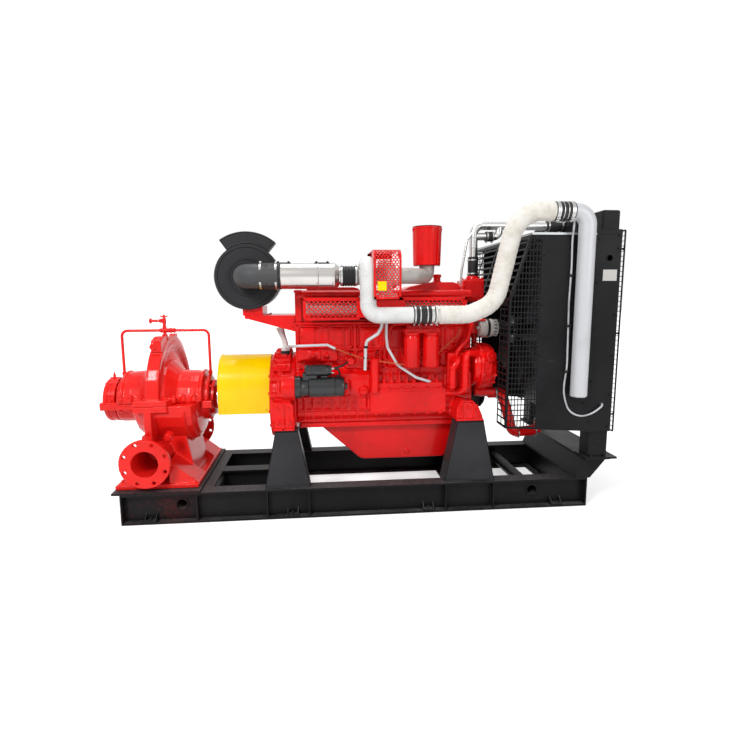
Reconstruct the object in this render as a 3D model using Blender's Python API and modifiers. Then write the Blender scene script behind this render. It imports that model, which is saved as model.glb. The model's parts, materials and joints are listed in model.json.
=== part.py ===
# Diesel driven split case pump set on a steel skid.
# Metres, +Z up. X runs along the skid from the pump to the radiator, and Y from the discharge side to the
# suction side.
# The origin is under the skid's centre line, on the underside of the rear cross member.

import math

import bmesh
import bpy
from mathutils import Matrix, Vector

# Clearances, and how far fused pieces and cutters reach into or past their neighbours
GAP = 0.0003
RUNNING_GAP = 0.0008
SINK = 0.01
PAST = 0.02

# Skid
SKID_LENGTH = 2.77
SKID_WIDTH = 0.80
BEAM_HEIGHT = 0.18
BEAM_FLANGE = 0.094
FLANGE_THICK = 0.011
WEB_THICK = 0.008
STIFFENERS_X = (-1.381, -0.96, -0.56, -0.315, 0.50, 0.795, 1.381)
PUMP_CROSS_X = -0.925
REAR_CROSS_X = -0.44
FRONT_CROSS_X = 0.65
LIFT_X = (-1.053, 1.05)
LIFT_Z = 0.10
LIFT_RADIUS = 0.036
LIFT_WALL = 0.006
LIFT_PROUD = 0.004

# Pedestals
REAR_PEDESTAL_TOP = 0.525
FRONT_PEDESTAL_TOP = 0.555
PEDESTAL_OUTER_Y = 0.375
REAR_PEDESTAL_DEPTH = 0.09
FRONT_PEDESTAL_DEPTH = 0.12
REAR_PEDESTAL_HALVES = (0.132, 0.064)
FRONT_PEDESTAL_HALVES = (0.154, 0.078)
PEDESTAL_WALL = 0.010

# Radiator stand
STAND_FOOT_X = 1.305
STAND_FOOT_WIDTH = 0.095
STAND_LEAN = 0.055
STAND_HEIGHT = 0.134
STAND_PLATE = 0.010
STAND_TOP_LENGTH = 0.205
STAND_OVERHANG = 0.05
STAND_NOSE = 0.03
POST_LEFT = 1.337
POST_WIDTH = 0.114
POST_FACE_Y = 0.47
POST_DEPTH = 0.10
POST_BASE_THICK = 0.014
POST_BASE_MARGIN = 0.018

# Pump casing
PLATE_THICK = 0.012
PLATE_LEFT = -1.43
PLATE_LENGTH = 0.49
SHAFT_Z = 0.66
SHAFT_RADIUS = 0.032
VOLUTE_X = -1.215
VOLUTE_Y = 0.088
VOLUTE_RISE = 0.030
VOLUTE_RADIUS = 0.357
VOLUTE_HALF_WIDTH = 0.038
SCROLL_START = 0.030
SCROLL_END = 0.078
SPLIT_FLANGE = 0.036
SPLIT_FRONT_Y = 0.28
SPLIT_SIDE_Y = 0.190
SPLIT_BLOCK_LEFT = -1.325
SPLIT_BLOCK_RIGHT = -1.135
CASING_LEFT = -1.44
CASING_RIGHT = -0.955
STUFFING_RADIUS = 0.173
GLAND_RADIUS = 0.140
GLAND_LENGTH = 0.028
BOWL_RADIUS = 0.265
FOOT_THICK = 0.025
FOOT_HALF_Y = 0.35
FOOT_LEFT = -1.425
FOOT_RIGHT = -0.957

# Pump ports
DISCHARGE_X = -1.237
DISCHARGE_Z = 0.357
DISCHARGE_FACE = 0.40
DISCHARGE_FLANGE = 0.1425
DISCHARGE_BORE = 0.075
DISCHARGE_PITCH = 0.120
DISCHARGE_BOLTS = 8
SUCTION_X = -1.18
SUCTION_Z = 0.375
SUCTION_FACE = 0.40
SUCTION_FLANGE = 0.170
SUCTION_BORE = 0.100
SUCTION_PITCH = 0.1475
SUCTION_BOLTS = 12
PORT_DEPTH = 0.28
PORT_WALL = 0.022
PORT_FLANGE_THICK = 0.026
FLANGE_HOLE = 0.011

# Pump bearings, flush loop and vent cock
BEARING_LEFT = -1.555
BEARING_RADIUS = 0.136
BEARING_LENGTH = 0.075
BEARING_RIGHT = -0.888
RIGHT_CAP_RADIUS = 0.110
RIGHT_CAP_LENGTH = 0.032
BRACKET_WALL = 0.022
FLUSH_Z = 1.087
FLUSH_RADIUS = 0.0085
FLUSH_BEND = 0.035
VENT_X = -1.20
VENT_TOP = 1.165
VENT_RADIUS = 0.0095
VENT_SEAT = SHAFT_Z + VOLUTE_RISE + VOLUTE_RADIUS - 0.004
VENT_BRANCH = 0.088
HANDLE_SPAN = 0.042

# Coupling and guard
COUPLING_RADIUS = 0.095
COUPLING_LEFT = -0.882
COUPLING_DISC = 0.045
COUPLING_HUB = 0.066
DRIVE_RADIUS = 0.050
GUARD_LEFT = -0.858
GUARD_RADIUS = 0.19
GUARD_CENTRE_Z = 0.74
GUARD_BOTTOM = 0.585
GUARD_SHEET = 0.003

# Engine
HOUSING_LEFT = -0.545
HOUSING_RADIUS = 0.293
HOUSING_BOTTOM = 0.43
BLOCK_LEFT = -0.385
BLOCK_RIGHT = 0.69
BLOCK_BOTTOM = 0.53
BLOCK_HALF = 0.25
BLOCK_UPPER_HALF = 0.20
BLOCK_WAIST = 0.82
BLOCK_TOP = 1.14
BLOCK_RIB = 0.018
CYLINDERS = 6
HEAD_HALF = 0.165
HEAD_HEIGHT = 0.14
HEAD_TOP = BLOCK_TOP + HEAD_HEIGHT
REAR_COVER_RISE = 0.05
ROCKER_COVERS = ((-0.35, 0.02, 0.067), (0.29, 0.645, 0.096))
FILLER_X = 0.508
RAIL_RADIUS = 0.028
PAN_BOTTOM = 0.27
PAN_HALF = 0.17
PAN_RIM = 0.028
SIDE_COVER_LEFT = 0.059
SIDE_COVER_RIGHT = 0.514
SIDE_COVER_LOW = 0.595
SIDE_COVER_HIGH = 0.738
SIDE_COVER_DEPTH = 0.045
FUEL_FILTERS_X = (0.297, 0.411)
FUEL_FILTER_RADIUS = 0.046
FUEL_FILTER_Y = -0.335
FUEL_FILTER_TOP = 1.085
STARTER_Y = -0.34
STARTER_Z = 0.772
STARTER_RADIUS = 0.060
STARTER_END = -0.095
SOLENOID_RISE = 0.096
SOLENOID_RADIUS = 0.036
WATER_PUMP_Y = -0.20
WATER_PUMP_Z = 0.861
WATER_PUMP_RADIUS = 0.142
WATER_PUMP_RIGHT = 0.836
WATER_PIPE_RADIUS = 0.019
PULLEY_RADIUS = 0.105
PULLEY_LEFT = 0.78
ALTERNATOR_Y = -0.215
ALTERNATOR_Z = 1.096
ALTERNATOR_RADIUS = 0.053
THERMOSTAT_X = 0.755
THERMOSTAT_LENGTH = 0.11
THERMOSTAT_HALF = 0.075
THERMOSTAT_TOP = 1.40
THERMOSTAT_NECK = 0.018

# Exhaust side
TURBO_Y = -0.30
TURBO_Z = 1.408
TURBO_LEFT = -0.015
MANIFOLD_Y = -0.235
MANIFOLD_Z = 1.225
MANIFOLD_RADIUS = 0.038
SHIELD_FRONT_Y = -0.305
SHIELD_LOW = 1.155
SHIELD_LEFT = -0.332
SHIELD_RIGHT = 0.63
TURBO_SHIELD_LEFT = 0.058
TURBO_SHIELD_RIGHT = 0.208
TURBO_SHIELD_FRONT = -0.498
TURBO_SHIELD_LOW = 1.275
TURBO_SHIELD_TOP = 1.544
EXHAUST_X = 0.42
EXHAUST_Y = -0.15
EXHAUST_RADIUS = 0.047
EXHAUST_COVER_LOW_RADIUS = 0.081
EXHAUST_COVER_RADIUS = 0.088
EXHAUST_COVER_BOTTOM = 1.472
EXHAUST_COVER_TOP = 1.705
EXHAUST_COVER_WALL = 0.006

# Air side
FILTER_X = -0.656
FILTER_Z = 1.407
FILTER_RADIUS = 0.19
FILTER_FACE = -0.20
FILTER_LENGTH = 0.36
HOOD_RADIUS = 0.262
FILTER_BRACKET_LEFT = -0.68
FILTER_BRACKET_PLATE = 0.015
INTAKE_RADIUS = 0.073
INTAKE_HOSE_RADIUS = 0.055
INTAKE_ELBOW_REACH = 0.19
CHARGE_RADIUS = 0.045
CHARGE_X = 0.031
CHARGE_Y = -0.447
CHARGE_START = -0.389
CHARGE_TOP = 1.465
CHARGE_LOW = 1.187
CHARGE_HOSE_LEFT = 0.28
CHARGE_HOSE_RIGHT = 0.404
CHARGE_HOSE_RADIUS = 0.050
WRAP_RADIUS = 0.052

# Radiator, guard and fan
RADIATOR_HALF = 0.50
HEADER_RADIUS = 0.046
HEADER_X = 1.217
HEADER_LOW = 0.722
HIGH_CHARGE_Y = -RADIATOR_HALF - HEADER_RADIUS - GAP
HIGH_CHARGE_Z = 1.738
HIGH_HOSE_LEFT = 1.02
HIGH_HOSE_LENGTH = 0.11
HIGH_HOSE_RADIUS = 0.052
COLUMN_LEFT = 1.299
COLUMN_RIGHT = 1.448
COLUMN_BOTTOM = 0.50
COLUMN_TOP = 1.648
COLUMN_DEPTH = 0.07
COLUMN_SHEET = 0.006
COLUMN_HOLE_RADIUS = 0.017
COLUMN_HOLE = (1.381, 1.497)
CORE_OVERLAP = 0.02
TANK_LEFT = 1.350
TANK_RIGHT = 1.455
TANK_TOP = 1.765
TANK_HALF = 0.46
SHROUD_LEFT = 0.813
SHROUD_BEND_Z = 1.265
SHROUD_TOP_LEFT = 0.924
SHROUD_BOTTOM = 0.535
SHROUD_DROP = 0.03
SHROUD_TOP = 1.622
SHROUD_SHEET = 0.003
SHROUD_OPEN_NEAR = 0.36
SHROUD_OPEN_FAR = 0.22
GRILLE_WIDTH = 0.15
GRILLE_COLUMNS = 4
GRILLE_ROWS = 7
REAR_GUARD_STANDOFF = 0.014
REAR_GUARD_RAIL = 0.018
REAR_GUARD_WIRES = 6
FAN_X = 1.06
FAN_Z = 1.07
FAN_RADIUS = 0.38
FAN_HUB = 0.09
FAN_STUB = 0.03
FAN_CARRIER = 0.055
FAN_CARRIER_RIGHT = 0.86
FAN_BLADES = 8
FAN_PITCH = 30.0

# Coolant pipes and sensor lead
COOLANT_RADIUS = 0.026
COOLANT_HOSE_RADIUS = 0.033
COOLANT_HIGH_Z = 1.733
COOLANT_BRANCH_DROP = 0.067
HOSE_Y = -0.17
HOSE_Z = 0.68
HOSE_LOW_X = (1.01, 1.20)
HOSE_LOW_Z = 0.402
HOSE_IN_Z = 0.56
LEAD_HOLE = (1.385, 0.665)
LEAD_RADIUS = 0.004


def clear_scene():
    for obj in list(bpy.data.objects):
        bpy.data.objects.remove(obj, do_unlink=True)


def new_collection(name):
    made = bpy.data.collections.new(name)
    bpy.context.scene.collection.children.link(made)
    return made


clear_scene()
PARTS = new_collection("split_case_pump_set")
GUIDES = new_collection("cutters")

# Everything hangs on one datum, so that the origin lies under the rear cross member
DATUM = bpy.data.objects.new("skid_datum", None)
DATUM.location.x = -REAR_CROSS_X
PARTS.objects.link(DATUM)


def paint(name, colour, roughness, metallic=0.0):
    made = bpy.data.materials.new(name)
    made.use_nodes = True
    shader = made.node_tree.nodes["Principled BSDF"]
    shader.inputs["Base Color"].default_value = (*colour, 1.0)
    shader.inputs["Roughness"].default_value = roughness
    shader.inputs["Metallic"].default_value = metallic
    return made


PUMP_RED = paint("pump_red", (0.78, 0.03, 0.02), 0.25)
ENGINE_RED = paint("engine_red", (0.70, 0.015, 0.012), 0.3)
GUARD_YELLOW = paint("guard_yellow", (0.90, 0.60, 0.0), 0.3)
SKID_BLACK = paint("skid_black", (0.02, 0.02, 0.024), 0.45)
SATIN_BLACK = paint("satin_black", (0.015, 0.015, 0.017), 0.4)
FILTER_BLACK = paint("filter_black", (0.03, 0.032, 0.035), 0.55)
RUBBER = paint("black_rubber", (0.012, 0.012, 0.012), 0.6)
BARE_STEEL = paint("bare_steel", (0.55, 0.55, 0.54), 0.3, 1.0)
PIPE_GREY = paint("pipe_grey", (0.65, 0.66, 0.67), 0.35)
WRAP_WHITE = paint("pipe_wrap", (0.78, 0.76, 0.71), 0.8)
CAST_GREY = paint("cast_grey", (0.45, 0.45, 0.44), 0.5, 0.6)
LEAD_GREY = paint("lead_grey", (0.6, 0.6, 0.62), 0.5)
SHEET_GREY = paint("sheet_grey", (0.5, 0.52, 0.54), 0.4, 0.8)


# Helpers: each makes a part when it gets a material, and a hidden guide when it gets none


def add_object(name, mesh, material, matrix=None):
    obj = bpy.data.objects.new(name, mesh)
    if material is None:
        GUIDES.objects.link(obj)
        obj.hide_render = True
        obj.display_type = "WIRE"
    else:
        PARTS.objects.link(obj)
        mesh.materials.clear()
        mesh.materials.append(material)
    obj.parent = DATUM
    if matrix is not None:
        obj.matrix_basis = matrix
    return obj


def box(name, low, high, material=None):
    size = Vector(high) - Vector(low)
    centre = (Vector(high) + Vector(low)) / 2
    form = bmesh.new()
    bmesh.ops.create_cube(form, size=1.0)
    bmesh.ops.scale(form, vec=size, verts=form.verts)
    mesh = bpy.data.meshes.new(name)
    form.to_mesh(mesh)
    form.free()
    return add_object(name, mesh, material, Matrix.Translation(centre))


def rod(name, start, end, radius, material=None, sides=20, end_radius=None):
    start, end = Vector(start), Vector(end)
    run = end - start
    form = bmesh.new()
    bmesh.ops.create_cone(
        form,
        cap_ends=True,
        segments=sides,
        radius1=radius,
        radius2=radius if end_radius is None else end_radius,
        depth=run.length,
    )
    mesh = bpy.data.meshes.new(name)
    form.to_mesh(mesh)
    form.free()
    smooth(mesh)
    turn = run.to_track_quat("Z", "Y").to_matrix().to_4x4()
    return add_object(name, mesh, material, Matrix.Translation((start + end) / 2) @ turn)


def smooth(mesh):
    mesh.shade_smooth()
    mesh.set_sharp_from_angle(angle=math.radians(40))


TURN_AXES = {
    "X": Matrix(((0, 0, 1), (1, 0, 0), (0, 1, 0))).to_4x4(),
    "Y": Matrix(((0, 1, 0), (0, 0, 1), (1, 0, 0))).to_4x4(),
    "Z": Matrix.Identity(4),
}


def turned(name, profile, centre, axis, material=None, steps=24, closed=False):
    # The profile is (radius, distance along the axis); it runs clockwise so that faces point out
    loop = list(profile)
    area = sum(a[0] * b[1] - b[0] * a[1] for a, b in zip(loop, loop[1:] + loop[:1]))
    if area > 0:
        loop.reverse()
    mesh = bpy.data.meshes.new(name)
    points = [(radius, 0.0, along) for radius, along in loop]
    edges = [(n, n + 1) for n in range(len(points) - 1)]
    if closed:
        edges.append((len(points) - 1, 0))
    mesh.from_pydata(points, edges, [])
    obj = add_object(name, mesh, material, Matrix.Translation(centre) @ TURN_AXES[axis])
    screw = obj.modifiers.new("turn", "SCREW")
    screw.axis = "Z"
    screw.steps = steps
    screw.render_steps = steps
    screw.use_merge_vertices = True
    screw.merge_threshold = 0.00001
    return obj


def mesh_from_curve(name, curve):
    holder = bpy.data.objects.new(name, curve)
    GUIDES.objects.link(holder)
    graph = bpy.context.evaluated_depsgraph_get()
    mesh = bpy.data.meshes.new_from_object(holder.evaluated_get(graph))
    bpy.data.objects.remove(holder, do_unlink=True)
    form = bmesh.new()
    form.from_mesh(mesh)
    bmesh.ops.remove_doubles(form, verts=form.verts, dist=0.00001)
    bmesh.ops.recalc_face_normals(form, faces=form.faces)
    form.to_mesh(mesh)
    form.free()
    mesh.name = name
    return mesh


def closed_spline(curve, outline):
    spline = curve.splines.new("POLY")
    spline.points.add(len(outline) - 1)
    for point, (u, v) in zip(spline.points, outline):
        point.co = (u, v, 0.0, 1.0)
    spline.use_cyclic_u = True


def frame_along(axis, at):
    # Local X and Y of an outline become Y and Z, X and Z, or X and Y of the skid
    turns = {
        "X": Matrix(((0, 0, 1), (1, 0, 0), (0, 1, 0))),
        "Y": Matrix(((1, 0, 0), (0, 0, -1), (0, 1, 0))),
        "Z": Matrix.Identity(3),
    }
    shift = {"X": (at, 0, 0), "Y": (0, at, 0), "Z": (0, 0, at)}
    return Matrix.Translation(shift[axis]) @ turns[axis].to_4x4()


def plate(name, outline, low, high, axis, material=None, holes=(), frame=None):
    # A flat outline, thick from low to high along the axis, with any holes cut through it
    curve = bpy.data.curves.new(name, "CURVE")
    curve.dimensions = "2D"
    curve.fill_mode = "BOTH"
    curve.extrude = (high - low) / 2
    closed_spline(curve, outline)
    for hole in holes:
        closed_spline(curve, hole)
    mesh = mesh_from_curve(name, curve)
    bpy.data.curves.remove(curve)
    placed = frame_along(axis, (low + high) / 2) if frame is None else frame
    return add_object(name, mesh, material, placed)


def rounded_path(points, bend, steps=4):
    # A route whose corners are arcs of one bend radius
    route = [Vector(p) for p in points]
    made = [route[0]]
    last_corner = len(route) - 2
    for n, (before, corner, after) in enumerate(zip(route, route[1:], route[2:]), 1):
        back, ahead = (before - corner).normalized(), (after - corner).normalized()
        half = back.angle(ahead) / 2
        room_back = (before - corner).length * (0.98 if n == 1 else 0.49)
        room_ahead = (after - corner).length * (0.98 if n == last_corner else 0.49)
        reach = min(bend / math.tan(half), room_back, room_ahead)
        radius = reach * math.tan(half)
        centre = corner + (back + ahead).normalized() * radius / math.sin(half)
        first = (corner + back * reach - centre).normalized()
        last = (corner + ahead * reach - centre).normalized()
        made += [centre + first.slerp(last, turn / steps) * radius for turn in range(steps + 1)]
    made.append(route[-1])
    return made


def tube(name, points, radius, material=None, sides=10, widths=None):
    # The widths, where given, scale the radius at each point
    curve = bpy.data.curves.new(name, "CURVE")
    curve.dimensions = "3D"
    curve.bevel_depth = radius
    curve.bevel_resolution = (sides - 4) // 2
    curve.use_fill_caps = True
    spline = curve.splines.new("POLY")
    spline.points.add(len(points) - 1)
    for n, (point, place) in enumerate(zip(spline.points, points)):
        point.co = (*place, 1.0)
        if widths:
            point.radius = widths[n]
    mesh = mesh_from_curve(name, curve)
    bpy.data.curves.remove(curve)
    smooth(mesh)
    return add_object(name, mesh, material)


def fuse(obj, *guides):
    for guide in guides:
        step = obj.modifiers.new(f"fuse_{guide.name}", "BOOLEAN")
        step.operation = "UNION"
        step.object = guide
    return obj


def cut(obj, *guides):
    for guide in guides:
        step = obj.modifiers.new(f"cut_{guide.name}", "BOOLEAN")
        step.operation = "DIFFERENCE"
        step.object = guide
    return obj


def soften(obj, width, segments=2):
    edge = obj.modifiers.new("soft_edges", "BEVEL")
    edge.width = width
    edge.segments = segments
    edge.limit_method = "ANGLE"
    edge.angle_limit = math.radians(50)
    return obj


def clear_radius(radius, sides):
    # The radius of a faceted hole whose flats clear a round piece of this radius
    return (radius + GAP) / math.cos(math.pi / sides)


def arc(centre, radius, start, stop, steps):
    turns = (math.radians(start + (stop - start) * n / steps) for n in range(steps + 1))
    return [(centre[0] + radius * math.cos(t), centre[1] + radius * math.sin(t)) for t in turns]


def trapezoid(x, bottom, top, z_low, z_high):
    return [(x - bottom, z_low), (x + bottom, z_low), (x + top, z_high), (x - top, z_high)]


def window(left, right, low, high):
    # A hole's outline runs the other way round from the plate's own
    return [(left, low), (left, high), (right, high), (right, low)]


# Skid

BEAM_Y = (SKID_WIDTH - BEAM_FLANGE) / 2
FLANGE_TIP_Y = SKID_WIDTH / 2 - BEAM_FLANGE
SKID_END = SKID_LENGTH / 2
DECK_Z = BEAM_HEIGHT + GAP


def i_section(height, width, centre=0.0):
    half, web, thick = width / 2, WEB_THICK / 2, FLANGE_THICK
    right = [(half, 0), (half, thick), (web, thick)]
    right += [(web, height - thick), (half, height - thick), (half, height)]
    left = [(-u, v) for u, v in reversed(right)]
    return [(u + centre, v) for u, v in right + left]


def build_beam(name, side):
    # A solid bar, hollowed along its inner side and between the stiffeners on its outer side
    inner, outer = side * FLANGE_TIP_Y, side * SKID_WIDTH / 2
    centre, half = side * BEAM_Y, WEB_THICK / 2
    low_y, high_y = sorted((inner, outer))
    beam = box(name, (-SKID_END, low_y, 0), (SKID_END, high_y, BEAM_HEIGHT), SKID_BLACK)
    low_z, high_z = FLANGE_THICK, BEAM_HEIGHT - FLANGE_THICK
    low_y, high_y = sorted((centre - side * half, inner - side * PAST))
    hollow = (-SKID_END - PAST, low_y, low_z), (SKID_END + PAST, high_y, high_z)
    cut(beam, box(f"{name}_inner_hollow", *hollow))
    low_y, high_y = sorted((centre + side * half, outer + side * PAST))
    for n, (left, right) in enumerate(zip(STIFFENERS_X, STIFFENERS_X[1:])):
        cut(beam, box(f"{name}_pocket_{n}", (left + half, low_y, low_z), (right - half, high_y, high_z)))
    for n, x in enumerate(LIFT_X):
        ends = (x, centre - PAST, LIFT_Z), (x, centre + PAST, LIFT_Z)
        cut(beam, rod(f"{name}_lift_hole_{n}", *ends, LIFT_RADIUS + GAP, sides=24))


def build_cross_member(name, x):
    # The flanges stop short of the beams' flanges, and the web runs on to the beams' webs
    reach = BEAM_Y - WEB_THICK / 2 - GAP
    member = plate(name, i_section(BEAM_HEIGHT, BEAM_FLANGE, x), -reach, reach, "Y", SKID_BLACK)
    tip = FLANGE_TIP_Y - GAP
    cope = FLANGE_THICK + GAP
    levels = ((-PAST, cope, "low"), (BEAM_HEIGHT - cope, BEAM_HEIGHT + PAST, "high"))
    for side, word in ((-1, "near"), (1, "far")):
        low_y, high_y = sorted((side * tip, side * SKID_WIDTH / 2))
        for z_low, z_high, level in levels:
            low = (x - BEAM_FLANGE, low_y, z_low)
            high = (x + BEAM_FLANGE, high_y, z_high)
            cut(member, box(f"{name}_{word}_{level}_cope", low, high))


def build_skid():
    build_beam("near_beam", -1)
    build_beam("far_beam", 1)
    end_x = SKID_END - BEAM_FLANGE / 2
    build_cross_member("left_end_member", -end_x)
    build_cross_member("right_end_member", end_x)
    build_cross_member("pump_cross_member", PUMP_CROSS_X)
    build_cross_member("rear_cross_member", REAR_CROSS_X)
    build_cross_member("front_cross_member", FRONT_CROSS_X)
    inset = BEAM_FLANGE / 2 + GAP
    bay = PUMP_CROSS_X + inset, REAR_CROSS_X - inset
    plate("pump_bay_stringer", i_section(BEAM_HEIGHT, BEAM_FLANGE), *bay, "X", SKID_BLACK)
    reach = BEAM_Y + WEB_THICK / 2 + LIFT_PROUD
    inner = LIFT_RADIUS - LIFT_WALL
    ring = [(LIFT_RADIUS, reach), (LIFT_RADIUS, -reach), (inner, -reach), (inner, reach)]
    for name, x in zip(("left_lifting_tube", "right_lifting_tube"), LIFT_X):
        turned(name, ring, (x, 0, LIFT_Z), "Y", SKID_BLACK, closed=True)
    low = (PLATE_LEFT, -SKID_WIDTH / 2, DECK_Z)
    high = (PLATE_LEFT + PLATE_LENGTH, SKID_WIDTH / 2, BEAM_HEIGHT + PLATE_THICK)
    box("pump_mounting_plate", low, high, SKID_BLACK)


def build_pedestal(name, x, side, halves, top, depth):
    inner = PEDESTAL_OUTER_Y - depth
    low, high = sorted((side * PEDESTAL_OUTER_Y, side * inner))
    pedestal = plate(name, trapezoid(x, *halves, DECK_Z, top), low, high, "Y", SKID_BLACK)
    wall = PEDESTAL_WALL
    slanted = wall * 1.2
    inside = (half - slanted for half in halves)
    hollow = trapezoid(x, *inside, DECK_Z + wall, top - wall)
    low, high = sorted((side * (PEDESTAL_OUTER_Y - wall), side * (inner - PAST)))
    cut(pedestal, plate(f"{name}_hollow", hollow, low, high, "Y"))


def build_stand():
    top = BEAM_HEIGHT + STAND_HEIGHT
    left, right = STAND_FOOT_X, STAND_FOOT_X + STAND_FOOT_WIDTH
    lean, wall, half = STAND_LEAN, STAND_PLATE, SKID_WIDTH / 2
    slope = [(left, DECK_Z), (right, DECK_Z), (right + 2 * lean, top), (left + lean, top)]
    stand = plate("radiator_stand", slope, -half, half, "Y", SKID_BLACK)
    far, low = right + STAND_TOP_LENGTH, DECK_Z - PAST
    hollow = [(left + wall, low), (far, low), (far, top - wall), (left + lean + wall, top - wall)]
    cut(stand, plate("radiator_stand_hollow", hollow, -half + wall, half - wall, "Y"))
    reach = half + STAND_OVERHANG
    nose = left + lean - STAND_NOSE
    corners = (nose, -reach, top - 0.001), (nose + STAND_TOP_LENGTH, reach, top + wall)
    fuse(stand, box("radiator_stand_top", *corners))


def build_stands():
    for side, word in ((-1, "near"), (1, "far")):
        rear = REAR_CROSS_X, side, REAR_PEDESTAL_HALVES, REAR_PEDESTAL_TOP, REAR_PEDESTAL_DEPTH
        front = FRONT_CROSS_X, side, FRONT_PEDESTAL_HALVES, FRONT_PEDESTAL_TOP, FRONT_PEDESTAL_DEPTH
        build_pedestal(f"{word}_rear_pedestal", *rear)
        build_pedestal(f"{word}_front_pedestal", *front)
    build_stand()


# Pump

VOLUTE_Z = SHAFT_Z + VOLUTE_RISE
FOOT_Z = BEAM_HEIGHT + PLATE_THICK + GAP
GLAND_LEFT = CASING_LEFT - GLAND_LENGTH
GLAND_RIGHT = CASING_RIGHT + GLAND_LENGTH
# One box either side of the parting clears everything of the pump
PUMP_LOW = (BEARING_LEFT - 0.1, -0.7, 0.1)
PUMP_HIGH = (BEARING_RIGHT + 0.1, 0.7, 1.3)


def volute(name):
    # A disc with a raised rim band
    rim, wide = VOLUTE_RADIUS, VOLUTE_HALF_WIDTH
    waist = wide - 0.012
    side = [(0, 0.09), (0.14, 0.09), (0.20, 0.052), (0.26, waist + 0.004), (rim - 0.045, waist)]
    side += [(rim - 0.032, wide), (rim - 0.008, wide), (rim, waist)]
    profile = side + [(radius, -along) for radius, along in reversed(side)]
    return turned(name, profile, (VOLUTE_X, VOLUTE_Y, VOLUTE_Z), "X", steps=36)


def scroll(name):
    # The water passage swells along the rim, from over the discharge side round to the suction side
    start, stop, steps = 162.0, -72.0, 18
    points, widths = [], []
    for n in range(steps + 1):
        turn = math.radians(start + (stop - start) * n / steps)
        width = SCROLL_START + (SCROLL_END - SCROLL_START) * n / steps
        reach = VOLUTE_RADIUS - width - 0.004
        points.append((VOLUTE_X, VOLUTE_Y + reach * math.cos(turn), VOLUTE_Z + reach * math.sin(turn)))
        widths.append(width / SCROLL_END)
    return tube(name, points, SCROLL_END, sides=12, widths=widths)


def split_flange(name, z_low, z_high):
    far = VOLUTE_Y + VOLUTE_RADIUS + 0.03
    front, side = SPLIT_FRONT_Y, SPLIT_SIDE_Y
    left, right = CASING_LEFT - 0.006, CASING_RIGHT - 0.02
    slope, inset = 0.04, side - 0.006
    near_line = [(left, -side), (SPLIT_BLOCK_LEFT, -side), (SPLIT_BLOCK_LEFT, -front)]
    near_line += [(SPLIT_BLOCK_RIGHT, -front), (SPLIT_BLOCK_RIGHT + slope, -inset), (right, -inset)]
    far_line = [(right, inset), (SPLIT_BLOCK_RIGHT + slope, inset), (SPLIT_BLOCK_RIGHT + 0.02, far)]
    far_line += [(SPLIT_BLOCK_LEFT + 0.01, far), (SPLIT_BLOCK_LEFT - 0.01, side), (left, side)]
    return plate(name, near_line + far_line, z_low, z_high, "Z")


def ring_of_holes(name, x, z, side, face, pitch, count):
    low = side * (face - PORT_FLANGE_THICK - SINK)
    high = side * (face + PAST)
    holes = []
    for n in range(count):
        turn = 2 * math.pi * (n + 0.5) / count
        u, v = x + pitch * math.cos(turn), z + pitch * math.sin(turn)
        holes.append(rod(f"{name}_{n}", (u, low, v), (u, high, v), FLANGE_HOLE, sides=8))
    return holes


def shaft_bore(name):
    low, high = PUMP_LOW[0], PUMP_HIGH[0]
    return rod(name, (low, 0, SHAFT_Z), (high, 0, SHAFT_Z), SHAFT_RADIUS + RUNNING_GAP, sides=24)


def bearing_bracket(name, radius, low, high):
    inner = radius - BRACKET_WALL
    ring = [(radius, low), (radius, high), (inner, high), (inner, low)]
    return turned(name, ring, (0, 0, SHAFT_Z), "X", closed=True)


def casing_feet():
    # The pedestal under the bowl, its flat foot, and a ramp and a wedge at each long side
    low = FOOT_Z + 0.005
    top = FOOT_Z + FOOT_THICK
    middle = (FOOT_LEFT + FOOT_RIGHT) / 2
    support = trapezoid(middle, 0.18, 0.13, FOOT_Z + SINK, SHAFT_Z - 0.2)
    half = FOOT_HALF_Y
    foot = [(FOOT_LEFT, -half), (FOOT_RIGHT, -half), (FOOT_RIGHT, half), (FOOT_LEFT, half)]
    wedge_low, wedge_high = FOOT_RIGHT - 0.015, FOOT_RIGHT - 0.168
    wedge = [(wedge_high, low), (wedge_low, low), (wedge_low, top + 0.008), (wedge_high, top + 0.133)]
    ramp_low, ramp_high = FOOT_LEFT + 0.025, FOOT_LEFT + 0.175
    ramp = [(ramp_low, low), (ramp_high, low), (ramp_high, top + 0.083), (ramp_low, top + 0.008)]
    made = [
        plate("lower_casing_support", support, -0.17, 0.17, "Y"),
        plate("lower_casing_foot", foot, FOOT_Z, top, "Z"),
    ]
    for side, word in ((-1, "near"), (1, "far")):
        low_y, high_y = sorted((side * 0.15, side * (half - 0.015)))
        made.append(plate(f"lower_casing_{word}_wedge", wedge, low_y, high_y, "Y"))
        made.append(plate(f"lower_casing_{word}_ramp", ramp, low_y, high_y, "Y"))
    return made


PORTS = (
    ("discharge", -1, DISCHARGE_X, DISCHARGE_Z, DISCHARGE_FACE, DISCHARGE_FLANGE, DISCHARGE_BORE),
    ("suction", 1, SUCTION_X, SUCTION_Z, SUCTION_FACE, SUCTION_FLANGE, SUCTION_BORE),
)


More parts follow.
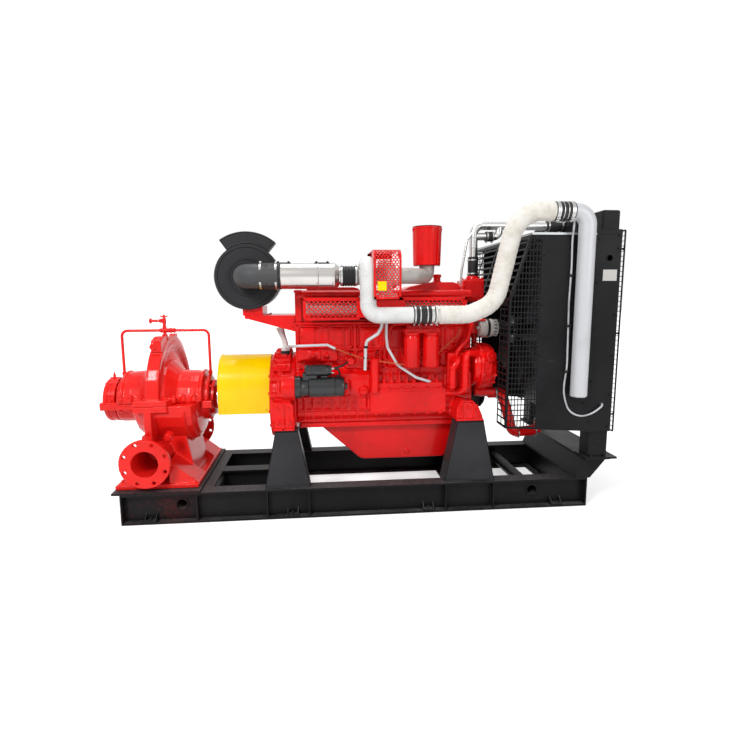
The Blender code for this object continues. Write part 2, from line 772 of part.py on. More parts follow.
def build_lower_casing():
    left, right, gland, bowl = CASING_LEFT, CASING_RIGHT, GLAND_RADIUS, BOWL_RADIUS
    profile = [
        (0, GLAND_LEFT),
        (gland, GLAND_LEFT),
        (gland, left + 0.06),
        (bowl - 0.05, left + 0.10),
        (bowl - 0.015, left + 0.16),
        (bowl, left + 0.22),
        (bowl, right - 0.10),
        (bowl - 0.015, right - 0.05),
        (bowl - 0.05, right - 0.03),
        (gland, right - 0.015),
        (gland, GLAND_RIGHT),
        (0, GLAND_RIGHT),
    ]
    casing = turned("lower_casing", profile, (0, 0, SHAFT_Z), "X", PUMP_RED)
    rib_low = DISCHARGE_Z + DISCHARGE_BORE
    rib = [(-0.262, SHAFT_Z - SINK), (-0.315, rib_low), (-0.1, rib_low), (-0.1, SHAFT_Z - SINK)]
    bearing_low = BEARING_LEFT + BEARING_LENGTH + GAP
    cap_low = BEARING_RIGHT - RIGHT_CAP_LENGTH - GAP
    fuse(
        casing,
        volute("lower_casing_volute"),
        scroll("lower_casing_scroll"),
        split_flange("lower_casing_flange", SHAFT_Z - SPLIT_FLANGE, SHAFT_Z + SINK),
        *casing_feet(),
        plate("lower_casing_rib", rib, -1.256, -1.22, "X"),
        bearing_bracket("left_bracket", BEARING_RADIUS, bearing_low, left + PAST),
        bearing_bracket("right_bracket", BEARING_RADIUS - SINK, right - 0.04, cap_low),
    )
    for word, side, x, z, face, flange, bore in PORTS:
        outer = side * (face - PORT_FLANGE_THICK)
        neck = rod(f"{word}_neck", (x, 0, z), (x, side * (face - SINK), z), bore + PORT_WALL, sides=28)
        disc = rod(f"{word}_disc", (x, outer, z), (x, side * face, z), flange, sides=32)
        fuse(casing, neck, disc)
    parting = (PUMP_LOW[0], PUMP_LOW[1], SHAFT_Z - GAP / 2), PUMP_HIGH
    cut(casing, box("lower_casing_parting", *parting))
    for word, side, x, z, face, flange, bore in PORTS:
        ends = (x, side * (face - PORT_DEPTH), z), (x, side * (face + PAST), z)
        cut(casing, rod(f"{word}_bore", *ends, bore, sides=28))
    holes = ring_of_holes(
        "discharge_hole", DISCHARGE_X, DISCHARGE_Z, -1, DISCHARGE_FACE, DISCHARGE_PITCH, DISCHARGE_BOLTS
    )
    holes += ring_of_holes(
        "suction_hole", SUCTION_X, SUCTION_Z, 1, SUCTION_FACE, SUCTION_PITCH, SUCTION_BOLTS
    )
    cut(casing, *holes, shaft_bore("lower_shaft_bore"))


def build_upper_casing():
    left, right, gland, reach = CASING_LEFT, CASING_RIGHT, GLAND_RADIUS, STUFFING_RADIUS
    profile = [
        (0, GLAND_LEFT),
        (gland, GLAND_LEFT),
        (gland, left),
        (reach - 0.02, left),
        (reach - 0.004, left + 0.014),
        (reach, left + 0.04),
        (reach + 0.006, VOLUTE_X - 0.10),
        (reach + 0.055, VOLUTE_X - 0.055),
        (reach + 0.08, VOLUTE_X),
        (reach + 0.07, VOLUTE_X + 0.055),
        (reach + 0.006, VOLUTE_X + 0.115),
        (reach, right - 0.05),
        (reach - 0.006, right - 0.014),
        (reach - 0.02, right),
        (gland, right),
        (gland, GLAND_RIGHT),
        (0, GLAND_RIGHT),
    ]
    casing = turned("upper_casing", profile, (0, 0, SHAFT_Z), "X", PUMP_RED)
    crown = VOLUTE_Z + VOLUTE_RADIUS
    near = VOLUTE_Y - 0.243
    lug_top = crown + 0.009
    lug = [(near, crown - 0.08), (near + 0.12, crown - 0.08), (near + 0.12, lug_top)]
    lug += [(near + 0.06, lug_top), (near, crown - 0.01)]
    eye_y = VOLUTE_Y + 0.11
    fuse(
        casing,
        volute("upper_casing_volute"),
        scroll("upper_casing_scroll"),
        split_flange("upper_casing_flange", SHAFT_Z - SINK, SHAFT_Z + SPLIT_FLANGE),
        plate("upper_casing_lug", lug, VOLUTE_X - 0.024, VOLUTE_X + 0.034, "X"),
        rod("vent_seat", (VENT_X, 0, VENT_SEAT - 0.03), (VENT_X, 0, VENT_SEAT), 0.021),
        box(
            "upper_casing_eye",
            (VOLUTE_X - 0.02, eye_y, crown - 0.04),
            (VOLUTE_X + 0.02, eye_y + 0.06, crown + 0.004),
        ),
    )
    parting = PUMP_LOW, (PUMP_HIGH[0], PUMP_HIGH[1], SHAFT_Z + GAP / 2)
    cut(casing, box("upper_casing_parting", *parting), shaft_bore("upper_shaft_bore"))


def build_bearings():
    left, far, radius = BEARING_LEFT, BEARING_LEFT + BEARING_LENGTH, BEARING_RADIUS
    bore = SHAFT_RADIUS + RUNNING_GAP
    chamfer = 0.012
    profile = [(0, left - chamfer), (radius - 0.046, left - chamfer), (radius - 0.036, left)]
    profile += [(radius - chamfer, left), (radius, left + chamfer), (radius, far)]
    profile += [(bore, far), (bore, left + PAST), (0, left + PAST)]
    turned("left_bearing_housing", profile, (0, 0, SHAFT_Z), "X", PUMP_RED)
    right, near, radius = BEARING_RIGHT, BEARING_RIGHT - RIGHT_CAP_LENGTH, RIGHT_CAP_RADIUS
    profile = [(radius, near), (radius, right - chamfer), (radius - chamfer, right)]
    profile += [(bore, right), (bore, near)]
    turned("right_bearing_housing", profile, (0, 0, SHAFT_Z), "X", PUMP_RED, closed=True)


def build_shaft():
    left, disc = COUPLING_LEFT, COUPLING_DISC
    spacer = left + disc + 0.05
    end = HOUSING_LEFT + 0.03
    profile = [
        (0, BEARING_LEFT + 0.03),
        (SHAFT_RADIUS, BEARING_LEFT + 0.03),
        (SHAFT_RADIUS, left),
        (COUPLING_RADIUS, left),
        (COUPLING_RADIUS, left + disc),
        (COUPLING_HUB, left + disc),
        (COUPLING_HUB, spacer),
        (COUPLING_RADIUS - SINK, spacer),
        (COUPLING_RADIUS - SINK, spacer + disc),
        (DRIVE_RADIUS, spacer + disc),
        (DRIVE_RADIUS, end),
        (0, end),
    ]
    turned("pump_shaft", profile, (0, 0, SHAFT_Z), "X", BARE_STEEL)


def build_coupling_guard():
    centre, radius, sheet = (0, GUARD_CENTRE_Z), GUARD_RADIUS, GUARD_SHEET
    outer = arc(centre, radius, 0, 180, 24)
    inner = arc(centre, radius - sheet, 180, 0, 24)
    left_foot = [(-radius, GUARD_BOTTOM), (-radius + sheet, GUARD_BOTTOM)]
    right_foot = [(radius - sheet, GUARD_BOTTOM), (radius, GUARD_BOTTOM)]
    outline = outer + left_foot + inner + right_foot
    plate("coupling_guard", outline, GUARD_LEFT, HOUSING_LEFT - GAP, "X", GUARD_YELLOW)


def build_vent():
    x, seat = VENT_X, VENT_SEAT + GAP
    gland_top = SHAFT_Z + GLAND_RADIUS + GAP
    left, right = GLAND_LEFT + 0.009, GLAND_RIGHT - 0.006
    stem = rod("flush_pipe", (x, 0, seat), (x, 0, VENT_TOP), VENT_RADIUS, PUMP_RED, 16)
    left_route = [(x, 0, FLUSH_Z), (left, 0, FLUSH_Z), (left, 0, gland_top)]
    right_route = [(x, 0, FLUSH_Z), (right, 0, FLUSH_Z), (right, 0, gland_top)]
    branch_z = VENT_TOP - 0.018
    tip = x - VENT_BRANCH
    fuse(
        stem,
        rod("vent_boss", (x, 0, seat), (x, 0, seat + 0.03), 0.016, sides=6),
        tube("flush_left", rounded_path(left_route, FLUSH_BEND), FLUSH_RADIUS, sides=8),
        tube("flush_right", rounded_path(right_route, FLUSH_BEND), FLUSH_RADIUS, sides=8),
        rod("vent_union", (x + 0.03, 0, FLUSH_Z), (x + 0.065, 0, FLUSH_Z), 0.014, sides=6),
        rod("vent_branch", (x, 0, branch_z), (tip + 0.003, 0, branch_z), 0.008, sides=12),
        rod("vent_outlet", (tip + 0.013, 0, branch_z), (tip, 0, branch_z), 0.017, sides=12),
    )
    spindle, bar_z, half = 0.0042, VENT_TOP + 0.006, HANDLE_SPAN / 2
    pit = (x, 0, VENT_TOP - SINK), (x, 0, VENT_TOP + SINK)
    cut(stem, rod("vent_spindle_hole", *pit, spindle + RUNNING_GAP, sides=12))
    ends = (x, 0, VENT_TOP - SINK + 0.001), (x, 0, VENT_TOP + 0.02)
    handle = rod("vent_cock_handle", *ends, spindle, PUMP_RED, 12)
    fuse(
        handle,
        rod("vent_bar", (x - half, 0, bar_z), (x + half, 0, bar_z), 0.0045, sides=10),
        rod("vent_knob", (x, 0, VENT_TOP + RUNNING_GAP), (x, 0, VENT_TOP + 0.018), 0.0075, sides=12),
    )


def build_pump():
    build_lower_casing()
    build_upper_casing()
    build_bearings()
    build_shaft()
    build_coupling_guard()
    build_vent()


# Engine


def build_flywheel_housing():
    left, right, big = HOUSING_LEFT, BLOCK_LEFT - GAP, HOUSING_RADIUS
    profile = [
        (0, left),
        (big - 0.03, left),
        (big - 0.02, left + 0.03),
        (big - 0.02, left + 0.05),
        (big, left + 0.055),
        (big, left + 0.085),
        (big - 0.012, left + 0.09),
        (big - 0.012, right),
        (0, right),
    ]
    housing = turned("flywheel_housing", profile, (0, 0, SHAFT_Z), "X", ENGINE_RED, 32)
    corners = (left - PAST, -big - PAST, SHAFT_Z - big - PAST), (right + PAST, big + PAST, HOUSING_BOTTOM)
    cut(housing, box("housing_bottom", *corners))
    foot, shoulder, top = REAR_PEDESTAL_TOP + GAP, 0.143, 0.165
    low_x, high_x = left + 0.022, right - 0.012
    bracket = [(low_x, foot), (high_x, foot), (high_x, foot + shoulder), (high_x - 0.017, foot + top)]
    bracket += [(low_x + 0.013, foot + top), (low_x, foot + shoulder)]
    for side, word in ((-1, "near"), (1, "far")):
        low, high = sorted((side * 0.2, side * PEDESTAL_OUTER_Y))
        fuse(housing, plate(f"{word}_rear_mount", bracket, low, high, "Y"))
    boss = (right - 0.075, STARTER_Y, STARTER_Z), (right, STARTER_Y, STARTER_Z)
    fuse(housing, rod("starter_boss", *boss, STARTER_RADIUS + 0.015))
    recess = (left - PAST, 0, SHAFT_Z), (left + 0.035, 0, SHAFT_Z)
    cut(housing, rod("flywheel_recess", *recess, DRIVE_RADIUS + RUNNING_GAP, sides=24))


def build_block():
    low, waist, top = BLOCK_BOTTOM, BLOCK_WAIST, BLOCK_TOP
    wide, narrow = BLOCK_HALF, BLOCK_UPPER_HALF
    right = [(wide - 0.03, low), (wide, low + 0.05), (wide, waist), (narrow, waist + 0.04), (narrow, top)]
    section = right + [(-y, z) for y, z in reversed(right)]
    block = plate("engine_block", section, BLOCK_LEFT, BLOCK_RIGHT, "X", ENGINE_RED)
    pitch = (BLOCK_RIGHT - BLOCK_LEFT) / CYLINDERS
    half = 0.012
    for n in range(1, CYLINDERS):
        x = BLOCK_LEFT + n * pitch
        rib = trapezoid(x, half, half, waist - 0.02, top - 0.03)
        for side, word in ((-1, "near"), (1, "far")):
            y_low, y_high = sorted((side * (narrow - SINK), side * (narrow + BLOCK_RIB)))
            fuse(block, plate(f"block_{word}_rib_{n}", rib, y_low, y_high, "Y"))
    face = wide - SINK
    low = (SIDE_COVER_LEFT, -wide - SIDE_COVER_DEPTH, SIDE_COVER_LOW)
    fuse(block, box("side_cover", low, (SIDE_COVER_RIGHT, -face, SIDE_COVER_HIGH)))
    foot = FRONT_PEDESTAL_TOP + GAP
    mount = [(0.562, foot), (0.722, foot), (0.722, foot + 0.025), (0.69, foot + 0.095)]
    mount += [(0.59, foot + 0.125), (0.562, foot + 0.065)]
    for side, word in ((-1, "near"), (1, "far")):
        low, high = sorted((side * (wide - 0.03), side * PEDESTAL_OUTER_Y))
        fuse(block, plate(f"{word}_front_mount", mount, low, high, "Y"))
    carrier = (BLOCK_RIGHT - 0.05, 0, FAN_Z), (FAN_CARRIER_RIGHT, 0, FAN_Z)
    fuse(block, rod("fan_carrier", *carrier, FAN_CARRIER))
    bore = (FAN_CARRIER_RIGHT - 0.04, 0, FAN_Z), (FAN_CARRIER_RIGHT + PAST, 0, FAN_Z)
    cut(block, rod("fan_carrier_bore", *bore, FAN_STUB + RUNNING_GAP))


def build_head():
    bottom, half, top = BLOCK_TOP + GAP, HEAD_HALF, HEAD_TOP
    left, right = BLOCK_LEFT + 0.03, BLOCK_RIGHT - 0.02
    head = box("cylinder_head", (left, -half, bottom), (right, half, top), ENGINE_RED)
    rear = (BLOCK_LEFT + 0.002, -half - 0.02, bottom), (left + SINK, half + 0.02, top + REAR_COVER_RISE)
    fuse(head, box("rear_cover", *rear))
    for n, (x_low, x_high, rise) in enumerate(ROCKER_COVERS):
        cover = box(f"rocker_cover_{n}", (x_low, -0.125, top - SINK), (x_high, 0.125, top + rise))
        soften(cover, 0.02)
        fuse(head, cover)
    crown = top + ROCKER_COVERS[1][2]
    filler = (FILLER_X, -0.05, crown - SINK), (FILLER_X, -0.05, crown + 0.05)
    fuse(head, rod("oil_filler", *filler, 0.024, sides=16))
    rail_y, rail_z = -half + 0.005, top + 0.02
    ends = (BLOCK_LEFT + 0.015, rail_y, rail_z), (BLOCK_RIGHT + 0.005, rail_y, rail_z)
    fuse(head, rod("coolant_rail", *ends, RAIL_RADIUS, sides=16))


def build_oil_pan():
    top, rim_low = BLOCK_BOTTOM - GAP, BLOCK_BOTTOM - PAN_RIM - 0.002
    sump = [(-0.25, rim_low), (0.0, PAN_BOTTOM + 0.008), (0.03, PAN_BOTTOM), (0.53, PAN_BOTTOM)]
    sump += [(0.548, PAN_BOTTOM + 0.012), (0.606, rim_low), (0.606, top - SINK), (-0.25, top - SINK)]
    pan = plate("oil_pan", sump, -PAN_HALF, PAN_HALF, "Y", ENGINE_RED)
    half = BLOCK_HALF - 0.03
    rim = (BLOCK_LEFT + 0.02, -half, top - PAN_RIM), (BLOCK_RIGHT - 0.05, half, top)
    plug = (0.04, 0, PAN_BOTTOM - 0.012), (0.04, 0, PAN_BOTTOM + SINK)
    fuse(pan, box("oil_pan_rim", *rim), rod("drain_plug", *plug, 0.016, sides=6))


def build_fuel_filters():
    y, top, radius = FUEL_FILTER_Y, FUEL_FILTER_TOP, FUEL_FILTER_RADIUS
    back = -BLOCK_UPPER_HALF - BLOCK_RIB - GAP
    first, last = FUEL_FILTERS_X
    low, high = (first - radius, y - 0.03, top - 0.008), (last + radius, back, top + 0.022)
    head = box("fuel_filters", low, high, ENGINE_RED)
    for n, x in enumerate(FUEL_FILTERS_X):
        cup = (x, y, top - 0.215), (x, y, top - 0.195)
        fuse(
            head,
            rod(f"filter_can_{n}", (x, y, top - 0.2), (x, y, top), radius),
            rod(f"filter_cup_{n}", *cup, radius - 0.014, end_radius=radius - 0.004),
        )


def build_starter():
    y, z, radius, start = STARTER_Y, STARTER_Z, STARTER_RADIUS, BLOCK_LEFT
    upper = z + SOLENOID_RISE
    starter = rod("starter_motor", (start, y, z), (STARTER_END, y, z), radius, SATIN_BLACK, 24)
    fuse(
        starter,
        rod("starter_nose", (start + 0.001, y, z), (start + 0.055, y, z), radius + 0.006, sides=24),
        rod("starter_cap", (STARTER_END - SINK, y, z), (STARTER_END + 0.015, y, z), 0.02, sides=12),
        rod("solenoid", (start + 0.03, y, upper), (start + 0.225, y, upper), SOLENOID_RADIUS),
        box("solenoid_bracket", (start + 0.045, y - 0.015, z + 0.03), (start + 0.185, y + 0.015, upper)),
    )


def build_water_pump():
    face, y, z, big = BLOCK_RIGHT + GAP, WATER_PUMP_Y, WATER_PUMP_Z, WATER_PUMP_RADIUS
    right = WATER_PUMP_RIGHT
    profile = [
        (0, face),
        (big - 0.03, face),
        (big - 0.02, face + 0.03),
        (big, face + 0.045),
        (big, right - 0.055),
        (big - 0.014, right - 0.022),
        (big - 0.05, right - 0.004),
        (0, right),
    ]
    water = turned("water_pump", profile, (0, y, z), "X", ENGINE_RED)
    x = THERMOSTAT_X - 0.02
    under = THERMOSTAT_TOP - 0.15 - GAP
    outlet = [(x, y + 0.075, z + 0.08), (x, y + 0.075, under - 0.06)]
    outlet += [(x, -0.05, under - 0.03), (x, -0.05, under)]
    low = HOSE_Z
    inlet = [(face + 0.05, y, z - 0.08), (face + 0.05, HOSE_Y, low), (right + 0.015, HOSE_Y, low)]
    side_y, side_x = -0.335, SIDE_COVER_RIGHT
    near_pipe = [(face + 0.06, side_y + 0.06, 0.95), (0.622, side_y, 0.95), (0.622, side_y, 0.724)]
    near_pipe += [(side_x + 0.06, -0.28, 0.71), (side_x + GAP, -0.28, 0.71)]
    fuse(
        water,
        tube("water_outlet", rounded_path(outlet, 0.03), WATER_PIPE_RADIUS),
        tube("water_inlet", rounded_path(inlet, 0.03), 0.024),
        tube("side_water_pipe", rounded_path(near_pipe, 0.03), WATER_PIPE_RADIUS),
    )


def build_engine_front():
    face, left = BLOCK_RIGHT + GAP, PULLEY_LEFT
    rim = (left, 0, SHAFT_Z), (left + 0.055, 0, SHAFT_Z)
    pulley = rod("crank_pulley", *rim, PULLEY_RADIUS, SATIN_BLACK, 28)
    fuse(pulley, rod("crank_nose", (face, 0, SHAFT_Z), (left + SINK, 0, SHAFT_Z), 0.035))
    y, z, radius = ALTERNATOR_Y, ALTERNATOR_Z, ALTERNATOR_RADIUS
    ends = (face + 0.042, y, z), (face + 0.15, y, z)
    alternator = rod("alternator", *ends, radius, CAST_GREY)
    arm = (face, -BLOCK_UPPER_HALF + 0.002, z - 0.03), (face + 0.06, -BLOCK_UPPER_HALF + 0.03, z + 0.02)
    shaft = (face + 0.14, y, z), (face + 0.165, y, z)
    fuse(alternator, box("alternator_arm", *arm), rod("alternator_pulley", *shaft, 0.032))
    head_end = BLOCK_RIGHT - 0.02 + GAP
    x, half, top = THERMOSTAT_X, THERMOSTAT_HALF, THERMOSTAT_TOP
    low, high = (head_end, -half, top - 0.15), (x + THERMOSTAT_LENGTH / 2, half, top)
    thermostat = box("thermostat_housing", low, high, ENGINE_RED)
    soften(thermostat, 0.015)
    fuse(thermostat, rod("thermostat_neck", (x, 0, top - SINK), (x, 0, top + THERMOSTAT_NECK), 0.045))


def build_turbocharger():
    y, z, left = TURBO_Y, TURBO_Z, TURBO_LEFT
    profile = [
        (0, left),
        (0.056, left),
        (0.056, left + 0.015),
        (0.075, left + 0.02),
        (0.086, left + 0.041),
        (0.075, left + 0.065),
        (0.05, left + 0.075),
        (0.05, left + 0.115),
        (0.085, left + 0.125),
        (0.09, left + 0.165),
        (0.06, left + 0.215),
        (0.055, left + 0.25),
        (0, left + 0.25),
    ]
    turbo = turned("turbocharger", profile, (0, y, z), "X", CAST_GREY)
    end = EXHAUST_COVER_BOTTOM + 0.03
    elbow = [(left + 0.215, y, z), (0.30, y, z), (EXHAUST_X, EXHAUST_Y, z), (EXHAUST_X, EXHAUST_Y, end)]
    outlet = (CHARGE_X, y, CHARGE_TOP), (CHARGE_X, CHARGE_START, CHARGE_TOP)
    foot_z = HEAD_TOP + 0.005 + GAP
    fuse(
        turbo,
        tube("exhaust_elbow", rounded_path(elbow, 0.055), EXHAUST_RADIUS, sides=12),
        rod("compressor_outlet", *outlet, CHARGE_RADIUS - 0.003, sides=12),
        box("turbo_foot", (0.105, y - 0.01, foot_z + 0.001), (0.195, y + 0.07, z)),
        box("turbo_foot_flange", (0.085, y - 0.02, foot_z), (0.215, y + 0.085, foot_z + 0.016)),
    )


def build_exhaust_cover():
    low_radius, radius = EXHAUST_COVER_LOW_RADIUS, EXHAUST_COVER_RADIUS
    bottom, top, wall = EXHAUST_COVER_BOTTOM, EXHAUST_COVER_TOP, EXHAUST_COVER_WALL
    inner = EXHAUST_RADIUS + 0.0005 + GAP
    cover = [(inner, bottom), (low_radius, bottom), (radius, top), (radius - wall, top)]
    cover += [(low_radius - wall, bottom + 0.05), (inner, bottom + 0.045)]
    turned("exhaust_cover", cover, (EXHAUST_X, EXHAUST_Y, 0), "Z", ENGINE_RED, 28, closed=True)


def build_manifold():
    sheet, top = 0.004, HEAD_TOP + 0.005
    front, back = SHIELD_FRONT_Y, -HEAD_HALF - GAP - 0.04
    shield = [(front, SHIELD_LOW), (front + sheet, SHIELD_LOW), (front + sheet, top - sheet)]
    shield += [(back, top - sheet), (back, top), (front, top)]
    plate("manifold_shield", shield, SHIELD_LEFT, SHIELD_RIGHT, "X", ENGINE_RED)
    y, z, radius = MANIFOLD_Y, MANIFOLD_Z, MANIFOLD_RADIUS
    left, right = SHIELD_LEFT + 0.012, SHIELD_RIGHT - 0.015
    manifold = rod("exhaust_manifold", (left, y, z), (right, y, z), radius, CAST_GREY, 16)
    pitch = (right - left - 0.12) / (CYLINDERS - 1)
    half = 0.022
    for n in range(CYLINDERS):
        x = left + 0.06 + n * pitch
        low, high = (x - half, y, z - 0.025), (x + half, -HEAD_HALF - GAP, z + 0.025)
        fuse(manifold, box(f"manifold_port_{n}", low, high))


def build_turbo_shield():
    near, far, base, crown = TURBO_SHIELD_FRONT, -0.125, TURBO_SHIELD_LOW, TURBO_SHIELD_TOP
    seat, bend, sheet = HEAD_TOP + GAP, 0.06, 0.003
    centre = (near + bend, crown - bend)
    outer = [(near, base), *arc(centre, bend, 180, 90, 5), (far, crown), (far, seat)]
    inner = [(far - sheet, seat), (far - sheet, crown - sheet)]
    inner += [*arc(centre, bend - sheet, 90, 180, 5), (near + sheet, base)]
    plate("turbo_shield", outer + inner, TURBO_SHIELD_LEFT, TURBO_SHIELD_RIGHT, "X", ENGINE_RED)


def build_engine():
    build_flywheel_housing()
    build_block()
    build_head()
    build_oil_pan()
    build_fuel_filters()
    build_starter()
    build_water_pump()
    build_engine_front()
    build_turbocharger()
    build_exhaust_cover()
    build_manifold()
    build_turbo_shield()


# Air side


def build_air_filter():
    radius, face = FILTER_RADIUS, FILTER_FACE
    back, lip = FILTER_FACE + FILTER_LENGTH, 0.10
    profile = [
        (0, face),
        (radius - 0.01, face),
        (radius, face + 0.01),
        (radius, face + lip),
        (radius - 0.008, face + lip + 0.005),
        (radius - 0.008, back - 0.02),
        (radius - 0.03, back),
        (0, back),
    ]
    can = turned("air_filter", profile, (FILTER_X, 0, FILTER_Z), "Y", FILTER_BLACK, 36)
    centre = (FILTER_X, FILTER_Z)
    hood = arc(centre, HOOD_RADIUS, 50, 126, 10) + arc(centre, radius - SINK, 126, 50, 10)
    fuse(can, plate("filter_hood", hood, face + 0.005, face + lip, "Y"))
    left, right = FILTER_BRACKET_LEFT, BLOCK_LEFT - GAP
    shelf = FILTER_Z - radius - GAP - 0.035
    low_tip = shelf - FILTER_BRACKET_PLATE
    outline = [(left, shelf), (left, low_tip), (right, low_tip - 0.083), (right, shelf)]
    bracket = plate("filter_bracket", outline, -0.19, 0.10, "Y", ENGINE_RED)
    saddle = [(left - 0.012, shelf - 0.001), (left + 0.105, shelf - 0.001)]
    saddle += [(left + 0.105, shelf + 0.055), (left - 0.012, shelf + 0.055)]
    fuse(bracket, plate("filter_saddle", saddle, -0.17, 0.09, "Y"))
    ends = (FILTER_X, -0.3, FILTER_Z), (FILTER_X, 0.3, FILTER_Z)
    cut(bracket, rod("filter_saddle_cut", *ends, clear_radius(radius, 36), sides=36))


def build_intake():
    y, z, radius = TURBO_Y, TURBO_Z, INTAKE_RADIUS
    join = FILTER_X + INTAKE_ELBOW_REACH
    elbow_y = y - 0.02
    elbow = [(FILTER_X, FILTER_FACE - GAP, z), (FILTER_X, elbow_y, z), (join, elbow_y, z)]
    tube("intake_elbow", rounded_path(elbow, 0.085, 6), radius - 0.005, RUBBER, 16)
    start, end, hose = join + GAP, TURBO_LEFT - GAP, INTAKE_HOSE_RADIUS
    pipe = [(0, start), (radius, start), (radius, end - 0.125), (hose, end - 0.10), (hose, end), (0, end)]
    turned("intake_pipe", pipe, (0, y, z), "X", BARE_STEEL)


def build_charge_pipes():
    x, y, low = CHARGE_X, CHARGE_Y, CHARGE_LOW
    left, right = CHARGE_HOSE_LEFT, CHARGE_HOSE_RIGHT
    riser = [(x, CHARGE_START - GAP, CHARGE_TOP), (x, y, CHARGE_TOP), (x, y, low), (left + 0.012, y, low)]
    pipe = tube("charge_pipe", rounded_path(riser, 0.05), CHARGE_RADIUS, PIPE_GREY, 12)
    fuse(pipe, rod("charge_hose", (left, y, low), (right, y, low), CHARGE_HOSE_RADIUS))
    high_y, high_z = HIGH_CHARGE_Y, HIGH_CHARGE_Z
    wrapped = [
        (right + GAP, y, low),
        (0.60, y, low),
        (0.745, y - 0.013, low + 0.063),
        (0.815, high_y + 0.026, high_z - 0.078),
        (0.90, high_y, high_z),
        (HIGH_HOSE_LEFT, high_y, high_z),
    ]
    tube("wrapped_charge_pipe", rounded_path(wrapped, 0.16, 5), WRAP_RADIUS, WRAP_WHITE, 12)
    hose_end = HIGH_HOSE_LEFT + HIGH_HOSE_LENGTH
    down = [(hose_end - 0.08, high_y, high_z), (HEADER_X, high_y, high_z), (HEADER_X, high_y, HEADER_LOW)]
    header = tube("radiator_charge_pipe", rounded_path(down, 0.07), HEADER_RADIUS, PIPE_GREY, 12)
    hose = (HIGH_HOSE_LEFT + GAP, high_y, high_z), (hose_end, high_y, high_z)
    fuse(header, rod("radiator_hose", *hose, HIGH_HOSE_RADIUS))


# Cooling side


def grille(left, right, low, high, columns, rows, bar):
    # Windows in even columns and rows, with bars of one width between them
    step_u, step_v = (right - left + bar) / columns, (high - low + bar) / rows
    made = []
    for column in range(columns):
        for row in range(rows):
            u, v = left + column * step_u, low + row * step_v
            made.append(window(u, u + step_u - bar, v, v + step_v - bar))
    return made


def build_shroud():
    left, top_left, right = SHROUD_LEFT, SHROUD_TOP_LEFT, COLUMN_LEFT - GAP
    bottom, bend, top = SHROUD_BOTTOM, SHROUD_BEND_Z, SHROUD_TOP
    half, sheet = RADIATOR_HALF, SHROUD_SHEET
    outline = [(left, bottom), (right, bottom - SHROUD_DROP), (right, top), (top_left, top), (left, bend)]
    mesh_right = left + GRILLE_WIDTH + 0.015
    slots = grille(left + 0.015, mesh_right, bottom + 0.02, bend - 0.02, GRILLE_COLUMNS, GRILLE_ROWS, 0.009)
    slots += grille(top_left + 0.012, mesh_right, bend - 0.011, top - 0.02, 1, 4, 0.009)
    plate("near_shroud_panel", outline, -half, -half + sheet, "Y", SATIN_BLACK, slots)
    plate("far_shroud_panel", outline, half - sheet, half, "Y", SATIN_BLACK, slots)
    inner = half - sheet - GAP
    near, far, lintel = -SHROUD_OPEN_NEAR, SHROUD_OPEN_FAR, bend - 0.02
    outline = [(-inner, bottom), (near, bottom), (near, lintel), (far, lintel)]
    outline += [(far, bottom), (inner, bottom), (inner, bend), (-inner, bend)]
    bars = []
    for low, high in ((-inner + 0.02, near - 0.016), (far + 0.02, inner - 0.025)):
        bars += grille(low, high, bottom + 0.02, bend - 0.04, 1, 8, 0.014)
    front = plate("shroud_front", outline, left, left + sheet, "X", SATIN_BLACK, bars)
    rise = Vector((top_left - left, 0, top - bend))
    length, up = rise.length - 0.004, rise.normalized()
    turn = Matrix((Vector((0, 1, 0)), up, Vector((0, 1, 0)).cross(up))).transposed().to_4x4()
    place = Matrix.Translation((left + sheet / 2, 0, bend)) @ turn
    slope = [(-inner, -0.002), (inner, -0.002), (inner, length), (-inner, length)]
    ladder = []
    for low, high in ((-inner + 0.025, -0.02), (0.02, inner - 0.025)):
        ladder += grille(low, high, 0.015, length - 0.025, 1, 8, 0.010)
    fuse(front, plate("shroud_slope", slope, -sheet / 2, sheet / 2, "Z", None, ladder, place))
    box("shroud_top", (top_left + 0.006, -half, top + GAP), (right, half, top + 0.012), SHEET_GREY)


def build_fan():
    x, z = FAN_X, FAN_Z
    hub = rod("fan", (x - 0.035, 0, z), (x + 0.035, 0, z), FAN_HUB, SATIN_BLACK, 24)
    fuse(hub, rod("fan_stub", (FAN_CARRIER_RIGHT - 0.03, 0, z), (x, 0, z), FAN_STUB))
    for n in range(FAN_BLADES):
        turn = Matrix.Rotation(2 * math.pi * n / FAN_BLADES, 4, "X")
        blade = box(f"fan_blade_{n}", (-0.002, -0.055, FAN_HUB - 0.04), (0.002, 0.055, FAN_RADIUS))
        lift = Matrix.Translation(blade.matrix_basis.translation)
        pitch = Matrix.Rotation(math.radians(FAN_PITCH), 4, "Z")
        blade.matrix_basis = Matrix.Translation((x, 0, z)) @ turn @ lift @ pitch
        fuse(hub, blade)


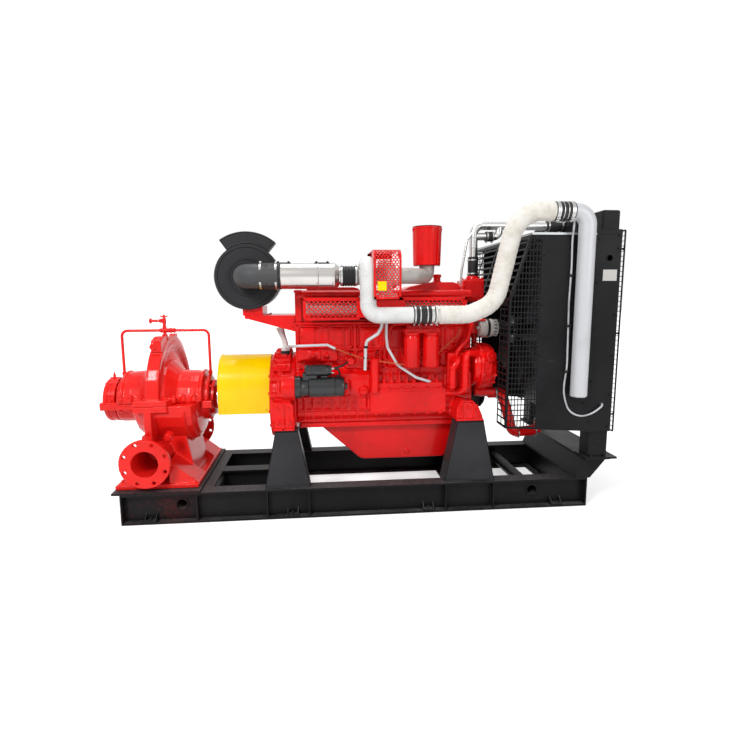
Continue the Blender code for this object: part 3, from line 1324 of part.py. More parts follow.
def build_columns():
    left, right, half = COLUMN_LEFT, COLUMN_RIGHT, RADIATOR_HALF
    depth, sheet, bottom = COLUMN_DEPTH, COLUMN_SHEET, COLUMN_BOTTOM
    post_low = BEAM_HEIGHT + STAND_HEIGHT + STAND_PLATE + GAP
    margin = POST_BASE_MARGIN
    for side, word in ((-1, "near"), (1, "far")):
        web, lip = side * half, side * (half - depth)
        back = web - side * sheet
        channel = [(left, web), (right, web), (right, lip), (right - sheet, lip), (right - sheet, back)]
        channel += [(left + sheet, back), (left + sheet, lip), (left, lip)]
        column = plate(f"{word}_radiator_column", channel, bottom, COLUMN_TOP, "Z", SATIN_BLACK)
        x, z = COLUMN_HOLE
        ends = (x, web - PAST, z), (x, web + PAST, z)
        cut(column, rod(f"{word}_column_hole", *ends, COLUMN_HOLE_RADIUS, sides=16))
        if side < 0:
            x, z = LEAD_HOLE
            cut(column, rod("lead_hole", (x, web - PAST, z), (x, web + PAST, z), 3 * LEAD_RADIUS, sides=16))
        face = side * POST_FACE_Y
        low_y, high_y = sorted((face, face - side * POST_DEPTH))
        right_x = POST_LEFT + POST_WIDTH
        post = (POST_LEFT, low_y, post_low + 0.001), (right_x, high_y, bottom + 0.012)
        base_low = (POST_LEFT - margin, low_y - margin, post_low)
        base_high = (right_x + margin, high_y + margin, post_low + POST_BASE_THICK)
        fuse(column, box(f"{word}_post", *post), box(f"{word}_post_base", base_low, base_high))


def build_rear_guard():
    half, bottom, top, rail = RADIATOR_HALF, COLUMN_BOTTOM, COLUMN_TOP, REAR_GUARD_RAIL
    left = COLUMN_RIGHT + REAR_GUARD_STANDOFF
    outer = [(-half, bottom), (half, bottom), (half, top), (-half, top)]
    hole = window(-half + rail, half - rail, bottom + rail, top - rail)
    guard = plate("rear_guard", outer, left, left + 0.010, "X", SATIN_BLACK, [hole])
    x, reach = left + 0.005, half - SINK
    for n in range(1, REAR_GUARD_WIRES):
        z = bottom + n * (top - bottom) / REAR_GUARD_WIRES
        fuse(guard, rod(f"guard_wire_{n}", (x, -reach, z), (x, reach, z), 0.003, sides=6))
    edge = half - rail / 2
    corners = [(side * edge, z) for side in (-1, 1) for z in (bottom + 0.1, top - 0.1)]
    for n, (y, z) in enumerate(corners):
        fuse(guard, rod(f"guard_stud_{n}", (COLUMN_RIGHT + GAP, y, z), (x, y, z), 0.005, sides=8))


def build_radiator():
    build_columns()
    inset = COLUMN_SHEET + GAP
    half, top = RADIATOR_HALF - COLUMN_DEPTH + CORE_OVERLAP, COLUMN_TOP
    low = (COLUMN_LEFT + inset, -half, COLUMN_BOTTOM + 0.012 + GAP)
    box("radiator_core", low, (COLUMN_RIGHT - inset, half, top), SHEET_GREY)
    corners = (TANK_LEFT, -TANK_HALF, top + GAP), (TANK_RIGHT, TANK_HALF, TANK_TOP)
    soften(box("top_tank", *corners, SATIN_BLACK), 0.008)
    build_rear_guard()


def build_coolant():
    x, high = THERMOSTAT_X, COOLANT_HIGH_Z
    base = THERMOSTAT_TOP + THERMOSTAT_NECK + GAP
    tank = TANK_LEFT - GAP
    route = [(x, 0, base + PAST), (x, 0, high), (tank - 0.03, 0, high)]
    pipe = tube("coolant_pipe", rounded_path(route, 0.05), COOLANT_RADIUS, BARE_STEEL, 12)
    low = high - COOLANT_BRANCH_DROP
    branch = [(x, 0, low), (x + 0.165, 0, low), (x + 0.165, 0, high)]
    fuse(
        pipe,
        rod("coolant_hose_low", (x, 0, base), (x, 0, base + 0.12), COOLANT_HOSE_RADIUS, sides=16),
        rod("coolant_hose_high", (tank - 0.12, 0, high), (tank, 0, high), COOLANT_HOSE_RADIUS, sides=16),
        tube("coolant_branch", rounded_path(branch, 0.05), COOLANT_RADIUS - 0.002),
    )
    start, end = WATER_PUMP_RIGHT + 0.015 + GAP, COLUMN_LEFT + COLUMN_SHEET - GAP
    low_left, low_right = HOSE_LOW_X
    low = [
        (start, HOSE_Y, HOSE_Z),
        (start + 0.06, HOSE_Y, HOSE_Z),
        (low_left, -0.12, HOSE_LOW_Z),
        (low_right, -0.08, HOSE_LOW_Z),
        (end - 0.055, -0.04, HOSE_IN_Z),
        (end, -0.04, HOSE_IN_Z),
    ]
    tube("lower_coolant_hose", rounded_path(low, 0.06), COOLANT_HOSE_RADIUS, ENGINE_RED, 12)


def build_lead():
    # The lead runs down the guard's near panel and back up into the column's hole
    face = -RADIATOR_HALF - LEAD_RADIUS - 0.0005
    header = HIGH_CHARGE_Z - HEADER_RADIUS - GAP
    hole_x, hole_z = LEAD_HOLE
    route = [
        (1.140, HIGH_CHARGE_Y, header),
        (1.140, HIGH_CHARGE_Y, header - 0.037),
        (1.155, face, header - 0.092),
        (1.160, face, header - 0.239),
        (1.155, face, header - 0.438),
        (1.163, face, 0.894),
        (1.146, face, 0.737),
        (1.185, face, 0.626),
        (1.261, face, 0.592),
        (1.335, face - 0.005, 0.615),
        (hole_x, face - 0.018, hole_z),
        (hole_x, face + 0.024, hole_z),
    ]
    tube("sensor_lead", rounded_path(route, 0.02, 2), LEAD_RADIUS, LEAD_GREY, 8)


build_skid()
build_stands()
build_pump()
build_engine()
build_air_filter()
build_intake()
build_charge_pipes()
build_shroud()
build_fan()
build_radiator()
build_coolant()
build_lead()
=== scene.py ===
import json
import math

import bmesh
import bpy
from mathutils import Matrix, Vector

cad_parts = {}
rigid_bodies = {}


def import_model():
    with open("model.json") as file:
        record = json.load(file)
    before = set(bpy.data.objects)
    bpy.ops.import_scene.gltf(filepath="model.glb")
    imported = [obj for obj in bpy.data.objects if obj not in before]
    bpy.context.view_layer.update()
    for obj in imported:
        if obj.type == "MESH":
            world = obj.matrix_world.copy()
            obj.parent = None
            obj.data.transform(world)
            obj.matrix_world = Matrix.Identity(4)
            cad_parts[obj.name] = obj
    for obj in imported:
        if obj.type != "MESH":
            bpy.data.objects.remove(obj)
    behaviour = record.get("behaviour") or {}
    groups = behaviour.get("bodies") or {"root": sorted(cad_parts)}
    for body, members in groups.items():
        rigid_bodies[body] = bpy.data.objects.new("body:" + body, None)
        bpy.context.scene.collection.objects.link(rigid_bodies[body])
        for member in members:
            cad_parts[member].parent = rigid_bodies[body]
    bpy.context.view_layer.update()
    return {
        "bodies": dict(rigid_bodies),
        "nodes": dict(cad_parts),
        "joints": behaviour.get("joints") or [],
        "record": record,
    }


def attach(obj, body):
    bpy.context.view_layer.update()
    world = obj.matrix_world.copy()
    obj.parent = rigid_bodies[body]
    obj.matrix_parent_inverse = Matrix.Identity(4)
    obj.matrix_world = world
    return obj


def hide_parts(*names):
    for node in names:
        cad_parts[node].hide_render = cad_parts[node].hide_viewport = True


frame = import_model()
nodes = frame["nodes"]
print("frame loaded:", len(nodes), "nodes")

# Skid coordinates have X from the skid's middle; the frame's origin lies under the rear cross member
skidShift = 0.44


# Shader graphs

class Signal:
    # One output socket, so that shader maths reads as plain sums
    def __init__(self, finish, socket):
        self.finish = finish
        self.socket = socket

    def maths(self, operation, other, flip=False):
        pair = (other, self) if flip else (self, other)
        return self.finish.node("ShaderNodeMath", {"operation": operation}, dict(enumerate(pair)))

    def __add__(self, other):
        return self.maths("ADD", other)

    def __radd__(self, other):
        return self.maths("ADD", other, flip=True)

    def __sub__(self, other):
        return self.maths("SUBTRACT", other)

    def __rsub__(self, other):
        return self.maths("SUBTRACT", other, flip=True)

    def __mul__(self, other):
        return self.maths("MULTIPLY", other)

    def __rmul__(self, other):
        return self.maths("MULTIPLY", other, flip=True)

    def __truediv__(self, other):
        return self.maths("DIVIDE", other)

    def __rtruediv__(self, other):
        return self.maths("DIVIDE", other, flip=True)

    def __pow__(self, other):
        return self.maths("POWER", other)

    def larger(self, other):
        return self.maths("MAXIMUM", other)

    def smaller(self, other):
        return self.maths("MINIMUM", other)

    def rise(self, low, high):
        # 0 below low, 1 above high, smooth between them
        settings = {"interpolation_type": "SMOOTHSTEP"}
        return self.finish.node("ShaderNodeMapRange", settings, {"Value": self, "From Min": low, "From Max": high})

    def fall(self, low, high):
        return 1 - self.rise(low, high)


class Finish:
    # A material with a Principled shader, and one way to add any other node
    def __init__(self, name, roughness=0.5, metallic=0.0, coat=0.0, coatRoughness=0.1, specular=0.5):
        self.material = bpy.data.materials.new(name)
        self.material.use_nodes = True
        self.tree = self.material.node_tree
        self.shader = self.tree.nodes["Principled BSDF"]
        self.put("Roughness", roughness)
        self.put("Metallic", metallic)
        self.put("Specular IOR Level", specular)
        self.put("Coat Weight", coat)
        self.put("Coat Roughness", coatRoughness)

    def put(self, socketName, value):
        self.join(self.shader.inputs[socketName], value)

    def join(self, socket, value):
        if isinstance(value, Signal):
            self.tree.links.new(value.socket, socket)
        elif socket.type == "RGBA" and len(value) == 3:
            socket.default_value = (*value, 1.0)
        else:
            socket.default_value = value

    def node(self, kind, settings=None, sockets=None, output=0):
        made = self.tree.nodes.new(kind)
        for key, value in (settings or {}).items():
            if key == "stops":
                self.setStops(made.color_ramp, value)
            else:
                setattr(made, key, value)
        for key, value in (sockets or {}).items():
            self.join(made.inputs[key], value)
        return Signal(self, made.outputs[output])

    def setStops(self, ramp, stops):
        for n, (place, colour) in enumerate(stops):
            stop = ramp.elements[n] if n < 2 else ramp.elements.new(place)
            stop.position = place
            stop.color = (*colour, 1.0)

    def place(self):
        return self.node("ShaderNodeTexCoord", output="Object")

    def axes(self):
        split = self.node("ShaderNodeSeparateXYZ", sockets={0: self.place()})
        return [Signal(self, socket) for socket in split.socket.node.outputs]

    def facing(self):
        # How far the surface's own normal points along X, Y and Z
        split = self.node("ShaderNodeSeparateXYZ", sockets={0: self.node("ShaderNodeTexCoord", output="Normal")})
        return [Signal(self, socket) for socket in split.socket.node.outputs]

    def noise(self, scale, detail=3.0, roughness=0.55, stretch=None):
        where = self.place()
        if stretch:
            where = self.node("ShaderNodeMapping", sockets={"Vector": where, "Scale": stretch})
        sockets = {"Vector": where, "Scale": scale, "Detail": detail, "Roughness": roughness}
        return self.node("ShaderNodeTexNoise", sockets=sockets, output="Fac")

    def blend(self, mask, under, over):
        settings = {"data_type": "RGBA"}
        made = self.tree.nodes.new("ShaderNodeMix")
        made.data_type = settings["data_type"]
        self.join(made.inputs["Factor"], mask)
        colours = [socket for socket in made.inputs if socket.type == "RGBA"]
        self.join(colours[0], under)
        self.join(colours[1], over)
        return Signal(self, [socket for socket in made.outputs if socket.type == "RGBA"][0])

    def bump(self, height, distance, strength=1.0, under=None):
        sockets = {"Height": height, "Distance": distance, "Strength": strength}
        if under is not None:
            sockets["Normal"] = under
        return self.node("ShaderNodeBump", sockets=sockets)


def srgb(red, green, blue):
    # A colour as it is seen, 0 to 255, in the shader's linear values
    return tuple(((c / 255 + 0.055) / 1.055) ** 2.4 if c > 10 else c / 255 / 12.92 for c in (red, green, blue))


# Finishes

paintSettings = {
    "pumpRed": srgb(232, 34, 28),
    "pumpShade": srgb(206, 20, 16),
    "engineRed": srgb(226, 16, 15),
    "engineShade": srgb(182, 6, 9),
    "grime": srgb(70, 30, 24),
    "yellow": srgb(246, 212, 0),
    "yellowShade": srgb(232, 190, 0),
    "black": srgb(25, 25, 27),
    "blackShade": srgb(16, 16, 18),
    # A pale grey for dust and scuffs, and also the painted sheen of light on upward faces
    "dustSheenGrey": srgb(112, 110, 111),
    "overspray": srgb(96, 34, 30),
}


def glossPaint(name, colour, shade, grime, grimeAmount, roughness=0.28, specular=0.13):
    finish = Finish(name, roughness, coat=0.2, coatRoughness=0.07, specular=specular)
    broad = finish.noise(2.3, 3.0)
    fine = finish.noise(34.0, 4.0)
    base = finish.blend(broad.rise(0.35, 0.7) * 0.6, colour, shade)
    dirt = (fine * 0.6 + broad * 0.4).rise(0.52, 0.74) * grimeAmount
    finish.put("Base Color", finish.blend(dirt, base, grime))
    finish.put("Roughness", broad * 0.1 + dirt * 0.3 + (roughness - 0.05))
    peel = finish.noise(140.0, 2.0)
    finish.put("Normal", finish.bump(peel, 0.0012, 0.22))
    return finish.material


def blackPaint(name, dustAndSheenAmount, oversprayAmount, colour=paintSettings["black"], shade=paintSettings["blackShade"]):
    p = paintSettings
    finish = Finish(name, 0.42, specular=0.11)
    broad = finish.noise(3.1, 4.0)
    fine = finish.noise(60.0, 5.0, 0.65)
    x, y, z = finish.axes()
    up = finish.facing()[2]
    base = finish.blend(broad.rise(0.3, 0.7), colour, shade)
    # Upward faces are lightened towards the pale grey: partly dust, partly a painted sheen where light falls on their
    # tops
    dustAndTopSheen = up.rise(0.35, 0.9) * (fine * 0.5 + broad * 0.6).rise(0.35, 0.75) * dustAndSheenAmount
    base = finish.blend(dustAndTopSheen, base, p["dustSheenGrey"])
    nearPump = x.fall(-0.75, -0.35) * (broad * 0.7 + fine * 0.5).rise(0.5, 0.8) * oversprayAmount
    base = finish.blend(nearPump, base, p["overspray"])
    scuffs = finish.noise(9.0, 6.0, 0.7, (1.0, 1.0, 6.0)).rise(0.62, 0.75)
    base = finish.blend(scuffs * 0.12, base, p["dustSheenGrey"])
    finish.put("Base Color", base)
    finish.put("Roughness", broad * 0.2 + dustAndTopSheen * 0.35 + 0.3)
    finish.put("Normal", finish.bump(fine * 0.6 + broad, 0.0015, 0.25))
    return finish.material


def steelFinish(name, colour, roughness, grainStretch=(1.0, 1.0, 1.0), metallic=1.0):
    finish = Finish(name, roughness, metallic=metallic, specular=0.16)
    grain = finish.noise(90.0, 4.0, 0.6, grainStretch)
    smudge = finish.noise(7.0, 3.0)
    shade = tuple(c * 0.62 for c in colour)
    finish.put("Base Color", finish.blend(grain * 0.15 + smudge.rise(0.45, 0.8) * 0.25, colour, shade))
    finish.put("Roughness", grain * 0.06 + smudge * 0.12 + (roughness - 0.08))
    finish.put("Normal", finish.bump(grain, 0.0004, 0.12))
    return finish.material


def rubberFinish(name, colour=(0.014, 0.014, 0.015)):
    finish = Finish(name, 0.55, specular=0.25)
    fine = finish.noise(210.0, 3.0)
    broad = finish.noise(8.0, 3.0)
    finish.put("Base Color", finish.blend(broad.rise(0.4, 0.8) * 0.6, colour, (0.05, 0.048, 0.045)))
    finish.put("Roughness", broad * 0.25 + 0.4)
    finish.put("Normal", finish.bump(fine, 0.0008, 0.3))
    return finish.material


def castPipeFinish(name):
    # A pale painted casting, a little rough and grey in its hollows
    finish = Finish(name, 0.5)
    broad = finish.noise(6.0, 3.0)
    fine = finish.noise(120.0, 4.0, 0.6)
    stain = (broad * 0.6 + fine * 0.4).rise(0.42, 0.68)
    finish.put("Base Color", finish.blend(stain * 0.6, srgb(216, 217, 216), srgb(184, 184, 182)))
    finish.put("Roughness", fine * 0.2 + 0.4)
    finish.put("Normal", finish.bump(fine, 0.0014, 0.35))
    return finish.material


def wrapFinish(name):
    # A woven heat wrap, wound in bands round the pipe
    finish = Finish(name, 0.85, specular=0.25)
    weave = finish.node("ShaderNodeTexWave", {"bands_direction": "DIAGONAL"}, {
        "Vector": finish.place(), "Scale": 130.0, "Distortion": 1.2, "Detail": 2.0}, output="Fac")
    cross = finish.node("ShaderNodeTexWave", {"bands_direction": "Z"}, {
        "Vector": finish.place(), "Scale": 150.0, "Distortion": 1.5, "Detail": 2.0}, output="Fac")
    stain = finish.noise(14.0, 4.0, 0.65)
    base = finish.blend(stain.rise(0.42, 0.72), srgb(229, 226, 219), srgb(212, 206, 194))
    finish.put("Base Color", finish.blend(weave * cross * 0.2, base, srgb(170, 160, 144)))
    finish.put("Normal", finish.bump(weave * 0.5 + cross * 0.5, 0.0015, 0.5))
    return finish.material


def coreFinish(name):
    # Radiator fins and tubes, seen as fine vertical and level lines, with painted shade darkening the gaps between them
    finish = Finish(name, 0.5, metallic=0.5)
    x, y, z = finish.axes()
    tubes = finish.node("ShaderNodeMath", {"operation": "PINGPONG"}, {0: y * 100.0, 1: 0.5}) * 2
    fins = finish.node("ShaderNodeMath", {"operation": "PINGPONG"}, {0: z * 400.0, 1: 0.5}) * 2
    # Painted shade: near black in the gaps between the tubes, and in every second band of the fins
    gapShade = (1 - tubes.rise(0.2, 0.5)) * 0.7 + (1 - fins) * 0.3
    finish.put("Base Color", finish.blend(gapShade, srgb(96, 98, 102), srgb(18, 18, 20)))
    finish.put("Normal", finish.bump(tubes * 0.7 + fins * 0.3, 0.002, 0.6))
    return finish.material


p = paintSettings
finishes = {
    "pump_red": glossPaint("pumpPaint", p["pumpRed"], p["pumpShade"], p["grime"], 0.12, 0.24),
    "engine_red": glossPaint("enginePaint", p["engineRed"], p["engineShade"], p["grime"], 0.3, 0.3),
    "guard_yellow": glossPaint("guardPaint", p["yellow"], p["yellowShade"], srgb(150, 110, 20), 0.08, 0.22),
    "skid_black": blackPaint("skidPaint", 0.6, 0.6),
    "pedestal_grey": blackPaint("pedestalPaint", 0.5, 0.0, srgb(54, 54, 57), srgb(44, 44, 47)),
    "gloss_black": glossPaint("starterPaint", srgb(24, 26, 28), srgb(15, 16, 18), srgb(60, 54, 48), 0.2, 0.3, 0.42),
    "satin_black": blackPaint("radiatorPaint", 0.35, 0.0),
    "filter_black": steelFinish("filterBlack", srgb(40, 40, 42), 0.5, metallic=0.0),
    "black_rubber": rubberFinish("hoseRubber"),
    "bare_steel": steelFinish("brightSteel", (0.60, 0.60, 0.59), 0.26),
    "pipe_grey": steelFinish("pipePaint", srgb(198, 200, 203), 0.35, metallic=0.1),
    "pipe_wrap": wrapFinish("pipeWrap"),
    "cast_grey": steelFinish("castMetal", (0.33, 0.31, 0.29), 0.5, metallic=0.7),
    "lead_grey": rubberFinish("leadSheath", (0.55, 0.56, 0.58)),
    "sheet_grey": steelFinish("bareSheet", (0.36, 0.37, 0.38), 0.42),
    "copper_wire": rubberFinish("wireSheath", srgb(196, 92, 50)),
    "elbow_grey": rubberFinish("elbowRubber", (0.055, 0.057, 0.06)),
    "bright_steel": steelFinish("polishedSteel", (0.56, 0.54, 0.52), 0.22),
    "pipe_cast": castPipeFinish("castPipe"),
    "clamp_steel": steelFinish("clampSteel", (0.50, 0.50, 0.49), 0.32),
    "light_cast": steelFinish("lightCast", srgb(184, 181, 176), 0.5, metallic=0.2),
}
finishes["radiator_core"] = coreFinish("radiatorFins")
print("finishes made:", len(finishes))


# Camera, light and floor

cameraSettings = {
    "place": (-0.2343 + skidShift, -3.1983, 1.3007),
    "focalPixels": 497.52,
    "imagePixels": 730,
    "sensor": 36.0,
    "yaw": 0.08910,
    "pitch": -0.14030,
    "roll": -0.00520,
}


def addCamera(s):
    camera = bpy.data.cameras.new("photoCamera")
    camera.sensor_width = s["sensor"]
    camera.lens = s["focalPixels"] / s["imagePixels"] * s["sensor"]
    obj = bpy.data.objects.new("photoCamera", camera)
    bpy.context.scene.collection.objects.link(obj)
    yaw, pitch, roll = s["yaw"], s["pitch"], s["roll"]
    ahead = Vector((math.sin(yaw) * math.cos(pitch), math.cos(yaw) * math.cos(pitch), math.sin(pitch)))
    level = Vector((math.cos(yaw), -math.sin(yaw), 0.0))
    above = level.cross(ahead)
    right = level * math.cos(roll) + above * math.sin(roll)
    up = above * math.cos(roll) - level * math.sin(roll)
    turn = Matrix((right, up, -ahead)).transposed().to_4x4()
    obj.matrix_world = Matrix.Translation(s["place"]) @ turn
    bpy.context.scene.camera = obj


def addLight(name, place, target, size, power):
    light = bpy.data.lights.new(name, "AREA")
    light.shape = "RECTANGLE"
    light.size, light.size_y = size
    light.energy = power
    obj = bpy.data.objects.new(name, light)
    obj.location = place
    obj.rotation_euler = (Vector(target) - Vector(place)).to_track_quat("-Z", "Y").to_euler()
    bpy.context.scene.collection.objects.link(obj)


def whiteWorld(ambient):
    world = bpy.data.worlds.new("studio")
    bpy.context.scene.world = world
    world.use_nodes = True
    tree = world.node_tree
    back = tree.nodes["Background"]
    rays = tree.nodes.new("ShaderNodeLightPath")
    seen = tree.nodes.new("ShaderNodeMath")
    seen.operation = "MAXIMUM"
    tree.links.new(rays.outputs["Is Camera Ray"], seen.inputs[0])
    tree.links.new(rays.outputs["Is Glossy Ray"], seen.inputs[1])
    passed = tree.nodes.new("ShaderNodeMath")
    passed.operation = "MAXIMUM"
    tree.links.new(seen.outputs[0], passed.inputs[0])
    tree.links.new(rays.outputs["Is Transmission Ray"], passed.inputs[1])
    strength = tree.nodes.new("ShaderNodeMapRange")
    strength.inputs["To Min"].default_value = ambient
    strength.inputs["To Max"].default_value = 1.0
    tree.links.new(passed.outputs[0], strength.inputs["Value"])
    tree.links.new(strength.outputs["Result"], back.inputs["Strength"])
    back.inputs["Color"].default_value = (1.0, 1.0, 1.0, 1.0)


def addFloor(low, level, glow):
    form = bmesh.new()
    bmesh.ops.create_grid(form, x_segments=1, y_segments=1, size=30.0)
    mesh = bpy.data.meshes.new("floor")
    form.to_mesh(mesh)
    form.free()
    floor = bpy.data.objects.new("floor", mesh)
    floor.location.z = low
    bpy.context.scene.collection.objects.link(floor)
    paint = Finish("paleFloor", 0.9)
    paint.put("Base Color", (level, level, level))
    # White far from the object, and near it pale enough to keep the shadow
    x, y, z = paint.axes()
    far = ((x * x + y * y) ** 0.5).rise(2.0, 7.0)
    bright = paint.blend(far, (glow, glow, glow), (1.0, 1.0, 1.0))
    seen = paint.node("ShaderNodeLightPath", output="Is Camera Ray")
    rays = seen.socket.node.outputs
    for kind in ("Is Glossy Ray", "Is Transmission Ray"):
        seen = seen.larger(Signal(paint, rays[kind]))
    paint.put("Emission Color", paint.blend(seen, (0.0, 0.0, 0.0), bright))
    paint.put("Emission Strength", 1.0)
    mesh.materials.append(paint.material)


addCamera(cameraSettings)
whiteWorld(0.38)
addLight("keyLight", (-2.2, -4.2, 4.2), (0.3, 0.0, 0.8), (1.3, 1.3), 215.0)
addLight("fillLight", (3.6, -4.0, 2.6), (0.6, 0.0, 0.8), (2.4, 2.4), 60.0)
addLight("topLight", (0.4, 0.6, 5.0), (0.4, 0.0, 0.8), (3.0, 2.0), 100.0)
addFloor(-0.001, 0.85, 0.55)
bpy.context.scene.view_settings.view_transform = "Standard"
print("studio set")


# Shapes, gathered in skid coordinates and shifted into the frame when they are done

def roundedPath(points, bend, steps=6):
    route = [Vector(p) for p in points]
    made = [route[0]]
    for before, corner, after in zip(route, route[1:], route[2:]):
        back, ahead = (before - corner).normalized(), (after - corner).normalized()
        half = back.angle(ahead) / 2
        room = min((before - corner).length, (after - corner).length) * 0.49
        reach = min(bend / math.tan(half), room)
        radius = reach * math.tan(half)
        centre = corner + (back + ahead).normalized() * radius / math.sin(half)
        first = (corner + back * reach - centre).normalized()
        last = (corner + ahead * reach - centre).normalized()
        made += [centre + first.slerp(last, n / steps) * radius for n in range(steps + 1)]
    made.append(route[-1])
    return made


def arcOf(centre, radius, start, stop, steps):
    turns = [math.radians(start + (stop - start) * n / steps) for n in range(steps + 1)]
    return [(centre[0] + radius * math.cos(t), centre[1] + radius * math.sin(t)) for t in turns]


def inX(x, flat):
    # Points of a YZ outline, set at one X
    return [(x, y, z) for y, z in flat]


class Form:
    def __init__(self):
        self.mesh = bmesh.new()

    def skin(self, a, b):
        count = max(len(a), len(b))
        for n in range(count):
            m = (n + 1) % count
            corners = [a[n % len(a)], a[m % len(a)], b[m % len(b)], b[n % len(b)]]
            corners = list(dict.fromkeys(corners))
            if len(corners) > 2:
                self.mesh.faces.new(corners)

    def lathe(self, profile, start, direction, sides=40, closed=False):
        start, ahead = Vector(start), Vector(direction).normalized()
        turn = ahead.to_track_quat("Z", "Y").to_matrix()
        rings = []
        for radius, along in profile:
            if radius < 1e-6:
                rings.append([self.mesh.verts.new(start + ahead * along)])
                continue
            angles = [2 * math.pi * (n + 0.5) / sides for n in range(sides)]
            spots = [Vector((radius * math.cos(t), radius * math.sin(t), along)) for t in angles]
            rings.append([self.mesh.verts.new(start + turn @ spot) for spot in spots])
        for a, b in zip(rings, rings[1:]):
            self.skin(a, b)
        if closed:
            self.skin(rings[-1], rings[0])
        else:
            for ring in (rings[0], rings[-1]):
                if len(ring) > 1:
                    self.mesh.faces.new(ring)

    def drum(self, start, end, radius, endRadius=None, sides=32, bevel=0.0):
        start, end = Vector(start), Vector(end)
        length, far = (end - start).length, radius if endRadius is None else endRadius
        profile = [(radius, 0.0), (far, length)]
        if bevel:
            profile = [(radius - bevel, 0.0), (radius, bevel), (far, length - bevel), (far - bevel, length)]
        self.lathe(profile, start, end - start, sides)

    def block(self, low, high, turn=None, about=None):
        corners = [(x, y, z) for x in (low[0], high[0]) for y in (low[1], high[1]) for z in (low[2], high[2])]
        spots = [Vector(c) for c in corners]
        if turn:
            pivot = Vector(about) if about else sum(spots, Vector()) / 8
            spots = [turn @ (spot - pivot) + pivot for spot in spots]
        v = [self.mesh.verts.new(spot) for spot in spots]
        for face in ((0, 1, 3, 2), (4, 6, 7, 5), (0, 4, 5, 1), (2, 3, 7, 6), (0, 2, 6, 4), (1, 5, 7, 3)):
            self.mesh.faces.new([v[n] for n in face])

    def slab(self, outline, low, high, axis):
        spots = {"X": lambda u, v, w: (w, u, v), "Y": lambda u, v, w: (u, w, v), "Z": lambda u, v, w: (u, v, w)}
        rings = [[self.mesh.verts.new(spots[axis](u, v, w)) for u, v in outline] for w in (low, high)]
        self.skin(*rings)
        for ring in rings:
            self.mesh.faces.new(ring)

    def pipe(self, points, radius, sides=16, widths=None, closed=False):
        spots = [Vector(p) for p in points]
        count = len(spots)
        ahead = (spots[1] - spots[0]).normalized()
        side = ahead.orthogonal().normalized()
        rings = []
        for n, spot in enumerate(spots):
            before, after = spots[max(n - 1, 0)], spots[min(n + 1, count - 1)]
            if closed:
                before, after = spots[n - 1], spots[(n + 1) % count]
            ahead = (after - before).normalized()
            side = (side - ahead * side.dot(ahead)).normalized()
            up = ahead.cross(side)
            width = radius * (widths[n] if widths else 1.0)
            turns = [2 * math.pi * m / sides for m in range(sides)]
            rings.append([self.mesh.verts.new(spot + (side * math.cos(t) + up * math.sin(t)) * width) for t in turns])
        for a, b in zip(rings, rings[1:]):
            self.skin(a, b)
        if closed:
            self.skin(rings[-1], rings[0])
        else:
            self.mesh.faces.new(rings[0])
            self.mesh.faces.new(rings[-1])

    def bolt(self, place, direction, size, stud=0.0):
        # A washer with a hexagon head, or with a nut and a stud's end through it
        self.lathe([(size * 1.1, 0.0), (size * 1.1, size * 0.16), (0, size * 0.16)], place, direction, 16)
        top = size * 0.8
        hexagon = [(size * 0.87, size * 0.1), (size * 0.87, top * 0.86), (size * 0.72, top), (0, top)]
        self.lathe(hexagon, place, direction, 6)
        if stud:
            self.lathe([(size * 0.5, top * 0.5), (size * 0.5, top + stud), (0, top + stud)], place, direction, 10)

    def bolts(self, places, direction, size, stud=0.0):
        for place in places:
            self.bolt(place, direction, size, stud)

    def band(self, centre, direction, radius, width, screwAngle=90.0, thick=0.0016):
        # A hose clamp: a thin band with its rolled ends and a screw
        ahead = Vector(direction).normalized()
        start = Vector(centre) - ahead * width / 2
        outer = radius + thick
        profile = [(radius, 0.0), (outer, 0.0), (outer, width), (radius, width)]
        self.lathe(profile, start, ahead, 40, closed=True)
        up = Vector((0, 0, 1)) if abs(ahead.z) < 0.9 else Vector((0, -1, 0))
        up = (up - ahead * up.dot(ahead)).normalized()
        out = Matrix.Rotation(math.radians(screwAngle), 3, ahead) @ up
        along = ahead.cross(out)
        seat = Vector(centre) + out * (outer + 0.003)
        for reach in (-0.008, 0.008):
            foot = seat + along * reach
            self.drum(foot - ahead * width / 2, foot + ahead * width / 2, 0.004, sides=12)
        self.drum(seat - along * 0.015, seat + along * 0.014, 0.0024, sides=10)
        self.drum(seat + along * 0.012, seat + along * 0.018, 0.0045, sides=6)

    def copyOf(self, name):
        source = nodes[name].data
        made = [self.mesh.verts.new(v.co - Vector((skidShift, 0, 0))) for v in source.vertices]
        for face in source.polygons:
            self.mesh.faces.new([made[n] for n in face.vertices])

    def weld(self, distance=0.00002):
        bmesh.ops.remove_doubles(self.mesh, verts=self.mesh.verts, dist=distance)

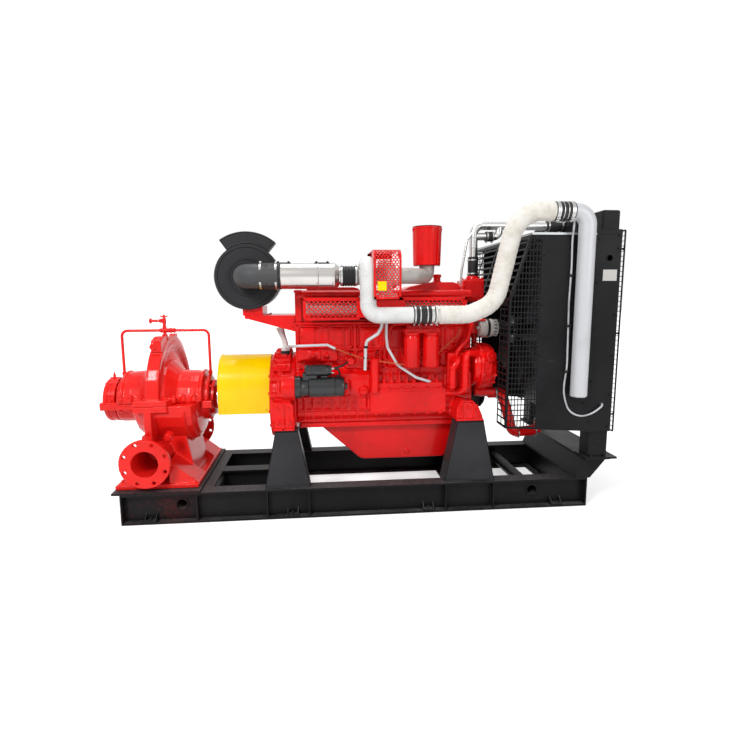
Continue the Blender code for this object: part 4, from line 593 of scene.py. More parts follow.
    def done(self, name, finish, body="set", stands=(), bevel=0.0, cast=None, angle=35.0, sheet=0.0):
        bmesh.ops.recalc_face_normals(self.mesh, faces=self.mesh.faces)
        bmesh.ops.translate(self.mesh, vec=(skidShift, 0, 0), verts=self.mesh.verts)
        mesh = bpy.data.meshes.new(name)
        self.mesh.to_mesh(mesh)
        self.mesh.free()
        piece = bpy.data.objects.new(name, mesh)
        bpy.context.scene.collection.objects.link(piece)
        if sheet:
            skin = piece.modifiers.new("thickness", "SOLIDIFY")
            skin.thickness = sheet
            skin.offset = 0.0
        if cast:
            castSkin(piece, *cast)
        else:
            mesh.shade_smooth()
            mesh.set_sharp_from_angle(angle=math.radians(angle))
        if bevel:
            edge = piece.modifiers.new("softEdges", "BEVEL")
            edge.width, edge.segments = bevel, 2
            edge.limit_method, edge.angle_limit = "ANGLE", math.radians(angle)
            edge.harden_normals = True
        if bevel or sheet:
            applySteps(piece)
        piece.data.materials.clear()
        piece.data.materials.append(finishes[finish])
        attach(piece, body)
        if stands:
            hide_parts(*stands)
        return piece


def applySteps(piece):
    graph = bpy.context.evaluated_depsgraph_get()
    made = bpy.data.meshes.new_from_object(piece.evaluated_get(graph))
    piece.modifiers.clear()
    piece.data = made


def castSkin(piece, grain, rounds, keep):
    # Merges what overlaps into one skin with the soft inner and outer corners of a casting
    skin = piece.modifiers.new("castSkin", "REMESH")
    skin.mode = "VOXEL"
    skin.voxel_size = grain
    soft = piece.modifiers.new("softCorners", "SMOOTH")
    soft.factor, soft.iterations = 0.5, rounds
    thin = piece.modifiers.new("fewerFaces", "DECIMATE")
    thin.ratio = keep
    applySteps(piece)
    piece.data.shade_smooth()


def circleAt(centre, radius, count, axis="X", start=0.0):
    spots = []
    for n in range(count):
        t = math.radians(start + 360 * n / count)
        u, v = radius * math.cos(t), radius * math.sin(t)
        shift = {"X": (0, u, v), "Y": (u, 0, v), "Z": (u, v, 0)}[axis]
        spots.append(tuple(c + s for c, s in zip(centre, shift)))
    return spots


# Pump

pump = {
    "shaftZ": 0.66,
    "voluteX": -1.215,
    "voluteY": 0.088,
    "voluteZ": 0.690,
    "rim": 0.357,
    "rimHalf": 0.038,
    "barrelLeft": -1.44,
    "barrelRight": -0.955,
    "barrel": 0.173,
    "flangeTop": 0.696,
    "flangeLow": 0.624,
    "portX": -1.237,
    "portZ": 0.357,
    "grain": 0.0036,
}


def makeUpperCasing(s):
    form = Form()
    form.copyOf("upper_casing")
    centre = (s["voluteY"], s["voluteZ"])
    for side in (-1, 1):
        edge = arcOf(centre, s["rim"] - 0.004, -3, 183, 40)
        form.pipe(inX(s["voluteX"] + side * (s["rimHalf"] - 0.006), edge), 0.0055, 8)
        dish = arcOf(centre, s["rim"] - 0.062, 4, 176, 36)
        form.pipe(inX(s["voluteX"] + side * 0.034, dish), 0.005, 8)
    for x in (s["barrelLeft"] + 0.012, s["barrelRight"] - 0.012):
        form.pipe(inX(x, arcOf((0, s["shaftZ"]), s["barrel"] - 0.004, 2, 178, 30)), 0.011, 8)
    for x in (s["barrelLeft"] + 0.062, s["barrelRight"] - 0.075):
        form.pipe(inX(x, arcOf((0, s["shaftZ"]), s["barrel"] - 0.002, 2, 178, 30)), 0.004, 8)
    # Pads under the nuts, and a seat under the lifting eye
    for x, y in nutPlaces:
        form.drum((x, y, s["shaftZ"] + 0.01), (x, y, s["flangeTop"] + 0.004), 0.019, sides=16)
    form.drum((-1.228, -0.155, 1.0), (-1.228, -0.162, 1.0), 0.02, sides=16)
    form.done("upperCasting", "pump_red", stands=["upper_casing"], cast=(s["grain"], 5, 0.42))


def makeLowerCasing(s):
    form = Form()
    form.copyOf("lower_casing")
    for x in (s["barrelLeft"] + 0.17, s["barrelRight"] - 0.09):
        form.pipe(inX(x, arcOf((0, s["shaftZ"]), 0.262, 188, 352, 40)), 0.006, 8)
    form.block((-1.258, -0.30, 0.47), (-1.218, -0.27, 0.63))
    form.drum((-1.13, -0.25, 0.49), (-1.13, -0.30, 0.475), 0.026, sides=20)
    for x, y in ((-1.39, -0.318), (-0.995, -0.318), (-1.39, 0.318), (-0.995, 0.318)):
        form.drum((x, y, 0.205), (x, y, 0.2225), 0.028, sides=20)
    for side in (-1, 1):
        low, high = sorted((side * 0.12, side * 0.168))
        form.block((-0.957, low, 0.622), (-0.900, high, 0.668))
        form.block((-1.555, low, 0.622), (-1.44, high, 0.668))
    form.done("lowerCasting", "pump_red", stands=["lower_casing"], cast=(s["grain"], 4, 0.36))


nearNuts = [(-1.425, -0.181), (-1.365, -0.181), (-1.296, -0.252), (-1.296, -0.205)]
nearNuts += [(-1.150, -0.250), (-1.112, -0.208), (-1.062, -0.178), (-1.000, -0.178)]
farNuts = [(-1.425, 0.181), (-1.365, 0.181), (-1.292, 0.44), (-1.292, 0.33), (-1.140, 0.43), (-1.135, 0.33)]
farNuts += [(-1.055, 0.176), (-1.000, 0.176)]
nutPlaces = nearNuts + farNuts


def makePumpFasteners(s):
    form = Form()
    for x, y in nutPlaces:
        form.bolt((x, y, s["flangeTop"] + 0.0035), (0, 0, 1), 0.0135, stud=0.006)
        form.bolt((x, y, s["flangeLow"]), (0, 0, -1), 0.012)
    for x, y in ((-1.39, -0.318), (-0.995, -0.318), (-1.39, 0.318), (-0.995, 0.318)):
        form.bolt((x, y, 0.222), (0, 0, 1), 0.017, stud=0.008)
    # A socket plug in the lifting pad, a drain plug, and the taps on the neck
    form.bolt((-1.222, -0.1545, 1.0), (0, -1, 0), 0.008)
    form.bolt((-1.13, -0.299, 0.4755), (0, -0.96, -0.28), 0.014)
    form.bolt((s["portX"] + 0.01, -0.30, 0.452), (0, -0.2, 0.98), 0.010)
    shaft = s["shaftZ"]
    right = -0.888
    form.bolts(circleAt((right, 0, shaft), 0.091, 6, start=30), (1, 0, 0), 0.008)
    form.bolts(circleAt((-1.561, 0, shaft), 0.073, 6, start=30), (-1, 0, 0), 0.007)
    form.bolt((-0.925, -0.07, 0.545), (0.1, -0.2, -1), 0.013)
    form.bolt((-0.94, -0.145, 0.668), (0, 0, 1), 0.010)
    form.bolt((-1.50, -0.145, 0.668), (0, 0, 1), 0.010)
    for x, reach in ((-1.472, -0.022), (-0.924, 0.02)):
        for y, z in circleAt2((0, shaft), 0.118, 4, 45):
            form.drum((x - 0.5 * reach, y, z), (x + reach, y, z), 0.006, sides=10)
            form.bolt((x, y, z), (math.copysign(1, reach), 0, 0), 0.009)
    form.done("pumpFasteners", "pump_red", bevel=0.0)


def circleAt2(centre, radius, count, start=0.0):
    turns = [math.radians(start + 360 * n / count) for n in range(count)]
    return [(centre[0] + radius * math.cos(t), centre[1] + radius * math.sin(t)) for t in turns]


def makeGlands(s):
    form = Form()
    shaft = s["shaftZ"]
    for x, way in ((-1.468, -1), (-0.927, 1)):
        follower = [(0.036, 0.0), (0.128, 0.0), (0.131, 0.003), (0.131, 0.007), (0.128, 0.010), (0.066, 0.010)]
        follower += [(0.060, 0.018), (0.036, 0.018)]
        form.lathe(follower, (x - way * 0.006, 0, shaft), (way, 0, 0), 48, closed=True)
    form.done("glandFollowers", "pump_red")


def makeBearings(s):
    shaft = s["shaftZ"]
    left = Form()
    profile = [
        (0, -0.012), (0.060, -0.012), (0.064, -0.010), (0.064, -0.006), (0.090, -0.006), (0.094, -0.003),
        (0.100, 0.0), (0.122, 0.002), (0.130, 0.006), (0.1345, 0.012), (0.136, 0.018), (0.136, 0.030),
        (0.1325, 0.034), (0.1325, 0.050), (0.136, 0.054), (0.136, 0.072), (0.134, 0.075), (0.036, 0.075),
        (0.036, 0.022), (0, 0.022),
    ]
    left.lathe(profile, (-1.555, 0, shaft), (1, 0, 0), 64)
    for turn in (20, 55, 90, 125, 160):
        t = math.radians(turn)
        y, z = 0.134 * math.cos(t), shaft + 0.134 * math.sin(t)
        left.drum((-1.545, y, z), (-1.484, y, z), 0.006, sides=10)
    left.drum((-1.52, 0, shaft + 0.13), (-1.52, 0, shaft + 0.158), 0.008, sides=6)
    left.drum((-1.52, 0, shaft + 0.155), (-1.52, 0, shaft + 0.172), 0.005, 0.0035, sides=12)
    left.done("leftBearing", "pump_red", stands=["left_bearing_housing"], angle=28)
    right = Form()
    profile = [
        (0.034, 0.0), (0.106, 0.0), (0.110, 0.003), (0.110, 0.018), (0.107, 0.021), (0.078, 0.022),
        (0.074, 0.026), (0.070, 0.032), (0.034, 0.032),
    ]
    right.lathe(profile, (-0.920, 0, shaft), (1, 0, 0), 64, closed=True)
    right.done("rightBearing", "pump_red", stands=["right_bearing_housing"], angle=28)


def makeShaftDetail(s):
    # Bolts of the coupling's two halves turn with the shaft
    form = Form()
    shaft = s["shaftZ"]
    for x, way, reach in ((-0.837, 1, 0.078), (-0.787, -1, 0.070)):
        form.bolts(circleAt((x, 0, shaft), reach, 8), (way, 0, 0), 0.009)
    form.done("couplingBolts", "bare_steel", body="drive_shaft")
    key = Form()
    key.block((-0.735, -0.007, shaft + 0.045), (-0.70, 0.007, shaft + 0.053))
    key.done("couplingKey", "bare_steel", body="drive_shaft", bevel=0.001)


flush = {"x": -1.20, "level": 1.087, "left": -1.459, "right": -0.933, "foot": 0.8006, "radius": 0.0085}


def makeFlushPipe(s):
    form = Form()
    x, level, radius = s["x"], s["level"], s["radius"]
    base, top = 1.0433, 1.165
    for end in (s["left"], s["right"]):
        route = [(x, 0, level), (end, 0, level), (end, 0, s["foot"] + 0.02)]
        form.pipe(roundedPath(route, 0.035, 8), radius, 16)
        out = 0.012 if end > x else -0.012
        for place, ahead in (((x + out, 0, level), (out, 0, 0)), ((end, 0, s["foot"] + 0.012), (0, 0, 1))):
            nut = [(0.0135, 0.0), (0.0135, 0.013), (0.0115, 0.016), (0.0095, 0.024), (0, 0.024)]
            form.lathe(nut, place, ahead, 6)
        form.lathe([(0.012, 0), (0.012, 0.014), (0, 0.014)], (end, 0, s["foot"]), (0, 0, 1), 6)
    form.drum((x - 0.014, 0, level), (x + 0.014, 0, level), 0.0125, sides=20, bevel=0.002)
    form.drum((x, 0, base), (x, 0, base + 0.02), 0.0175, sides=6, bevel=0.002)
    form.drum((x, 0, base + 0.018), (x, 0, level), 0.0105, sides=20)
    form.drum((x, 0, level), (x, 0, level + 0.028), 0.0125, sides=6, bevel=0.0015)
    body = [(0.0095, 0), (0.0095, 0.014), (0.0125, 0.020), (0.0125, 0.044), (0.0098, 0.049), (0.0098, 0.0525)]
    body += [(0.0055, 0.0525), (0.0055, 0.040), (0, 0.040)]
    form.lathe(body, (x, 0, top - 0.0525), (0, 0, 1), 24)
    branch = top - 0.018
    tip = x - 0.088
    form.drum((x, 0, branch), (tip + 0.006, 0, branch), 0.008, sides=18)
    form.drum((tip + 0.012, 0, branch), (tip, 0, branch), 0.0165, sides=24, bevel=0.003)
    form.drum((x - 0.012, 0, branch), (x - 0.028, 0, branch), 0.0125, sides=6, bevel=0.0015)
    union = [(0.011, 0), (0.0155, 0.002), (0.0155, 0.016), (0.0125, 0.018), (0.0125, 0.026), (0.0155, 0.028)]
    union += [(0.0155, 0.036), (0.011, 0.038), (0, 0.038)]
    form.lathe(union, (x + 0.028, 0, level), (1, 0, 0), 6)
    form.done("flushPipe", "pump_red", stands=["flush_pipe"], angle=32)
    wing = Form()
    wing.drum((x, 0, top - 0.009), (x, 0, top + 0.012), 0.0042, sides=14)
    wing.lathe([(0.0075, 0.0009), (0.0078, 0.010), (0.006, 0.018), (0, 0.0195)], (x, 0, top), (0, 0, 1), 20)
    bar = [(x + dx, 0, top + dz) for dx, dz in ((-0.021, 0.009), (-0.012, 0.0065), (0, 0.006), (0.012, 0.0065))]
    bar.append((x + 0.021, 0, top + 0.009))
    wing.pipe(bar, 0.0045, 12, widths=[1.15, 0.85, 0.9, 0.85, 1.15])
    wing.done("ventWing", "pump_red", body="vent_handle", stands=["vent_cock_handle"])


guard = {"left": -0.858, "right": -0.5453, "radius": 0.19, "centre": 0.74, "low": 0.585, "sheet": 0.003}


def makeGuard(s):
    form = Form()
    centre, radius, low = (0, s["centre"]), s["radius"], s["low"]
    outer = [(radius, low)] + arcOf(centre, radius, 0, 180, 72) + [(-radius, low)]
    inner = [(-radius + s["sheet"], low)] + arcOf(centre, radius - s["sheet"], 180, 0, 72)
    inner.append((radius - s["sheet"], low))
    form.slab(outer + inner, s["left"], s["right"], "X")
    # A rolled edge at the pump's end, and a lip along both feet
    rolled = [(radius - 0.002, low)] + arcOf(centre, radius - 0.002, 0, 180, 60) + [(-radius + 0.002, low)]
    form.pipe(inX(s["left"] + 0.004, rolled), 0.0045, 8)
    for side in (-1, 1):
        y = side * (radius - 0.009)
        form.block((s["left"] + 0.004, y - 0.007, low), (s["right"] - 0.002, y + 0.007, low + 0.003))
    form.done("guardCover", "guard_yellow", stands=["coupling_guard"], angle=30)
    screws = Form()
    for x in (s["left"] + 0.04, s["right"] - 0.03):
        for side in (-1, 1):
            place = (x, side * (radius + 0.0002), low + 0.028)
            screws.bolt(place, (0, side, 0), 0.007)
    screws.done("guardScrews", "guard_yellow")


makeUpperCasing(pump)
makeLowerCasing(pump)
makeGlands(pump)
makePumpFasteners(pump)
makeBearings(pump)
makeShaftDetail(pump)
makeFlushPipe(flush)
makeGuard(guard)
print("pump made")


# Engine

engine = {
    "housingLeft": -0.545,
    "housing": 0.293,
    "housingLow": 0.43,
    "left": -0.385,
    "right": 0.69,
    "low": 0.53,
    "half": 0.25,
    "waist": 0.82,
    "upperHalf": 0.20,
    "top": 1.14,
    "headTop": 1.28,
    "headHalf": 0.165,
    "cylinders": 6,
    "grain": 0.0045,
}


def makeFlywheelHousing(s):
    form = Form()
    form.copyOf("flywheel_housing")
    left, radius, shaft = s["housingLeft"], s["housing"], 0.66

    def around(turn, reach):
        t = math.radians(turn)
        return -reach * math.cos(t), shaft + reach * math.sin(t)

    # Two wide ribs along the casting's near and far sides
    for turn in (10.5, 31):
        for side in (1, -1):
            y, z = around(turn, radius - 0.010)
            form.drum((left + 0.008, side * y, z), (s["left"] - 0.006, side * y, z), 0.020, sides=16)
    for turn in (58, 70, 82, 98, 110, 122):
        y, z = around(turn, radius - 0.004)
        form.drum((left + 0.03, y, z), (s["left"] - 0.03, y, z), 0.017, sides=12)
    for side in (1, -1):
        for x in (-0.487, -0.425):
            form.drum((x, side * 0.36, 0.578), (x, side * 0.380, 0.578), 0.020, sides=16)
    rim = arcOf((0, shaft), radius - 0.006, -40, 220, 60)
    form.pipe(inX(left + 0.060, rim), 0.010, 10)
    form.done("flywheelCasting", "engine_red", stands=["flywheel_housing"], cast=(s["grain"], 5, 0.36))
    # Stacked pads above the ribs, each with a smaller one on it
    pads = Form()
    for side in (1, -1):
        for first, last, reach, start, end in ((40, 53, 0.007, -0.522, -0.418), (43, 50, 0.013, -0.500, -0.440),
                                               (57, 76, 0.007, -0.522, -0.418), (61, 69, 0.013, -0.500, -0.440)):
            steps = [first + (last - first) * n / 6 for n in range(7)]
            outline = [around(turn, radius + reach) for turn in steps]
            outline += [around(turn, radius - 0.015) for turn in reversed(steps)]
            pads.slab([(side * y, z) for y, z in outline], start, end, "X")
    pads.done("housingPads", "engine_red", bevel=0.0032)
    screws = Form()
    for y, z in circleAt2((0, shaft), 0.243, 14, 12):
        if z > 0.47:
            screws.bolt((left + 0.0006, y, z), (-1, 0, 0), 0.0095)
    for side in (1, -1):
        for x in (-0.487, -0.425):
            screws.bolt((x, side * 0.380, 0.578), (0, side, 0), 0.0135)
            screws.bolt((x, side * 0.3755, 0.655), (0, side, 0), 0.0105)
    screws.done("flywheelBolts", "engine_red")
    faces = Form()
    for side in (1, -1):
        low, high = sorted((side * 0.366, side * 0.386))
        faces.block((-0.460, low, 0.528), (-0.450, high, 0.683))
        faces.block((-0.521, low, 0.5265), (-0.392, high, 0.539))
        for x in (-0.5205, -0.399):
            outline = [(side * 0.366, 0.5265), (side * 0.386, 0.5265), (side * 0.386, 0.56), (side * 0.3755, 0.605)]
            outline.append((side * 0.366, 0.605))
            faces.slab(outline, x, x + 0.006, "X")
        # The front mounts: a foot, a web and gussets on each side
        low, high = sorted((side * 0.27, side * 0.3855))
        faces.block((0.5605, low, 0.5565), (0.7235, high, 0.5675))
        web = [(0.577, 0.570), (0.586, 0.630), (0.602, 0.674), (0.655, 0.672), (0.676, 0.640), (0.706, 0.570)]
        faces.pipe([(x, side * 0.3785, z) for x, z in web], 0.0060, 10)
        for x in (0.606, 0.668):
            outline = [(side * 0.30, 0.567), (side * 0.3855, 0.567), (side * 0.3855, 0.58), (side * 0.381, 0.665)]
            outline.append((side * 0.30, 0.66))
            faces.slab(outline, x - 0.004, x + 0.004, "X")
        for x in (0.578, 0.640, 0.707):
            faces.bolt((x, side * 0.345, 0.5675), (0, 0, 1), 0.011, stud=0.005)
        faces.bolt((0.634, side * 0.3777, 0.636), (0, side, 0), 0.011)
    faces.done("engineMounts", "engine_red", bevel=0.0018)


def makeBlock(s):
    form = Form()
    form.copyOf("engine_block")
    left, right, low, half, upper = s["left"], s["right"], s["low"], s["half"], s["upperHalf"]
    pitch = (right - left) / s["cylinders"]
    for side in (1, -1):
        def bulk(x0, x1, z0, z1, face, proud):
            y0, y1 = side * -(face - 0.02), side * -(face + proud)
            form.block((x0, min(y0, y1), z0), (x1, max(y0, y1), z1))

        # Ledges of the crankcase and the gasket face
        bulk(left + 0.004, right - 0.06, 0.609, 0.619, half, 0.009)
        bulk(left + 0.004, right - 0.13, 0.688, 0.697, half, 0.008)
        bulk(left + 0.002, right - 0.002, low + 0.0005, low + 0.014, half - 0.03, 0.012)
        bulk(left + 0.002, right - 0.004, s["top"] - 0.016, s["top"] - 0.0005, upper, 0.016)
        for x in (-0.372, -0.335, -0.286, -0.225, -0.165, -0.115, -0.07, -0.02, 0.03):
            bulk(x - 0.004, x + 0.004, 0.615, 0.692, half, 0.006)
        # A raised frame and an inner pad for each cylinder's water jacket
        for n in range(s["cylinders"]):
            x0, x1 = left + n * pitch + 0.024, left + (n + 1) * pitch - 0.024
            bulk(x0, x1, 0.985, 1.108, upper, 0.012)
            bulk(x0 + 0.018, x1 - 0.018, 1.003, 1.092, upper, 0.017)
            bulk(x0 + 0.03, x1 - 0.03, 0.885, 0.955, upper, 0.010)
        bulk(left + 0.01, right - 0.01, 0.965, 0.977, upper, 0.016)
        bulk(left + 0.01, -0.02, 0.818, 0.834, half - 0.012, 0.014)
        # The cam cover on the near side, with its round plug
        if side > 0:
            bulk(-0.372, -0.135, 0.908, 0.985, upper + 0.01, 0.030)
            bulk(-0.352, -0.235, 0.918, 0.975, upper + 0.03, 0.020)
            for x, z, r in ((-0.283, 0.948, 0.024), (-0.20, 0.945, 0.015), (-0.055, 0.905, 0.024)):
                form.drum((x, -upper, z), (x, -upper - 0.058, z), r, sides=20)
            bulk(-0.09, 0.05, 0.86, 0.93, upper + 0.01, 0.020)
            # The injection pump's barrel, its feet and the elements on top of it
            form.drum((0.0815, -0.305, 0.722), (0.0815, -0.305, 0.925), 0.026, sides=24)
            form.drum((0.0815, -0.305, 0.880), (0.0815, -0.305, 0.930), 0.021, sides=24)
            form.block((0.055, -0.31, 0.74), (0.108, -0.235, 0.90))
            bulk(0.11, 0.50, 0.735, 0.775, half, 0.036)
            for n in range(8):
                x = 0.142 + n * 0.046
                form.drum((x, -0.268, 0.765), (x, -0.268, 0.806), 0.013, 0.010, sides=14)
                form.drum((x, -0.268, 0.80), (x, -0.268, 0.822), 0.008, sides=10)
            bulk(0.13, 0.52, 0.80, 0.865, half - 0.03, 0.020)
            bulk(-0.06, 0.055, 0.70, 0.80, half - 0.01, 0.018)
            form.drum((0.02, -0.24, 0.727), (0.02, -0.285, 0.727), 0.028, sides=20)
            form.drum((-0.1, -0.24, 0.735), (-0.1, -0.272, 0.735), 0.016, sides=16)
            bulk(0.53, 0.672, 0.755, 0.95, upper + 0.01, 0.055)
            bulk(0.575, 0.68, 0.70, 0.83, half - 0.01, 0.03)
    # The gear case at the fan's end
    form.block((right - 0.03, -0.24, low + 0.02), (right - 0.001, 0.24, 0.93))
    form.block((right - 0.03, -0.19, 0.90), (right - 0.001, 0.19, 1.10))
    form.done("blockCasting", "engine_red", stands=["engine_block"], cast=(0.0052, 3, 0.34))
    # Sharp ribs and ledges, which the cast skin is too coarse for
    ribs = Form()
    for side in (1, -1):
        def rib(x0, x1, z0, z1, face, proud):
            y0, y1 = sorted((side * -(face - 0.004), side * -(face + proud)))
            ribs.block((x0, y0, z0), (x1, y1, z1))

        rib(left + 0.004, right - 0.07, 0.6105, 0.6175, half, 0.013)
        rib(left + 0.004, 0.04, 0.689, 0.696, half, 0.012)
        for x in (-0.335, -0.286, -0.225, -0.165, -0.115, -0.07, -0.02, 0.03):
            rib(x - 0.003, x + 0.003, 0.550, 0.690, half, 0.0095)
        for n in range(s["cylinders"]):
            x0, x1 = left + n * pitch + 0.018, left + (n + 1) * pitch - 0.018
            loop = []
            for cornerX, cornerZ, start in ((x1 - 0.024, 1.092, 0), (x0 + 0.024, 1.092, 90),
                                            (x0 + 0.024, 1.004, 180), (x1 - 0.024, 1.004, 270)):
                for turn in range(start, start + 91, 18):
                    t = math.radians(turn)
                    loop.append((cornerX + 0.024 * math.cos(t), side * -(upper + 0.0125), cornerZ + 0.024 * math.sin(t)))
            ribs.pipe(loop, 0.0055, 8, closed=True)
            if n:
                rib(x0 - 0.021, x0 - 0.015, 0.85, 1.125, upper, 0.014)
    ribs.done("blockRibs", "engine_red", bevel=0.0014)


def makeSideCover(s):
    form = Form()
    x0, x1, z0, z1, y = 0.059, 0.514, 0.595, 0.738, -0.2955
    form.block((x0 - 0.002, y - 0.003, z0 - 0.001), (x1 + 0.001, y + 0.006, z1 + 0.001))
    form.block((x0 + 0.010, y - 0.006, z0 + 0.010), (x1 - 0.010, y, z1 - 0.012))
    # Ears for the screws, which stand out past the cover's upper and lower edges
    ears = [(x0 + 0.030 + n * 0.0785, z) for n in range(6) for z in (z0 - 0.001, z1 + 0.001)]
    for x, z in ears:
        form.drum((x, y + 0.020, z), (x, y - 0.0025, z), 0.0125, sides=20)
    form.done("sideCoverFace", "engine_red", bevel=0.003)
    screws = Form()
    for x, z in ears:
        screws.bolt((x, y - 0.0025, z), (0, -1, 0), 0.0095)
    for n in range(6):
        x = x0 + 0.068 + n * 0.0755
        screws.bolt((x, -0.275, z1 + 0.0005), (0, 0, 1), 0.008, stud=0.006)
    for n in range(22):
        x = s["left"] + 0.03 + n * 0.047
        if x < 0.56:
            for side in (1, -1):
                screws.bolt((x, side * 0.213, 0.5015), (0, 0, -1), 0.0065)
    for n in range(9):
        x = s["left"] + 0.03 + n * 0.052
        screws.bolt((x, -0.2585, 0.654), (0, -1, 0), 0.0055)
    for x, z in ((-0.352, 1.125), (-0.352, 1.06), (-0.36, 0.87), (-0.33, 0.87), (-0.25, 0.87)):
        screws.bolt((x, -0.216, z), (0, -1, 0), 0.0085)
    for x, z in ((-0.358, 0.96), (-0.358, 0.92), (-0.146, 0.975), (-0.146, 0.918)):
        screws.bolt((x, -0.2395, z), (0, -1, 0), 0.007)
    screws.bolt((-0.283, -0.258, 0.948), (0, -1, 0), 0.015)
    screws.bolt((0.02, -0.285, 0.727), (0, -1, 0), 0.016)
    for x, z in circleAt2((0.60, 0.772), 0.05, 5, 20):
        screws.bolt((x, -0.27, z), (0, -1, 0), 0.007)
    screws.done("blockBolts", "engine_red")


def makeSmallPipes():
    red = Form()
    # Injector pipes from the pump up to the heads, and fuel pipes round the filters
    for n in range(6):
        x0, x1 = 0.142 + n * 0.046, -0.27 + n * 0.172
        route = [(x0, -0.268, 0.82), (x0, -0.268, 0.85 + 0.006 * n), (x1, -0.222 - 0.002 * n, 0.968 + 0.004 * n)]
        route += [(x1, -0.222 - 0.002 * n, 1.10)]
        red.pipe(roundedPath(route, 0.03, 4), 0.0036, 8)
    route = [(0.297, -0.30, 1.105), (0.297, -0.30, 1.128), (0.20, -0.235, 1.125), (0.12, -0.232, 0.95)]
    route += [(0.12, -0.268, 0.84)]
    red.pipe(roundedPath(route, 0.025, 5), 0.006, 10)
    # The falling water pipe, and the two bent pipes beside the pump
    fall = [(0.676, -0.262, 1.150), (0.672, -0.265, 1.11), (0.648, -0.268, 1.03), (0.587, -0.268, 0.957)]
    fall += [(0.587, -0.262, 0.91)]
    red.pipe(roundedPath(fall, 0.04, 6), 0.0145, 16)
    bent = [(0.612, -0.25, 0.915), (0.578, -0.325, 0.912), (0.545, -0.33, 0.86), (0.545, -0.33, 0.745)]
    bent += [(0.548, -0.262, 0.722)]
    red.pipe(roundedPath(bent, 0.035, 6), 0.0195, 20)
    for z in (0.885, 0.77):
        red.lathe([(0.0245, 0), (0.0245, 0.012), (0, 0.012)], (0.545, -0.33, z - 0.02), (0, 0, 1), 24)
    right = [(0.70, -0.255, 0.95), (0.622, -0.335, 0.95), (0.622, -0.335, 0.724), (0.574, -0.28, 0.71)]
    right.append((0.516, -0.28, 0.71))
    red.pipe(roundedPath(right, 0.04, 7), 0.021, 20)
    for z in (0.90, 0.78):
        red.lathe([(0.026, 0), (0.026, 0.012), (0, 0.012)], (0.622, -0.335, z - 0.02), (0, 0, 1), 24)
    for x, z in ((0.62, 0.905), (0.66, 0.905), (0.655, 0.99)):
        red.bolt((x, -0.262, z), (0, -1, 0), 0.008)
    red.done("waterAndFuelPipes", "engine_red")
    hose = Form()
    breather = [(0.114, -0.40, 1.145), (0.114, -0.38, 1.120), (0.095, -0.36, 1.078), (0.0315, -0.345, 1.036)]
    breather += [(0.026, -0.33, 0.99), (0.0234, -0.32, 0.862)]
    hose.pipe(roundedPath(breather, 0.03, 5), 0.0095, 14)
    drain = [(0.1435, -0.36, 1.145), (0.147, -0.33, 1.06), (0.1585, -0.30, 0.992), (0.2185, -0.30, 0.886)]
    drain += [(0.33, -0.30, 0.81), (0.416, -0.285, 0.780), (0.425, -0.262, 0.777)]
    hose.pipe(roundedPath(drain, 0.06, 5), 0.0085, 14)
    cream = [(-0.4300, -0.085, 0.985), (-0.415, -0.15, 0.990), (-0.39, -0.262, 1.003), (-0.30, -0.268, 1.006), (-0.194, -0.27, 1.0085), (-0.150, -0.27, 0.986)]
    hose.pipe(roundedPath(cream, 0.03, 4), 0.0085, 14)
    hose.done("drainHoses", "pipe_grey")
    # The breather fitting on top of the flywheel housing, with its black foot
    foot = Form()
    foot.lathe([(0.042, 0), (0.042, 0.008), (0.034, 0.016), (0.026, 0.024), (0, 0.024)], (-0.452, -0.08, 0.934), (0, 0, 1), 28)
    foot.done("breatherFoot", "black_rubber")
    fitting = Form()
    fitting.lathe([(0.026, 0), (0.029, 0.004), (0.029, 0.022), (0.020, 0.032), (0, 0.032)], (-0.452, -0.08, 0.957), (0, 0, 1), 6)
    fitting.pipe(roundedPath([(-0.452, -0.08, 0.978), (-0.455, -0.08, 1.01), (-0.482, -0.08, 1.100)], 0.02, 4), 0.0175, 16)
    fitting.drum((-0.468, -0.08, 1.050), (-0.484, -0.08, 1.105), 0.0185, 0.025, sides=20)
    fitting.done("breatherFitting", "pipe_cast")
    wire = Form()
    run = [(-0.152, -0.27, 0.987), (-0.06, -0.275, 0.951), (0.0275, -0.29, 0.923), (0.15, -0.31, 0.905)]
    run += [(0.284, -0.34, 0.8885), (0.33, -0.335, 0.893)]
    wire.pipe(roundedPath(run, 0.05, 4), 0.0032, 8)
    spur = [(0.455, -0.32, 0.93), (0.47, -0.29, 0.955), (0.53, -0.262, 1.0), (0.60, -0.258, 1.06), (0.61, -0.24, 1.10)]
    wire.pipe(roundedPath(spur, 0.03, 4), 0.003, 8)
    wire.done("signalWires", "copper_wire")
    clips = Form()
    for x, y, z in ((0.0245, -0.322, 0.935), (0.0285, -0.335, 1.0)):
        clips.drum((x, y, z - 0.006), (x, y, z + 0.006), 0.0125, sides=16)
    for x, z in ((0.045, 0.945), (0.10, 0.962), (-0.06, 0.955)):
        clips.drum((x, -0.25, z), (x, -0.283, z), 0.0045, sides=8)
    clips.done("pipeClips", "satin_black")


